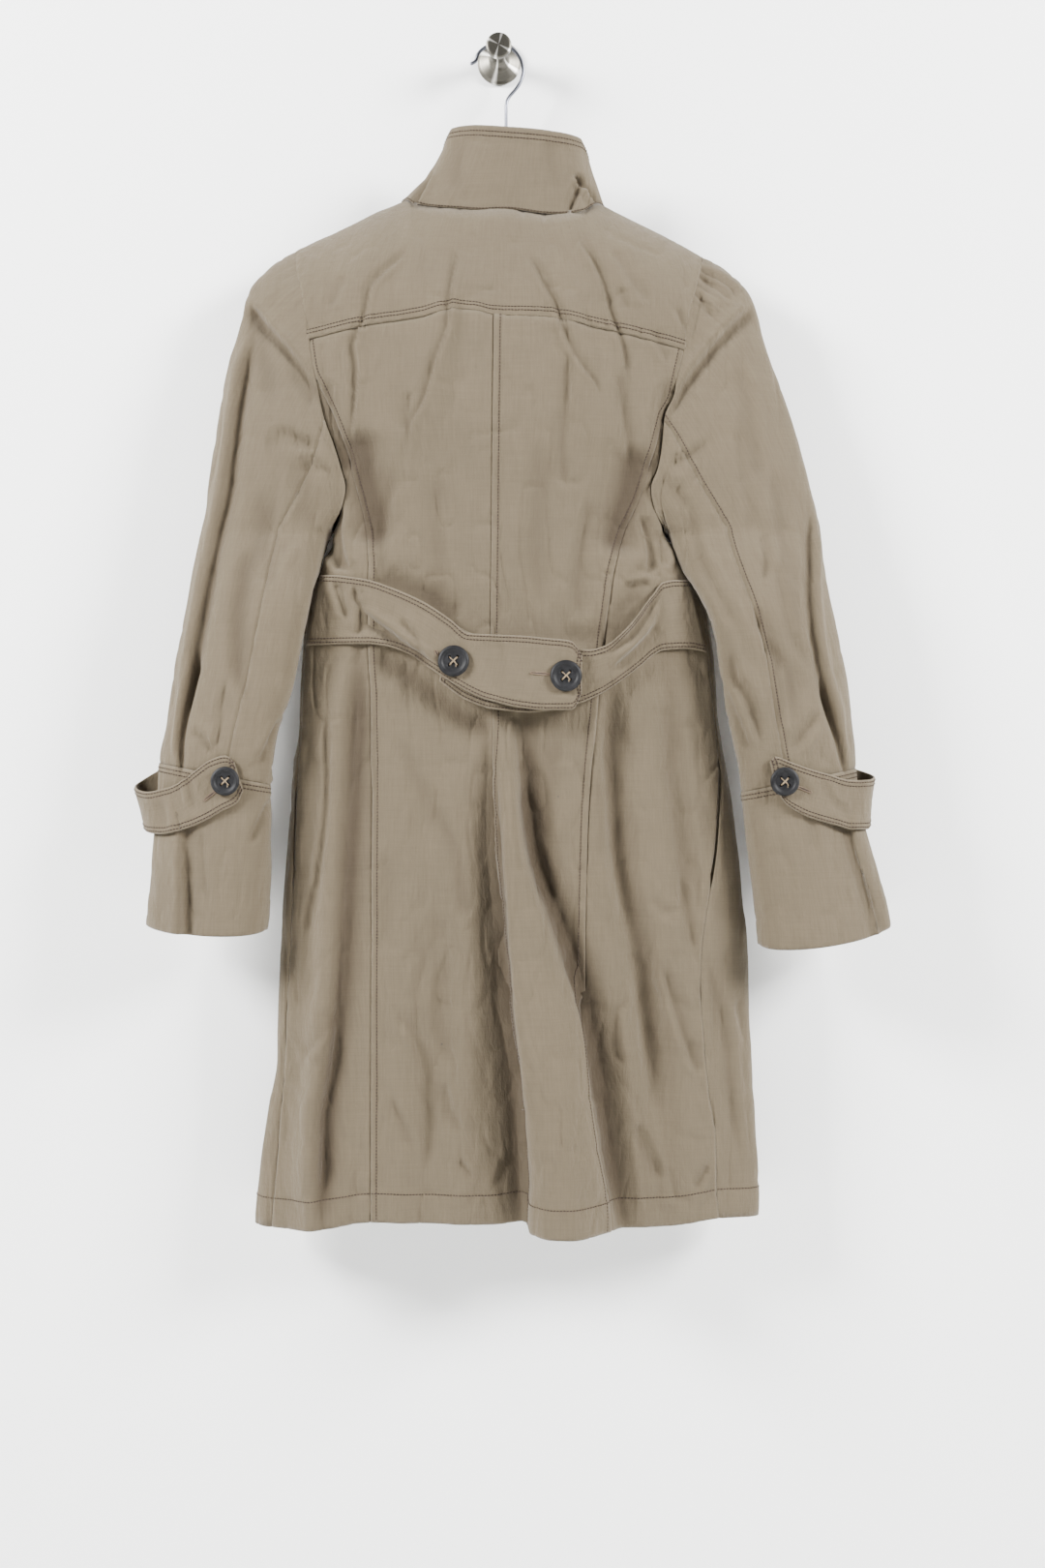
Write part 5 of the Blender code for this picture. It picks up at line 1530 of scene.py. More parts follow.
def back_form(x, drop, along):
    """Relief and painted shade of the body: the back's creases, and weaker shifted ones where it
    faces the wall.
    """
    seen = ramp(-along[..., 1], -0.15, 0.4)
    near, near_dark = creases(BACK_CREASES, x, drop)
    far, far_dark = creases(BACK_CREASES, -x, drop + HIDDEN_SHIFT)
    height = (near + rumple(x, drop)) * seen
    height = height + (HIDDEN_SHARE * far + rumple(x, drop, 40)) * (1 - seen)
    belt_zone = window(drop, *BELT_ZONE) * ramp(np.abs(x), *BELT_SIDE) * seen
    height = height - belt_zone * np.maximum(height - 0.3, 0)
    height = height * (1 - RIDGE_CALM * ramp(along[..., 2], 0.35, 0.85))
    # Painted shade of the creases, weaker where the body faces the wall
    return height, near_dark * seen + far_dark * (1 - seen) * HIDDEN_SHARE


def sleeve_form(side):
    """Relief and painted shade of a sleeve or cuff, by the side that faces the viewer or the wall.
    """
    rows = SLEEVE_CREASES[side]

    def form(x, drop, along):
        seen = ramp(-along[..., 1], -0.1, 0.45)
        near, near_dark = creases(rows, x, drop)
        far, _ = creases(rows, x, drop + HIDDEN_SHIFT)
        height = (near + 0.8 * rumple(x, drop, 21)) * seen
        height = height + (HIDDEN_SHARE * far + rumple(x, drop, 61)) * (1 - seen)
        tab_zone = window(drop, *TAB_ZONE)
        height = height - tab_zone * np.maximum(height - 0.4, 0)
        return height, near_dark * seen
    return form


def still(x, drop, along):
    """Relief of a narrow piece: fine unevenness alone."""
    return 0.25 * rumple(1.6 * x, 1.6 * drop, 90), np.zeros(x.shape)


def neck_tuck(depth_down):
    """How far a neckline runs on under the collar, and stops short at the shoulder seam."""
    return SEAM_GAP / 2 + NECK_TUCK * ramp(depth_down, *NECK_REACH)


def panel(name, edges, kinds, gaps=None, lap=None):
    """A piece of body cloth inside four seams, as its solid, with finer stations."""
    ring, depth_down = patch(*edges)
    drop = -body(ring, depth_down)[..., 2]
    widths = {edge: SEAM_GAP / 2 + EDGES[kind][4] for edge, kind in kinds.items()}
    for edge, gap in (gaps or {}).items():
        widths[edge] = gap(depth_down[0]) if edge == "top" else (
            gap(drop[:, 0 if edge == "left" else -1]))
    ring, depth_down = pull_in(body, ring, depth_down, **widths)

    tucked = ramp(depth_down[:1], *NECK_REACH) if "top" in (gaps or {}) else 0.0
    sink = NECK_SINK * tucked * (1 - ramp(depth_down - depth_down[:1], *NECK_FADE))

    def form(x, drop, along):
        height, shade = back_form(x, drop, along)
        return height - sink + (lap(x) if lap else 0.0), shade
    add_cloth(name, body, ring, depth_down, -1, kinds, form, straight_grain)


# Steps between the shared stations of the seams
SEAM_STEPS = 12
YOKE_DOWN_STEPS = 10
ACROSS_STEPS = 7
SIDE_STEPS = 6
FRONT_DOWN_STEPS = 5
SLEEVE_ACROSS_STEPS = 6
SLEEVE_DOWN_STEPS = 16
SLEEVE_ROUND = 145.0
CUFF_ACROSS = 132
CUFF_DOWN = 52
COLLAR_ACROSS = 168
COLLAR_UP = 40
COLLAR_TUCK = -0.012
COLLAR_SHELL = 1.8
COLLAR_ROUND = 65.0
STRAP_FOLLOW = 0.8
STRAP_RIM = np.array((0, 0.004, 0.011, 0.02))
TAB_DEEPEST = -0.9
FACING_ACROSS = 13
FACING_DOWN = 60
GATHERS = {"left": (0.6, 10.5), "right": (1.4, 9.5)}
GATHER_END = 0.26
GATHER_REACH = 20.0

# Straps: their table, surface and creases, and how many points run along and across them
STRAPS = {
    "belt_cloth_left": (BELT_LEFT, belt_surface(BELT_LEFT), BELT_CREASES, 116, 26),
    "belt_cloth_right": (BELT_RIGHT, belt_surface(BELT_RIGHT), BELT_CREASES, 116, 26),
    "tab_cloth_left": (TAB_LEFT, tab_surface("left", TAB_LEFT), TAB_CREASES["left"], 84, 18),
    "tab_cloth_right": (TAB_RIGHT, tab_surface("right", TAB_RIGHT), TAB_CREASES["right"], 84, 18),
}


def make_yoke():
    """Back yoke: its lower edge lies over the backs, with two rows of stitches."""
    neck = neck_places(np.radians(NECK_TURNS))
    place = np.concatenate([np.linspace(TIP_LEFT, NECK_LEFT, SHOULDER_COLUMNS + 1), neck[1:-1],
                            np.linspace(NECK_RIGHT, TIP_RIGHT, SHOULDER_COLUMNS + 1)])
    place = finer(place, ACROSS_STEPS)
    top = place, back_neck_down(place)
    bottom = level(YOKE_SEAM, finer(YOKE_X, ACROSS_STEPS))
    sides = [seam(ARMHOLE[side])(finer(armhole_drops(side)[:YOKE_ROWS + 1], YOKE_DOWN_STEPS))
             for side in SIGN]
    panel("yoke_cloth", (top, bottom, *sides),
          {"top": "plain", "bottom": "over", "left": "armhole", "right": "armhole"},
          gaps={"top": neck_tuck})


def make_backs():
    """Centre backs over the side backs, and the right centre back over the left one."""
    def hem_point(rows):
        x = rows["x"][-1]
        return x, float(line(BACK_HEM, "x", "drop")(x))

    centre_x, centre_hem = hem_point(CENTRE_BACK)
    yoke_centre = CENTRE_BACK["drop"][0]
    centre = seam(CENTRE_BACK)(finer(body_drops(yoke_centre, centre_hem), SEAM_STEPS))
    for side in SIGN:
        is_left = side == "left"
        inner_x, inner_hem = hem_point(SIDE_BACK[side])
        side_x, side_hem = hem_point(SIDE[side])
        inner_seam = seam(SIDE_BACK[side])
        outer_seam = joined(seam(ARMHOLE[side]), seam(SIDE[side]), UNDERARM)
        yoke_x = YOKE_X[YOKE_X <= CENTRE_BACK["x"][0]] if is_left else (
            YOKE_X[YOKE_X >= CENTRE_BACK["x"][0]])
        yoke_x = finer(yoke_x, ACROSS_STEPS)
        top = level(YOKE_SEAM, yoke_x)
        ends = (inner_x, centre_x) if is_left else (centre_x, inner_x)
        bottom = level(BACK_HEM, np.linspace(*ends, len(yoke_x)))
        yoke_end = armhole_drops(side)[YOKE_ROWS]
        split = SIDE_BACK[side]["drop"][0]
        drops = finer(body_drops(yoke_end, inner_hem), SEAM_STEPS)
        outer = joined(seam(ARMHOLE[side]), inner_seam, split)(drops)
        kinds = {"top": "under", "bottom": "hem", side: "over",
                 "right" if is_left else "left": "under" if is_left else "over"}
        panel("centre_cloth_" + side,
              (top, bottom) + ((outer, centre) if is_left else (centre, outer)), kinds,
              gaps={side: back_gap(split)})

        start = ROWS[ROWS > split][0]
        outer = outer_seam(finer(body_drops(start, side_hem), SEAM_STEPS))
        inner = inner_seam(finer(body_drops(start, inner_hem), SEAM_STEPS))
        first, last = (outer, inner) if is_left else (inner, outer)
        share = np.linspace(0, 1, SIDE_COLUMNS * SIDE_STEPS + 1)
        top = tuple(a[0] + share * (b[0] - a[0]) for a, b in zip(first, last))
        ends = (side_x, inner_x) if is_left else (inner_x, side_x)
        bottom = level(BACK_HEM, np.linspace(*ends, len(share)))
        kinds = {"top": "plain", "bottom": "hem", side: "plain",
                 "right" if is_left else "left": "under"}
        panel("side_cloth_" + side, (top, bottom, first, last), kinds,
              gaps={side: side_gap(side)})


def make_fronts():
    """Fronts from the shoulder seams to the hem, wrapping round to the side seams."""
    for side, sign, tip, neck in (("right", 1, TIP_RIGHT, NECK_RIGHT),
                                  ("left", -1, TIP_LEFT, NECK_LEFT)):
        turns = sign * np.radians(FRONT_TURNS)
        place = np.concatenate([np.linspace(tip, neck, SHOULDER_COLUMNS + 1),
                                neck_places(turns)[1:]])
        place = finer(place, ACROSS_STEPS)
        top = 2 - place, front_neck_down(place)
        face = on_back if side == "right" else round_left
        side_hem = float(line(BACK_HEM, "x", "drop")(SIDE[side]["x"][-1]))
        outer_seam = joined(seam(ARMHOLE[side], on_front), seam(SIDE[side], face), UNDERARM)
        yoke_end = armhole_drops(side)[YOKE_ROWS]
        drops = finer(np.concatenate([armhole_drops(side)[:YOKE_ROWS],
                                      body_drops(yoke_end, side_hem)]), FRONT_DOWN_STEPS)
        outer = outer_seam(drops)
        edge_down = np.linspace(top[1][-1], float(down(place[-1], FRONT_HEM)), len(drops))
        edge = np.full(len(drops), top[0][-1]), edge_down
        share = np.linspace(0, 1, len(place)) ** SIDE_CROWDING
        hem_ring = outer[0][-1] + share * (edge[0][-1] - outer[0][-1])
        hem_drop = side_hem + share * (FRONT_HEM - side_hem)
        hem_place = np.where(hem_ring > 1, 2 - hem_ring, hem_ring)
        bottom = hem_ring, down(hem_place, hem_drop)
        near, far = ("left", "right") if side == "right" else ("right", "left")
        kinds = {"top": "plain", "bottom": "hem", near: "plain", far: "edge"}
        gaps = {near: side_gap(side), "top": neck_tuck}
        if side == "right":
            panel("front_cloth_right", (top, bottom, outer, edge), kinds, gaps,
                  lap=lambda x: LAP_RISE * (1 - ramp(x, LAP_END, LAP_END + LAP_FADE)))
        else:
            turned_top, turned_bottom = (tuple(values[::-1] for values in edge_pair)
                                         for edge_pair in (top, bottom))
            panel("front_cloth_left", (turned_top, turned_bottom, edge, outer), kinds, gaps)


def make_collar():
    """Stand collar, from the neckline up, its ends meeting at the centre front."""
    turns = np.linspace(-math.pi + COLLAR_OPEN, math.pi - COLLAR_OPEN, COLLAR_ACROSS)
    turn, height = np.meshgrid(turns, np.linspace(COLLAR_TUCK, 1.0, COLLAR_UP))

    def form(x, drop, along):
        seen = ramp(-along[..., 1], -0.2, 0.3)
        rise, shade = creases(COLLAR_CREASES, x, drop)
        # The creases also paint shade into the collar's colour, on the side in view
        return rise * seen + 0.35 * rumple(x, drop, 77), shade * seen

    add_cloth("collar_cloth", collar_surface, turn, height, 1,
              {"top": "close", "bottom": "edge", "left": "edge", "right": "edge"},
              form, tube_grain(COLLAR_ROUND), wall=COLLAR_SHELL)


def make_sleeve(side):
    """Top sleeve, under sleeve and cuff of one arm, gathered at the sleeve head."""
    surface = sleeve_surface(side)
    tip = ARMHOLE[side]["drop"][0]
    seam_places = (armhole_drops(side) - tip) / (UNDERARM - tip)
    split = int(np.argmin(np.abs(seam_places - ELBOW_TOP)))
    gather_height, gather_pitch = GATHERS[side]
    creased = sleeve_form(side)
    elbow = "faint" if side == "left" else "close"
    rim = SEAM_GAP / 2 + EDGES[elbow][4]

    kinds = {"top": "armhole", "bottom": "under", "left": elbow, "right": elbow}

    def piece(name, places, first, last, gathered):
        v = finer(SLEEVE_ROWS, SLEEVE_DOWN_STEPS)[:, None]
        fine_places = finer(places, SLEEVE_ACROSS_STEPS)
        lower = first + (last - first) * shares(fine_places)[None, :]
        s = fine_places[None, :] + (lower - fine_places[None, :]) * ramp(v, 0, ELBOW_SETTLE)
        v = np.broadcast_to(v, s.shape)
        s, v = pull_in(surface, s, v, top=EDGES["armhole"][4] + SEAM_GAP / 2,
                       bottom=EDGES["under"][4], left=rim, right=rim)
        arc = fine_places * (UNDERARM - tip)
        head = 1 - ramp(np.abs(fine_places), GATHER_END * 0.6, GATHER_END)
        wave = np.cos(2 * math.pi * arc / gather_pitch + 2.2 * value_noise(arc / 17, 0 * arc, 8))
        top = surface(s, v)
        fall = np.linalg.norm(top - top[:1], axis=-1)
        puffs = gather_height * head * wave * np.exp(-fall / GATHER_REACH) * ramp(fall, 0, 3)

        def form(x, drop, along):
            rise, shade = creased(x, drop, along)
            # Painted shade: the colour is darkened in the troughs of the gathers
            dark = np.clip(-puffs / 1.3, 0, 1) * 0.7
            return (rise + puffs, shade + dark) if gathered else (rise, shade)
        add_cloth(name, surface, s, v, SIGN[side], kinds, form, tube_grain(SLEEVE_ROUND))

    upper, lower = seam_places[:split + 1], seam_places[split:]
    piece("top_sleeve_cloth_" + side, np.concatenate([-upper[::-1], upper[1:]]),
          -ELBOW_PLACE, ELBOW_PLACE, True)
    piece("under_sleeve_cloth_" + side, np.concatenate([lower, 2 - lower[::-1][1:]]),
          ELBOW_PLACE, 2 - ELBOW_PLACE, False)

    s, v = np.meshgrid(np.linspace(-1, 1, CUFF_ACROSS + 1)[:-1], np.linspace(1, 2, CUFF_DOWN))
    along_down = np.linalg.norm(slopes(surface, s, v)[1], axis=-1)
    v[0] += EDGES["over"][4] / along_down[0]
    v[-1] -= SEAM_GAP / 2 / along_down[-1]
    add_cloth("cuff_cloth_" + side, surface, s, v, SIGN[side],
              {"top": "over", "bottom": "hem"}, creased, tube_grain(SLEEVE_ROUND), closed=True)


def strap_normals(name, along, over, step=0.01):
    """A strap's unit normals away from the coat, from slopes taken inside its edges."""
    rows, surface = STRAPS[name][:2]
    a = np.clip(along, step, len(rows["lift_top"]) - 1 - step)
    b = np.clip(over, step, 1 - step)
    normal = unit(np.cross(surface(a + step, b) - surface(a - step, b),
                           surface(a, b + step) - surface(a, b - step)))
    return normal * SIGN[name.rsplit("_", 1)[1]]


def strap_places(count):
    """Places across a strap from 0 to 1, crowded at both edges for its rounding."""
    return np.concatenate([STRAP_RIM, np.linspace(0.032, 0.968, count), 1 - STRAP_RIM[::-1]])


def make_strap(name):
    """A strap of even wall with rounded edges, creased and puckered at its stitches."""
    rows, surface, crease_rows, along_count, over_count = STRAPS[name]
    length = len(rows["lift_top"]) - 1
    along, over = np.meshgrid(strap_places(along_count) * length, strap_places(over_count),
                              indexing="ij")
    inner_face = surface(along, over)
    out = strap_normals(name, along, over)
    reach, across_cloth, down_cloth = edge_reach(inner_face)
    gap = np.minimum.reduce(list(reach.values()))
    half = BELT_WALL / 2 * np.sqrt(1 - (1 - np.clip(gap / BELT_EDGE_ROUND, 0, 1)) ** 2)
    half = np.maximum(half, 0.1)
    kinds = {edge: "edge" for edge in ("left", "right", "top", "bottom")}
    rim, worn = edge_relief(reach, across_cloth, down_cloth, kinds, len(name))
    x, drop = inner_face[..., 0], -inner_face[..., 2]
    # The creases also paint shade into the strap's colour
    rise, shade = creases(crease_rows, x, drop)
    relief = 0.6 * rim * ramp(gap, 0.5, 2.5) + rise + 0.3 * rumple(2 * x, 2 * drop, 33)
    relief = np.maximum(relief, TAB_DEEPEST) if name.startswith("tab") else relief
    middle = inner_face + out * BELT_WALL / 2
    outer = middle + out * (half + relief)[..., None]
    inner = middle - out * (half - np.minimum(relief, 0) * STRAP_FOLLOW)[..., None]
    cloth_uv = np.stack([across_cloth, -down_cloth], axis=-1)
    shell(name, outer, inner, cloth_uv, worn, shade, out, reach)


def make_facings():
    """A strip of cloth behind each pocket slit."""
    for side in SIGN:
        start, end = POCKET[side]
        drop = np.linspace(start - FACING_SPARE, end + FACING_SPARE, FACING_DOWN)[:, None]
        x = line(SIDE[side], "drop", "x")(drop)
        place, depth_down = on_back(x, drop)
        reach = np.linspace(-1, 1, FACING_ACROSS)[None, :] * FACING_HALF_WIDTH
        ring = place + reach / np.linalg.norm(slopes(body, place, depth_down)[0], axis=-1)
        depth_down = depth_down + 0 * ring

        def form(x, drop, along):
            height, shade = still(x, drop, along)
            return height - CLOTH - FACING_GAP, shade
        add_cloth("facing_cloth_" + side, body, ring, depth_down, -1,
                  {"left": "plain", "right": "plain"}, form, straight_grain)


STITCH_PITCH = 3.0
STITCH_LENGTH = 2.4
STITCH_RADIUS = 0.58
STITCH_SIDES = 4
STITCH_LIFT = 0.12
STITCH_RINGS = np.array((-0.97, -0.6, 0.6, 0.97))
STITCH_GROUPS = {
    "stitches_yoke": (
        ("yoke_cloth", "bottom", 5.5), ("yoke_cloth", "bottom", 8.8), ("collar_cloth", "top", 1.2),
        ("collar_cloth", "bottom", 5.2), ("collar_cloth", "bottom", 9.4),
    ),
    "stitches_back": (
        ("centre_cloth_right", "left", 6.0),
        ("centre_cloth_left", "left", 5.4), ("centre_cloth_right", "right", 6.4),
        ("centre_cloth_left", "bottom", 27.0), ("centre_cloth_right", "bottom", 27.0),
        ("side_cloth_left", "bottom", 27.0), ("side_cloth_right", "bottom", 27.0),
    ),
    "stitches_front": (
        ("front_cloth_left", "bottom", 27.0), ("front_cloth_right", "bottom", 27.0),
        ("front_cloth_right", "right", 6.0), ("front_cloth_right", "right", 9.5),
    ),
    "stitches_sleeve_left": (
        ("cuff_cloth_left", "top", 3.6), ("cuff_cloth_left", "top", 7.4),
    ),
    "stitches_sleeve_right": (
        ("cuff_cloth_right", "top", 3.6), ("cuff_cloth_right", "top", 7.4),
        ("top_sleeve_cloth_right", "right", 5.0),
    ),
    "stitches_straps": tuple(
        (name, edge, gap) for name in ("belt_cloth_left", "belt_cloth_right", "tab_cloth_left",
                                       "tab_cloth_right")
        for edge, gap in (("left", 2.2), ("left", 5.8), ("right", 2.2), ("right", 5.8),
                          ("bottom", 2.2), ("bottom", 5.8))
    ),
}


def seam_row(name, edge, gap):
    """Points and normals on a cloth at a distance from one of its edges, from end to end."""
    cloth = CLOTHS[name]
    points, normal, reach = cloth["points"], cloth["normal"], cloth["reach"][edge]
    if edge in ("top", "bottom"):
        points, normal, reach = (np.swapaxes(grid, 0, 1) for grid in (points, normal, reach))
    if edge in ("right", "bottom"):
        points, normal, reach = points[:, ::-1], normal[:, ::-1], reach[:, ::-1]
    row = np.arange(len(reach))
    after = np.clip(np.sum(reach < gap, axis=1), 1, reach.shape[1] - 1)
    start, end = reach[row, after - 1], reach[row, after]
    share = np.clip((gap - start) / (end - start), 0, 1)[:, None]

    def between(grid):
        return grid[row, after - 1] * (1 - share) + grid[row, after] * share
    return between(points), between(normal)


def spaced(points, normal, pitch):
    """Points, directions and normals at even steps along a line of points."""
    total = travelled(points)
    at = np.arange(pitch / 2, total[-1] - pitch / 2, pitch)

    def value(grid, where):
        return np.stack([np.interp(where, total, grid[:, k]) for k in range(3)], axis=-1)
    ahead = unit(value(points, at + pitch / 3) - value(points, at - pitch / 3))
    return value(points, at), ahead, value(normal, at)


def threads(centre, ahead, up):
    """Short round threads with rounded ends, one for each centre.

    Each is rings of points at places t along it, from -1 to 1, of radius (1 - t^4)^(1/2).
    """
    up = unit(up - ahead * np.sum(up * ahead, axis=1, keepdims=True))
    side = np.cross(ahead, up)
    angle = full_turn(STITCH_SIDES)[None, :, None]
    wide = STITCH_RADIUS * np.sqrt(1 - STITCH_RINGS ** 4)
    ring = np.cos(angle) * side[:, None, :] + np.sin(angle) * up[:, None, :]
    points = (centre[:, None, None, :] + wide[None, :, None, None] * ring[:, None]
              + (STITCH_RINGS * STITCH_LENGTH / 2)[None, :, None, None] * ahead[:, None, None, :])
    count = len(STITCH_RINGS) * STITCH_SIDES
    start = np.arange(len(centre))[:, None] * count
    quads = grid_faces(len(STITCH_RINGS), STITCH_SIDES, closed=True)
    cap = np.arange(STITCH_SIDES)[None]
    faces = np.concatenate([(quads[None] + start[:, None]).reshape(-1, 4), cap[:, ::-1] + start,
                            cap + start + count - STITCH_SIDES])
    return points.reshape(-1, 3), faces.tolist()


def make_stitches():
    """All rows of topstitching, grouped by the part of the coat."""
    for name, rows in STITCH_GROUPS.items():
        parts = [spaced(*seam_row(*row), STITCH_PITCH) for row in rows]
        centre, ahead, up = (np.concatenate(columns) for columns in zip(*parts))
        face_outward(feed_mesh(name, *threads(centre + up * STITCH_LIFT, ahead, up)))


# A button's face and back, turned: share of its radius and height above its seat
BUTTON_FACE = table("share height", (
    (0.0, 2.5),
    (0.55, 2.6),
    (0.66, 2.9),
    (0.74, 4.0),
    (0.84, 4.35),
    (0.93, 3.9),
    (1.0, 2.6),
))
BUTTON_BACK = table("share height", (
    (0.985, 1.4),
    (0.93, 0.5),
    (0.8, 0.05),
    (0.4, 0.0),
    (0.05, 0.0),
))
BUTTON_AROUND = 72
HOLE_PLACE = 0.128125
HOLE_RADIUS = 1.35
HOLE_DEPTH = 2.4
THREAD_RADIUS = 0.3
THREAD_SHIFT = 0.245
THREAD_SEAT = 2.9
TAIL = ((0.4, 0.6, 0.5), (1.6, -1.2, 1.3), (2.6, -3.4, 1.1), (2.4, -5.6, 0.5))

# Buttonholes: strap, place along and across it, length and tilt
BUTTONHOLES = (
    ("belt_cloth_left", 6.05, 0.68, 5.2, -0.35),
    ("belt_cloth_left", 9.8, 0.50, 18.0, 0.0),
    ("tab_cloth_left", 7.62, 0.62, 15.0, 0.1),
    ("tab_cloth_right", 7.55, 0.47, 15.0, 0.0),
)
BUTTONHOLE_WIDTH = 2.6
BUTTONHOLE_CORD = 0.6
BUTTONHOLE_STEPS = 140
CORD_SIDES = 8
WIRE_STEPS = 150
ROD_SIDES = 20
ROD_END = 0.55
ARM_STEPS = 60
HOOK_AROUND = 96
HOOK_STEPS = 110
HOOK_PROFILE = table("depth radius", (
    (0.0, ROSE_RADIUS - 0.5),
    (0.4, ROSE_RADIUS),
    (2.2, ROSE_RADIUS),
    (2.8, ROSE_RADIUS - 0.5),
    (4.6, ROSE_RADIUS - 2.6),
    (5.6, ROSE_RADIUS - 4.6),
    (7.2, ROSE_RADIUS - 7.6),
    (9.5, 9.6),
    (13.5, 7.3),
    (19.0, 6.2),
    (30.0, 6.2),
    (33.5, 7.0),
    (36.0, 9.0),
    (38.4, 11.0),
    (40.2, HEAD_RADIUS),
    (41.2, HEAD_RADIUS),
    (43.6, HEAD_RADIUS),
    (44.5, HEAD_RADIUS - 0.5),
    (45.0, HEAD_RADIUS - 1.6),
))


def capped(name, *grids, sharp=True):
    """One mesh from stacks of rings of points, each stack closed by a flat face at both ends."""
    points, faces, start = [], [], 0
    for grid in grids:
        rows, columns = grid.shape[:2]
        end = start + np.arange(columns)
        faces += grid_faces(rows, columns, closed=True, start=start).tolist()
        faces += [end[::-1].tolist(), (end + (rows - 1) * columns).tolist()]
        points.append(grid.reshape(-1, 3))
        start += rows * columns
    made = feed_mesh(name, np.concatenate(points), faces)
    face_outward(made)
    if sharp:
        made.data.set_sharp_from_angle(angle=math.radians(40))


def rod(name, rows, steps, half_depth, half_height):
    """A rod on a route near the XZ plane: ellipses square to it, smaller at its two ends."""
    points = route(rows, steps)
    tangent = unit(np.gradient(points, axis=0))
    up = unit(np.cross(tangent, np.array([0.0, 1.0, 0.0])))
    out = np.cross(up, tangent)
    angle = full_turn(ROD_SIDES)[None, :, None]
    size = np.ones((steps, 1, 1))
    size[[0, -1]] = ROD_END
    capped(name, points[:, None, :] + size * (half_depth * np.cos(angle) * out[:, None, :]
                                              + half_height * np.sin(angle) * up[:, None, :]))


def cord_rings(path, radius, sides, facing, closed=False):
    """Rings of points round a path, square to it; radius may be a number or a list."""
    tangent = unit(np.roll(path, -1, axis=0) - np.roll(path, 1, axis=0) if closed
                   else np.gradient(path, axis=0))
    beside = unit(np.cross(tangent, facing))
    over = np.cross(beside, tangent)
    angle = full_turn(sides)[None, :, None]
    size = np.broadcast_to(np.asarray(radius, float), (len(path),))[:, None, None]
    return path[:, None, :] + size * (np.cos(angle) * beside[:, None, :]
                                      + np.sin(angle) * over[:, None, :])


def button_frame(facing):
    """Two unit directions in a button's face, the second as near to up as can be."""
    side = unit(np.cross(np.array([0.0, 0.0, 1.0]), facing))
    return side, np.cross(facing, side)


def hole_places(width):
    """Centres of a button's four holes, on its own two axes."""
    return [(a * HOLE_PLACE * width, b * HOLE_PLACE * width) for a in (-1, 1) for b in (-1, 1)]


def make_button(name, centre, facing, width):
    """A dished four-hole button, turned from its profile.

    Each hole is sunk by depth * exp(-(distance / hole radius)^6).
    """
    side, up = button_frame(facing)
    share = np.concatenate([np.linspace(0.03, 0.62, 20), np.linspace(0.64, 1.0, 14)])
    height = line(BUTTON_FACE, "share", "height")(share)
    reach = width / 2 * np.concatenate([share, BUTTON_BACK["share"]])[:, None]
    angle = full_turn(BUTTON_AROUND)
    a, b = reach * np.cos(angle), reach * np.sin(angle)
    h = np.concatenate([height, BUTTON_BACK["height"]])[:, None] + 0 * angle
    for place_a, place_b in hole_places(width):
        near = np.hypot(a[:len(share)] - place_a, b[:len(share)] - place_b) / HOLE_RADIUS
        h[:len(share)] -= HOLE_DEPTH * np.exp(-near ** 6)
    capped(name, centre + a[..., None] * side + b[..., None] * up + h[..., None] * facing)


def make_thread(name, centre, facing, width):
    """Crossed threads through a button's holes, with a loose tail."""
    side, up = button_frame(facing)
    holes = hole_places(width)
    t = np.linspace(0, 1, 12)[:, None]
    arch = 3.0 + 0.55 * np.sin(math.pi * t) - 1.9 * (1 - np.sin(math.pi * t)) ** 4
    lines = []
    for (a0, b0), (a1, b1) in ((holes[0], holes[3]), (holes[1], holes[2])):
        for shift in (-THREAD_SHIFT, THREAD_SHIFT):
            a, b = a0 + (a1 - a0) * t + shift, b0 + (b1 - b0) * t - shift
            lines.append(centre + a * side + b * up + arch * facing)
    place = np.linspace(0, len(TAIL) - 1, 16)
    a, b, rise = (numbered(column)(place)[:, None] for column in zip(*TAIL))
    lines.append(centre + a * side + b * up + (THREAD_SEAT + rise) * facing)
    capped(name, *(cord_rings(path, THREAD_RADIUS, 6, facing) for path in lines), sharp=False)


def strap_point(name, along, over):
    """A point and frame on a strap's outer face: place, along, across and outward."""
    surface = STRAPS[name][1]
    a, b = np.array([[along]]), np.array([[over]])
    facing = strap_normals(name, a, b)[0, 0]
    ahead = unit((surface(a + 0.05, b) - surface(a - 0.05, b))[0, 0])
    return surface(a, b)[0, 0] + facing * BELT_WALL, ahead, np.cross(facing, ahead), facing


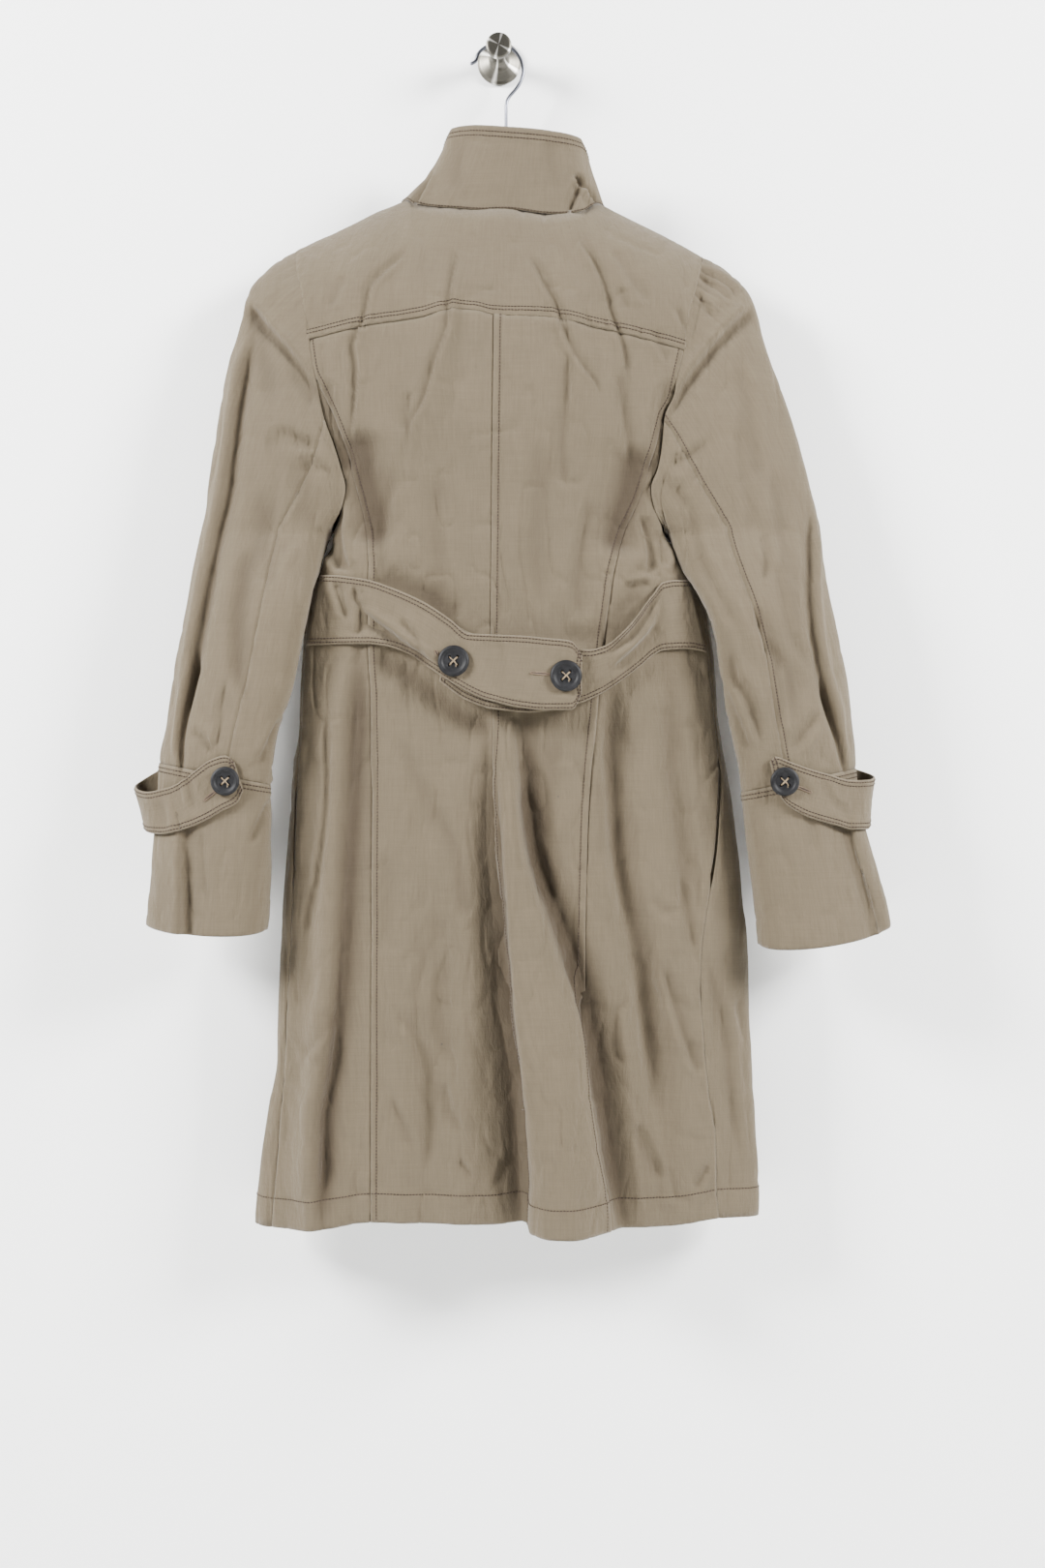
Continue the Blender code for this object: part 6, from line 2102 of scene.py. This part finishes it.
def make_buttonholes():
    """Corded buttonholes: an oval loop of overcast thread round a thin dark sheet that paints the
    slit's shadow.
    """
    count = BUTTONHOLE_STEPS
    turn = full_turn(count)[:, None]
    quads = grid_faces(count + 1, CORD_SIDES, closed=True) % (count * CORD_SIDES)
    bumps = BUTTONHOLE_CORD * (1 + 0.16 * np.cos(turn[:, 0] * count / 3))
    width = np.sin(turn) * BUTTONHOLE_WIDTH / 2 * (0.8 + 0.35 * (np.cos(turn) < -0.75))
    for k, (name, along, over, length, tilt) in enumerate(BUTTONHOLES):
        centre, ahead, aside, facing = strap_point(name, along, over)
        ahead, aside = (ahead * math.cos(tilt) + aside * math.sin(tilt),
                        aside * math.cos(tilt) - ahead * math.sin(tilt))
        reach = np.sign(np.cos(turn)) * np.abs(np.cos(turn)) ** 0.8 * length / 2
        path = centre + reach * ahead + width * aside + 0.25 * facing
        grid = cord_rings(path, bumps, CORD_SIDES, facing, closed=True)
        face_outward(feed_mesh("buttonhole_%d" % (k + 1), grid.reshape(-1, 3), quads.tolist()))
        # Painted shadow: a thin dark sheet inside the cord where the slit shows shade
        capped("buttonhole_slit_%d" % (k + 1),
               np.stack([centre + reach * 0.97 * ahead + width * 0.9 * aside + h * facing
                         for h in (0.12, 0.34)]))


def make_buttons():
    """Two buttons on the belt and one on each tab, sewn with beige thread."""
    for node, strap, along, over, width in (
            ("belt_button_left", "belt_cloth_left", *BELT_BUTTONS["left"], BELT_BUTTON),
            ("belt_button_right", "belt_cloth_left", *BELT_BUTTONS["right"], BELT_BUTTON),
            ("cuff_button_left", "tab_cloth_left", *TAB_BUTTONS["left"], CUFF_BUTTON),
            ("cuff_button_right", "tab_cloth_right", *TAB_BUTTONS["right"], CUFF_BUTTON)):
        centre, _, _, facing = strap_point(strap, along, over)
        centre = centre + facing * BUTTON_GAP
        make_button(node + "_face", centre, facing, width)
        make_thread(node + "_thread", centre, facing, width)


def make_hanger():
    """Bright wire hook and the plain arms inside the shoulders."""
    rod("hanger_wire", HANGER_WIRE, WIRE_STEPS, WIRE / 2, WIRE / 2)
    rod("hanger_bar", HANGER_ARMS, ARM_STEPS, ARM_HALF_DEPTH, ARM_HALF_HEIGHT)


def make_wall_hook():
    """Rose, waisted stem and head of the wall hook: a profile turned about the Y axis."""
    place = np.linspace(0, len(HOOK_PROFILE["depth"]) - 1, HOOK_STEPS)
    y, r = -numbered(HOOK_PROFILE["depth"])(place), numbered(HOOK_PROFILE["radius"])(place)
    face = np.linspace(1, 0.04, 8)[1:]
    y = np.concatenate([y, y[-1] - 0.35 * (1 - face ** 2)])[:, None]
    r = np.concatenate([r, r[-1] * face])[:, None]
    angle = full_turn(HOOK_AROUND)
    capped("wall_hook_steel_turned",
           np.stack([r * np.cos(angle), y + 0 * angle, r * np.sin(angle)], axis=-1))


def feed(tree, socket, value):
    """Link a socket to another's output, or set its value."""
    if isinstance(value, bpy.types.NodeSocket):
        tree.links.new(value, socket)
    else:
        socket.default_value = value


def feed_all(tree, made, inputs):
    """Link or set a node's inputs, by name or number."""
    for key, value in inputs.items():
        feed(tree, made.inputs[key], value)
    return made


def node(tree, kind, inputs=None, **settings):
    """A shader node with its settings and inputs."""
    made = tree.nodes.new(kind)
    for key, value in settings.items():
        setattr(made, key, value)
    return feed_all(tree, made, inputs or {})


def maths(tree, operation, *values):
    """The result of a Math node."""
    return node(tree, "ShaderNodeMath", dict(enumerate(values)), operation=operation).outputs[0]


def times(tree, a, b):
    """The product of two values."""
    return maths(tree, "MULTIPLY", a, b)


def blend(tree, share, start, end, mode="MIX"):
    """The result of mixing two colours."""
    made = node(tree, "ShaderNodeMix", data_type="RGBA", blend_type=mode)
    for number, value in ((0, share), (6, start), (7, end)):
        if isinstance(value, tuple):
            value = (*value, 1.0)
        feed(tree, made.inputs[number], value)
    return made.outputs[2]


def noise(tree, vector, scale, detail=2.0, roughness=0.5):
    """The grey value of a Noise Texture."""
    return node(tree, "ShaderNodeTexNoise", {"Vector": vector, "Scale": scale, "Detail": detail,
                                             "Roughness": roughness}).outputs["Fac"]


def stretched(tree, vector, x, y, z=1.0):
    """A vector scaled apart on its three axes."""
    return node(tree, "ShaderNodeMapping", {"Vector": vector, "Scale": (x, y, z)}).outputs[0]


def shader_group(name, inputs, outputs):
    """An empty shader node group with named inputs and outputs, and its two end nodes."""
    group = bpy.data.node_groups.new(name, "ShaderNodeTree")
    for label, kind, value in inputs:
        socket = group.interface.new_socket(label, in_out="INPUT", socket_type=kind)
        if value is not None:
            socket.default_value = value
    for label, kind in outputs:
        group.interface.new_socket(label, in_out="OUTPUT", socket_type=kind)
    return group, group.nodes.new("NodeGroupInput"), group.nodes.new("NodeGroupOutput")


# Weave tones: noise drawn out across and down, its scale, detail, roughness and strength
WEAVE_TONES = (
    ((1000, 34), 0.9, 2.0, 0.5, 0.50),
    ((30, 900), 0.9, 2.0, 0.5, 0.38),
    ((430, 9), 1.0, 3.0, 0.6, 0.12),
)


def make_weave_group():
    """Plain weave: threads as sine ridges across and down, uneven in thickness, with slubs.

    Height is the higher of the two thread ridges, each raised where the product of the sines
    puts it on top. Tone is a lighter or darker thread, from noise drawn out along the threads.
    """
    group, start, end = shader_group(
        "plain weave",
        (("Vector", "NodeSocketVector", None), ("Threads", "NodeSocketFloat", 900.0)),
        (("Height", "NodeSocketFloat"), ("Tone", "NodeSocketFloat")))
    vector = start.outputs["Vector"]
    place = node(group, "ShaderNodeSeparateXYZ", {0: vector})
    turn = times(group, start.outputs["Threads"], 2 * math.pi)
    warp, weft = (maths(group, "SINE", times(group, place.outputs[k], turn)) for k in (0, 1))
    ridges = maths(group, "MAXIMUM", maths(group, "ABSOLUTE", warp),
                   maths(group, "ABSOLUTE", weft))
    tone = 0.0
    for (x, y), scale, detail, roughness, strength in WEAVE_TONES:
        threads_tone = noise(group, stretched(group, vector, x, y), scale, detail, roughness)
        tone = maths(group, "ADD", tone, times(group, threads_tone, strength))
    height = maths(group, "ADD", times(group, times(group, warp, weft), 0.25),
                   times(group, ridges, 0.35))
    height = maths(group, "ADD", height, times(group, tone, 0.8))
    feed_all(group, end, {"Tone": tone, "Height": height})
    return group


def make_wear_group():
    """Uneven patches over a surface, from fine to broad noise: a mask round one half."""
    group, start, end = shader_group(
        "uneven patches",
        (("Vector", "NodeSocketVector", None), ("Scale", "NodeSocketFloat", 20.0)),
        (("Mask", "NodeSocketFloat"),))
    vector, scale = start.outputs["Vector"], start.outputs["Scale"]
    fine = noise(group, vector, scale, 5.0, 0.62)
    broad = noise(group, vector, times(group, scale, 0.23), 3.0)
    feed(group, end.inputs["Mask"], maths(group, "ADD", times(group, fine, 0.5),
                                          times(group, broad, 0.5)))
    return group


def new_material(name):
    """A material, its node tree, its Principled shader and its Object coordinates."""
    made = bpy.data.materials.new(name)
    made.use_nodes = True
    tree = made.node_tree
    place = node(tree, "ShaderNodeTexCoord").outputs["Object"]
    return made, tree, tree.nodes["Principled BSDF"], place


def place_group(tree, group, inputs):
    """A node group in a material's tree."""
    made = node(tree, "ShaderNodeGroup")
    made.node_tree = group
    return feed_all(tree, made, inputs)


def spread(tree, value, low, high):
    """A value stretched so that low becomes 0 and high becomes 1, kept between them."""
    made = node(tree, "ShaderNodeMapRange", {"Value": value, "From Min": low, "From Max": high})
    return made.outputs[0]


def scaled(tree, value, low, high):
    """A value from 0 to 1 turned into one from low to high."""
    made = node(tree, "ShaderNodeMapRange", {"Value": value, "To Min": low, "To Max": high})
    return made.outputs[0]


def bumped(tree, height, strength, distance, **others):
    """A surface's normal, bent by a height."""
    return node(tree, "ShaderNodeBump", {"Height": height, "Strength": strength,
                                         "Distance": distance, **others}).outputs[0]


def stored(tree, name):
    """A number that each point of a mesh keeps."""
    return node(tree, "ShaderNodeAttribute", attribute_name=name).outputs["Fac"]


COTTON_DARK = (0.0605, 0.0466, 0.0287)
COTTON_LIGHT = (0.0845, 0.067, 0.0424)
COTTON_WORN = (0.138, 0.114, 0.080)
# COTTON_SHADE multiplies the colour where the stored shade paints shade into creases and hollows
COTTON_SHADE = (0.46, 0.42, 0.38)
COTTON_BLOTCH = (1.10, 1.09, 1.08)
COTTON_THREADS = 1100.0
SPECK_COLOUR = (0.03, 0.026, 0.024)
SPECKS = ((-52.5, 940.5, 1.1), (55.6, 710.0, 0.8))


def make_cotton(weave, patches):
    """Taupe plain-weave cotton: worn pale at edges, with painted shade deep in creases and
    hollows.
    """
    made, tree, shader, place = new_material("taupe cotton")
    cloth = node(tree, "ShaderNodeUVMap", uv_map="cloth").outputs[0]
    threads_here = place_group(tree, weave, {"Vector": cloth, "Threads": COTTON_THREADS})
    thread_tone = threads_here.outputs["Tone"]
    broad = place_group(tree, patches, {"Vector": place, "Scale": 26.0}).outputs["Mask"]
    colour = blend(tree, spread(tree, thread_tone, 0.20, 0.80), COTTON_DARK, COTTON_LIGHT)
    colour = blend(tree, spread(tree, broad, 0.32, 0.68), colour,
                   blend(tree, 1.0, colour, COTTON_BLOTCH, "MULTIPLY"))
    grit = spread(tree, noise(tree, place, 900.0, 3.0, 0.7), 0.40, 0.66)
    worn = times(tree, stored(tree, "worn"), grit)
    colour = blend(tree, times(tree, worn, 0.42), colour, COTTON_WORN)
    # Painted shade: the stored shade darkens the colour in creases and hollows, and where belt and
    # sleeves shade the back
    colour = blend(tree, stored(tree, "shade"), colour,
                   blend(tree, 1.0, colour, COTTON_SHADE, "MULTIPLY"))
    for x, drop, radius in SPECKS:
        spot = node(tree, "ShaderNodeVectorMath", {0: place, 1: (x * MM, 0, -drop * MM)},
                    operation="SUBTRACT").outputs[0]
        away = node(tree, "ShaderNodeVectorMath", {0: stretched(tree, spot, 1, 0, 1)},
                    operation="LENGTH").outputs["Value"]
        near = maths(tree, "SUBTRACT", 1.0, spread(tree, away, radius * 0.5 * MM, radius * MM))
        colour = blend(tree, near, colour, SPECK_COLOUR)
    grain = bumped(tree, threads_here.outputs["Height"], 0.55, 0.00022)
    bends = noise(tree, stretched(tree, place, 1, 1, 0.4), 75.0, 4.0, 0.55)
    crinkle = maths(tree, "ABSOLUTE", maths(tree, "SUBTRACT", bends, 0.5))
    feed_all(tree, shader, {
        "Base Color": colour, "Roughness": scaled(tree, thread_tone, 0.94, 0.84),
        "Sheen Weight": 0.07, "Sheen Roughness": 0.6, "Specular IOR Level": 0.16,
        "Normal": bumped(tree, crinkle, 0.6, 0.005, Normal=grain)})
    return made


def make_thread_finish(name, dark, light, patches):
    """Twisted sewing thread, lighter and darker along its length; also the painted shadow in the
    buttonhole slits.
    """
    made, tree, shader, place = new_material(name)
    mask = place_group(tree, patches, {"Vector": place, "Scale": 420.0}).outputs["Mask"]
    twist = noise(tree, place, 2600.0, 1.0)
    feed_all(tree, shader, {
        "Base Color": blend(tree, spread(tree, mask, 0.35, 0.65), dark, light),
        "Roughness": spread(tree, mask, -1.6, 1.0), "Specular IOR Level": 0.15,
        "Normal": bumped(tree, twist, 0.5, 0.0002)})
    return made


def make_horn(patches):
    """Charcoal button plastic: faintly clouded and semi-matt."""
    made, tree, shader, place = new_material("charcoal button")
    clouds = place_group(tree, patches, {"Vector": place, "Scale": 180.0}).outputs["Mask"]
    colour = blend(tree, spread(tree, clouds, 0.36, 0.64), (0.004, 0.004, 0.0045),
                   (0.012, 0.012, 0.013))
    feed_all(tree, shader, {
        "Base Color": colour, "Roughness": scaled(tree, clouds, 0.38, 0.58),
        "Specular IOR Level": 0.13,
        "Normal": bumped(tree, noise(tree, place, 1500.0, 2.0), 0.25, 0.0002)})
    return made


# Painted highlights on the wall hook's steel: their rays' turns in degrees, width and colour
HIGHLIGHT_RAY_TURNS = (75, -28)
HIGHLIGHT_RAY_WIDTH = 0.17
PAINTED_HIGHLIGHT_COLOUR = (0.80, 0.78, 0.72)


def painted_highlight_ray(tree, x, z, away, turn):
    """A pair of painted highlight rays from the Y axis, the light streaks of metal brushed in
    rings.

    It is 1 along the turn's line and falls to 0 where |sin| of the angle from it is
    HIGHLIGHT_RAY_WIDTH.
    """
    beside = maths(tree, "SUBTRACT", times(tree, x, math.sin(math.radians(turn))),
                   times(tree, z, math.cos(math.radians(turn))))
    share = maths(tree, "DIVIDE", maths(tree, "ABSOLUTE", beside),
                  maths(tree, "MAXIMUM", away, 0.0001))
    return maths(tree, "SUBTRACT", 1.0, spread(tree, share, 0.0, HIGHLIGHT_RAY_WIDTH))


def make_steel(name, dark, light, rough_low, rough_high, patches, rings):
    """Brushed metal: fine lines round the Y axis and painted highlight rays where rings is true,
    else clouded polish.
    """
    made, tree, shader, place = new_material(name)
    mask = place_group(tree, patches, {"Vector": place, "Scale": 60.0}).outputs["Mask"]
    if rings:
        x, y, z = node(tree, "ShaderNodeSeparateXYZ", {0: place}).outputs
        away = maths(tree, "SQRT", maths(tree, "ADD", times(tree, x, x), times(tree, z, z)))
        lines = node(tree, "ShaderNodeCombineXYZ", {0: away, 1: y}).outputs[0]
        brushed = noise(tree, lines, 5200.0, 3.0, 0.7)
    else:
        brushed = noise(tree, place, 900.0, 2.0)
    colour = blend(tree, spread(tree, brushed, 0.3, 0.7), dark, light)
    if rings:
        # Painted highlight: two bright rays mixed into the steel's base colour
        rays = maths(tree, "MAXIMUM", *(painted_highlight_ray(tree, x, z, away, turn) for turn in HIGHLIGHT_RAY_TURNS))
        colour = blend(tree, rays, colour, PAINTED_HIGHLIGHT_COLOUR)
    feed_all(tree, shader, {
        "Base Color": colour, "Metallic": 1.0,
        "Roughness": scaled(tree, mask, rough_low, rough_high),
        "Normal": bumped(tree, brushed, 0.35 if rings else 0.1, 0.00012)})
    return made


def make_plain(name, colour, roughness):
    """A backdrop's matt paint."""
    made, tree, shader, _ = new_material(name)
    feed_all(tree, shader, {"Base Color": (*colour, 1.0), "Roughness": roughness,
                            "Specular IOR Level": 0.1})
    return made


def make_wall_paint():
    """Pale paint that is clear from behind, so that the other side of the coat can be seen."""
    made = make_plain("wall paint", WALL_COLOUR, 0.95)
    tree = made.node_tree
    clear = node(tree, "ShaderNodeBsdfTransparent")
    behind = node(tree, "ShaderNodeNewGeometry").outputs["Backfacing"]
    mixed = node(tree, "ShaderNodeMixShader", {
        0: behind, 1: tree.nodes["Principled BSDF"].outputs[0], 2: clear.outputs[0]})
    feed(tree, tree.nodes["Material Output"].inputs[0], mixed.outputs[0])
    return made


# Stage: half its width, its floor's drop, its wall's top, and the wall's gap behind the hook
STAGE_HALF = 3000.0
FLOOR_DROP = 1650.0
WALL_TOP = 1200.0
WALL_GAP = 1.2
WALL_COLOUR = (0.90, 0.905, 0.90)
FLOOR_COLOUR = (0.78, 0.78, 0.77)

# Camera, on a line square to the wall, and the lamps: place, width and power
CAMERA_X = 22.5
CAMERA_Y = -1700.0
CAMERA_DROP = 698.4
WALL_HEIGHT_SEEN = 1620 * 0.9387
SENSOR = 36.0
LAMPS = (
    ("lamp left", (-2300, -1350, 800), 900, 395),
    ("lamp right", (2350, -1400, 700), 900, 360),
)
LAMPS_AIM = np.array((0.0, 0.0, -620.0))
WORLD_COLOUR = (0.98, 0.99, 1.0)
WORLD_STRENGTH = 0.05


def plane(name, corners, finish):
    """A backdrop rectangle."""
    mesh = bpy.data.meshes.new(name)
    mesh.from_pydata([tuple(value * MM for value in corner) for corner in corners], [],
                     [(0, 1, 2, 3)])
    mesh.materials.append(finish)
    add_object(name, mesh)


def make_stage():
    """Pale wall behind, pale floor below the view, soft light, and the camera."""
    half, floor, top, wall = STAGE_HALF, -FLOOR_DROP, WALL_TOP, WALL_GAP
    plane("wall", ((-half, wall, floor), (half, wall, floor), (half, wall, top),
                   (-half, wall, top)), make_wall_paint())
    plane("floor", ((-half, -half, floor), (half, -half, floor), (half, wall, floor),
                    (-half, wall, floor)), make_plain("floor paint", FLOOR_COLOUR, 0.8))
    for name, place, width, power in LAMPS:
        light = bpy.data.lights.new(name, "AREA")
        light.shape = "SQUARE"
        light.size = width * MM
        light.energy = power
        lamp = add_object(name, light)
        lamp.location = [value * MM for value in place]
        x, y, z = LAMPS_AIM - np.array(place)
        lamp.rotation_euler = (math.atan2(math.hypot(x, y), -z), 0, math.atan2(x, -y) + math.pi)
    world = bpy.data.worlds.new("soft sky")
    world.use_nodes = True
    sky = world.node_tree.nodes["Background"]
    sky.inputs[0].default_value = (*WORLD_COLOUR, 1.0)
    sky.inputs[1].default_value = WORLD_STRENGTH
    bpy.context.scene.world = world
    lens = bpy.data.cameras.new("camera")
    lens.sensor_fit = "VERTICAL"
    lens.sensor_height = SENSOR
    lens.lens = SENSOR * -CAMERA_Y / WALL_HEIGHT_SEEN
    camera = add_object("camera", lens)
    camera.location = (CAMERA_X * MM, CAMERA_Y * MM, -CAMERA_DROP * MM)
    camera.rotation_euler = (math.pi / 2, 0, 0)
    bpy.context.scene.camera = camera


# Cloth pieces: the node each stands for, its cut's width and length, the cut's share of that
# rectangle, and what it hangs from
CUTS = (
    ("yoke_cloth", "back_yoke", 0.42, 0.16, 0.82, "hanger_bar"),
    ("centre_cloth_left", "centre_back_left", 0.20, 0.86, 0.72, "yoke_cloth"),
    ("centre_cloth_right", "centre_back_right", 0.20, 0.86, 0.72, "yoke_cloth"),
    ("side_cloth_left", "side_back_left", 0.12, 0.78, 0.72, "centre_cloth_left"),
    ("side_cloth_right", "side_back_right", 0.16, 0.78, 0.72, "centre_cloth_right"),
    ("front_cloth_left", "front_left", 0.32, 1.0, 0.78, "yoke_cloth"),
    ("front_cloth_right", "front_right", 0.32, 1.0, 0.78, "yoke_cloth"),
    ("collar_cloth", "collar", 0.40, 0.09, 0.9, "yoke_cloth"),
    ("top_sleeve_cloth_left", "top_sleeve_left", 0.24, 0.54, 0.80, "yoke_cloth"),
    ("top_sleeve_cloth_right", "top_sleeve_right", 0.24, 0.54, 0.82, "yoke_cloth"),
    ("under_sleeve_cloth_left", "under_sleeve_left", 0.12, 0.42, 0.78, "side_cloth_left"),
    ("under_sleeve_cloth_right", "under_sleeve_right", 0.13, 0.42, 0.78, "side_cloth_right"),
    ("cuff_cloth_left", "cuff_left", 0.33, 0.155, 0.92, "top_sleeve_cloth_left"),
    ("cuff_cloth_right", "cuff_right", 0.33, 0.155, 0.94, "top_sleeve_cloth_right"),
    ("tab_cloth_left", "cuff_tab_left", 0.05, 0.19, 0.95, "cuff_cloth_left"),
    ("tab_cloth_right", "cuff_tab_right", 0.05, 0.19, 0.95, "cuff_cloth_right"),
    ("belt_cloth_left", "belt_left", 0.066, 0.27, 0.95, "side_cloth_left"),
    ("belt_cloth_right", "belt_right", 0.066, 0.27, 0.95, "side_cloth_right"),
    ("facing_cloth_left", "pocket_facing_left", 0.026, 0.115, 0.98, "front_cloth_left"),
    ("facing_cloth_right", "pocket_facing_right", 0.026, 0.143, 0.98, "front_cloth_right"),
)
BUTTON_NODES = ("belt_button_left", "belt_button_right", "cuff_button_left", "cuff_button_right")


def give(name, finish, slot, *nodes):
    """Finish a piece, let it ride on the body and stand for its nodes. The slot is not used."""
    piece = bpy.data.objects[name]
    piece.data.materials.clear()
    piece.data.materials.append(finish)
    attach(piece, BODY)
    if nodes:
        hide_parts(*nodes)


# Thread finishes, and the painted shadow in the buttonhole slits: their darker and lighter colours
THREADS = {
    "mauve-brown thread": ((0.018, 0.012, 0.009), (0.038, 0.026, 0.020)),
    "brown thread": ((0.070, 0.048, 0.032), (0.130, 0.095, 0.066)),
    "beige thread": ((0.14, 0.10, 0.06), (0.26, 0.20, 0.13)),
    "slit shadow": ((0.02, 0.017, 0.014), (0.05, 0.04, 0.034)),
}

# Metals: their darker and lighter colours, and their least and greatest roughness
STEEL = (0.065, 0.061, 0.051), (0.135, 0.127, 0.108), 0.32, 0.48
BRIGHT_WIRE = (0.12, 0.125, 0.148), (0.18, 0.185, 0.215), 0.28, 0.42


def main():
    """Make every piece and the stage, then finish the pieces, attach them to the body and hide the
    parts they stand for.
    """
    make_yoke()
    make_backs()
    make_fronts()
    make_collar()
    for side in SIGN:
        make_sleeve(side)
    for name in STRAPS:
        make_strap(name)
    make_facings()
    make_stitches()
    make_buttons()
    make_buttonholes()
    make_hanger()
    make_wall_hook()
    make_stage()

    weave, patches = make_weave_group(), make_wear_group()
    cotton = make_cotton(weave, patches)
    mauve, brown, beige, slit_shadow_finish = (make_thread_finish(name, *colours, patches)
                                      for name, colours in THREADS.items())
    horn = make_horn(patches)
    steel = make_steel("brushed steel", *STEEL, patches, True)
    wire = make_steel("bright wire", *BRIGHT_WIRE, patches, False)

    for name, replaced, *_ in CUTS:
        give(name, cotton, "coat_cotton", replaced)
    for name in STITCH_GROUPS:
        give(name, mauve, "coat_cotton")
    for k in range(len(BUTTONHOLES)):
        give("buttonhole_%d" % (k + 1), brown, "coat_cotton")
        give("buttonhole_slit_%d" % (k + 1), slit_shadow_finish, "coat_cotton")
    for replaced in BUTTON_NODES:
        give(replaced + "_face", horn, "button", replaced)
        give(replaced + "_thread", beige, "button")
    give("hanger_wire", wire, "hanger_wire", "hanger_hook")
    give("hanger_bar", horn, "hanger_arms", "hanger_arms")
    give("wall_hook_steel_turned", steel, "wall_hook_steel", "wall_hook")


main()
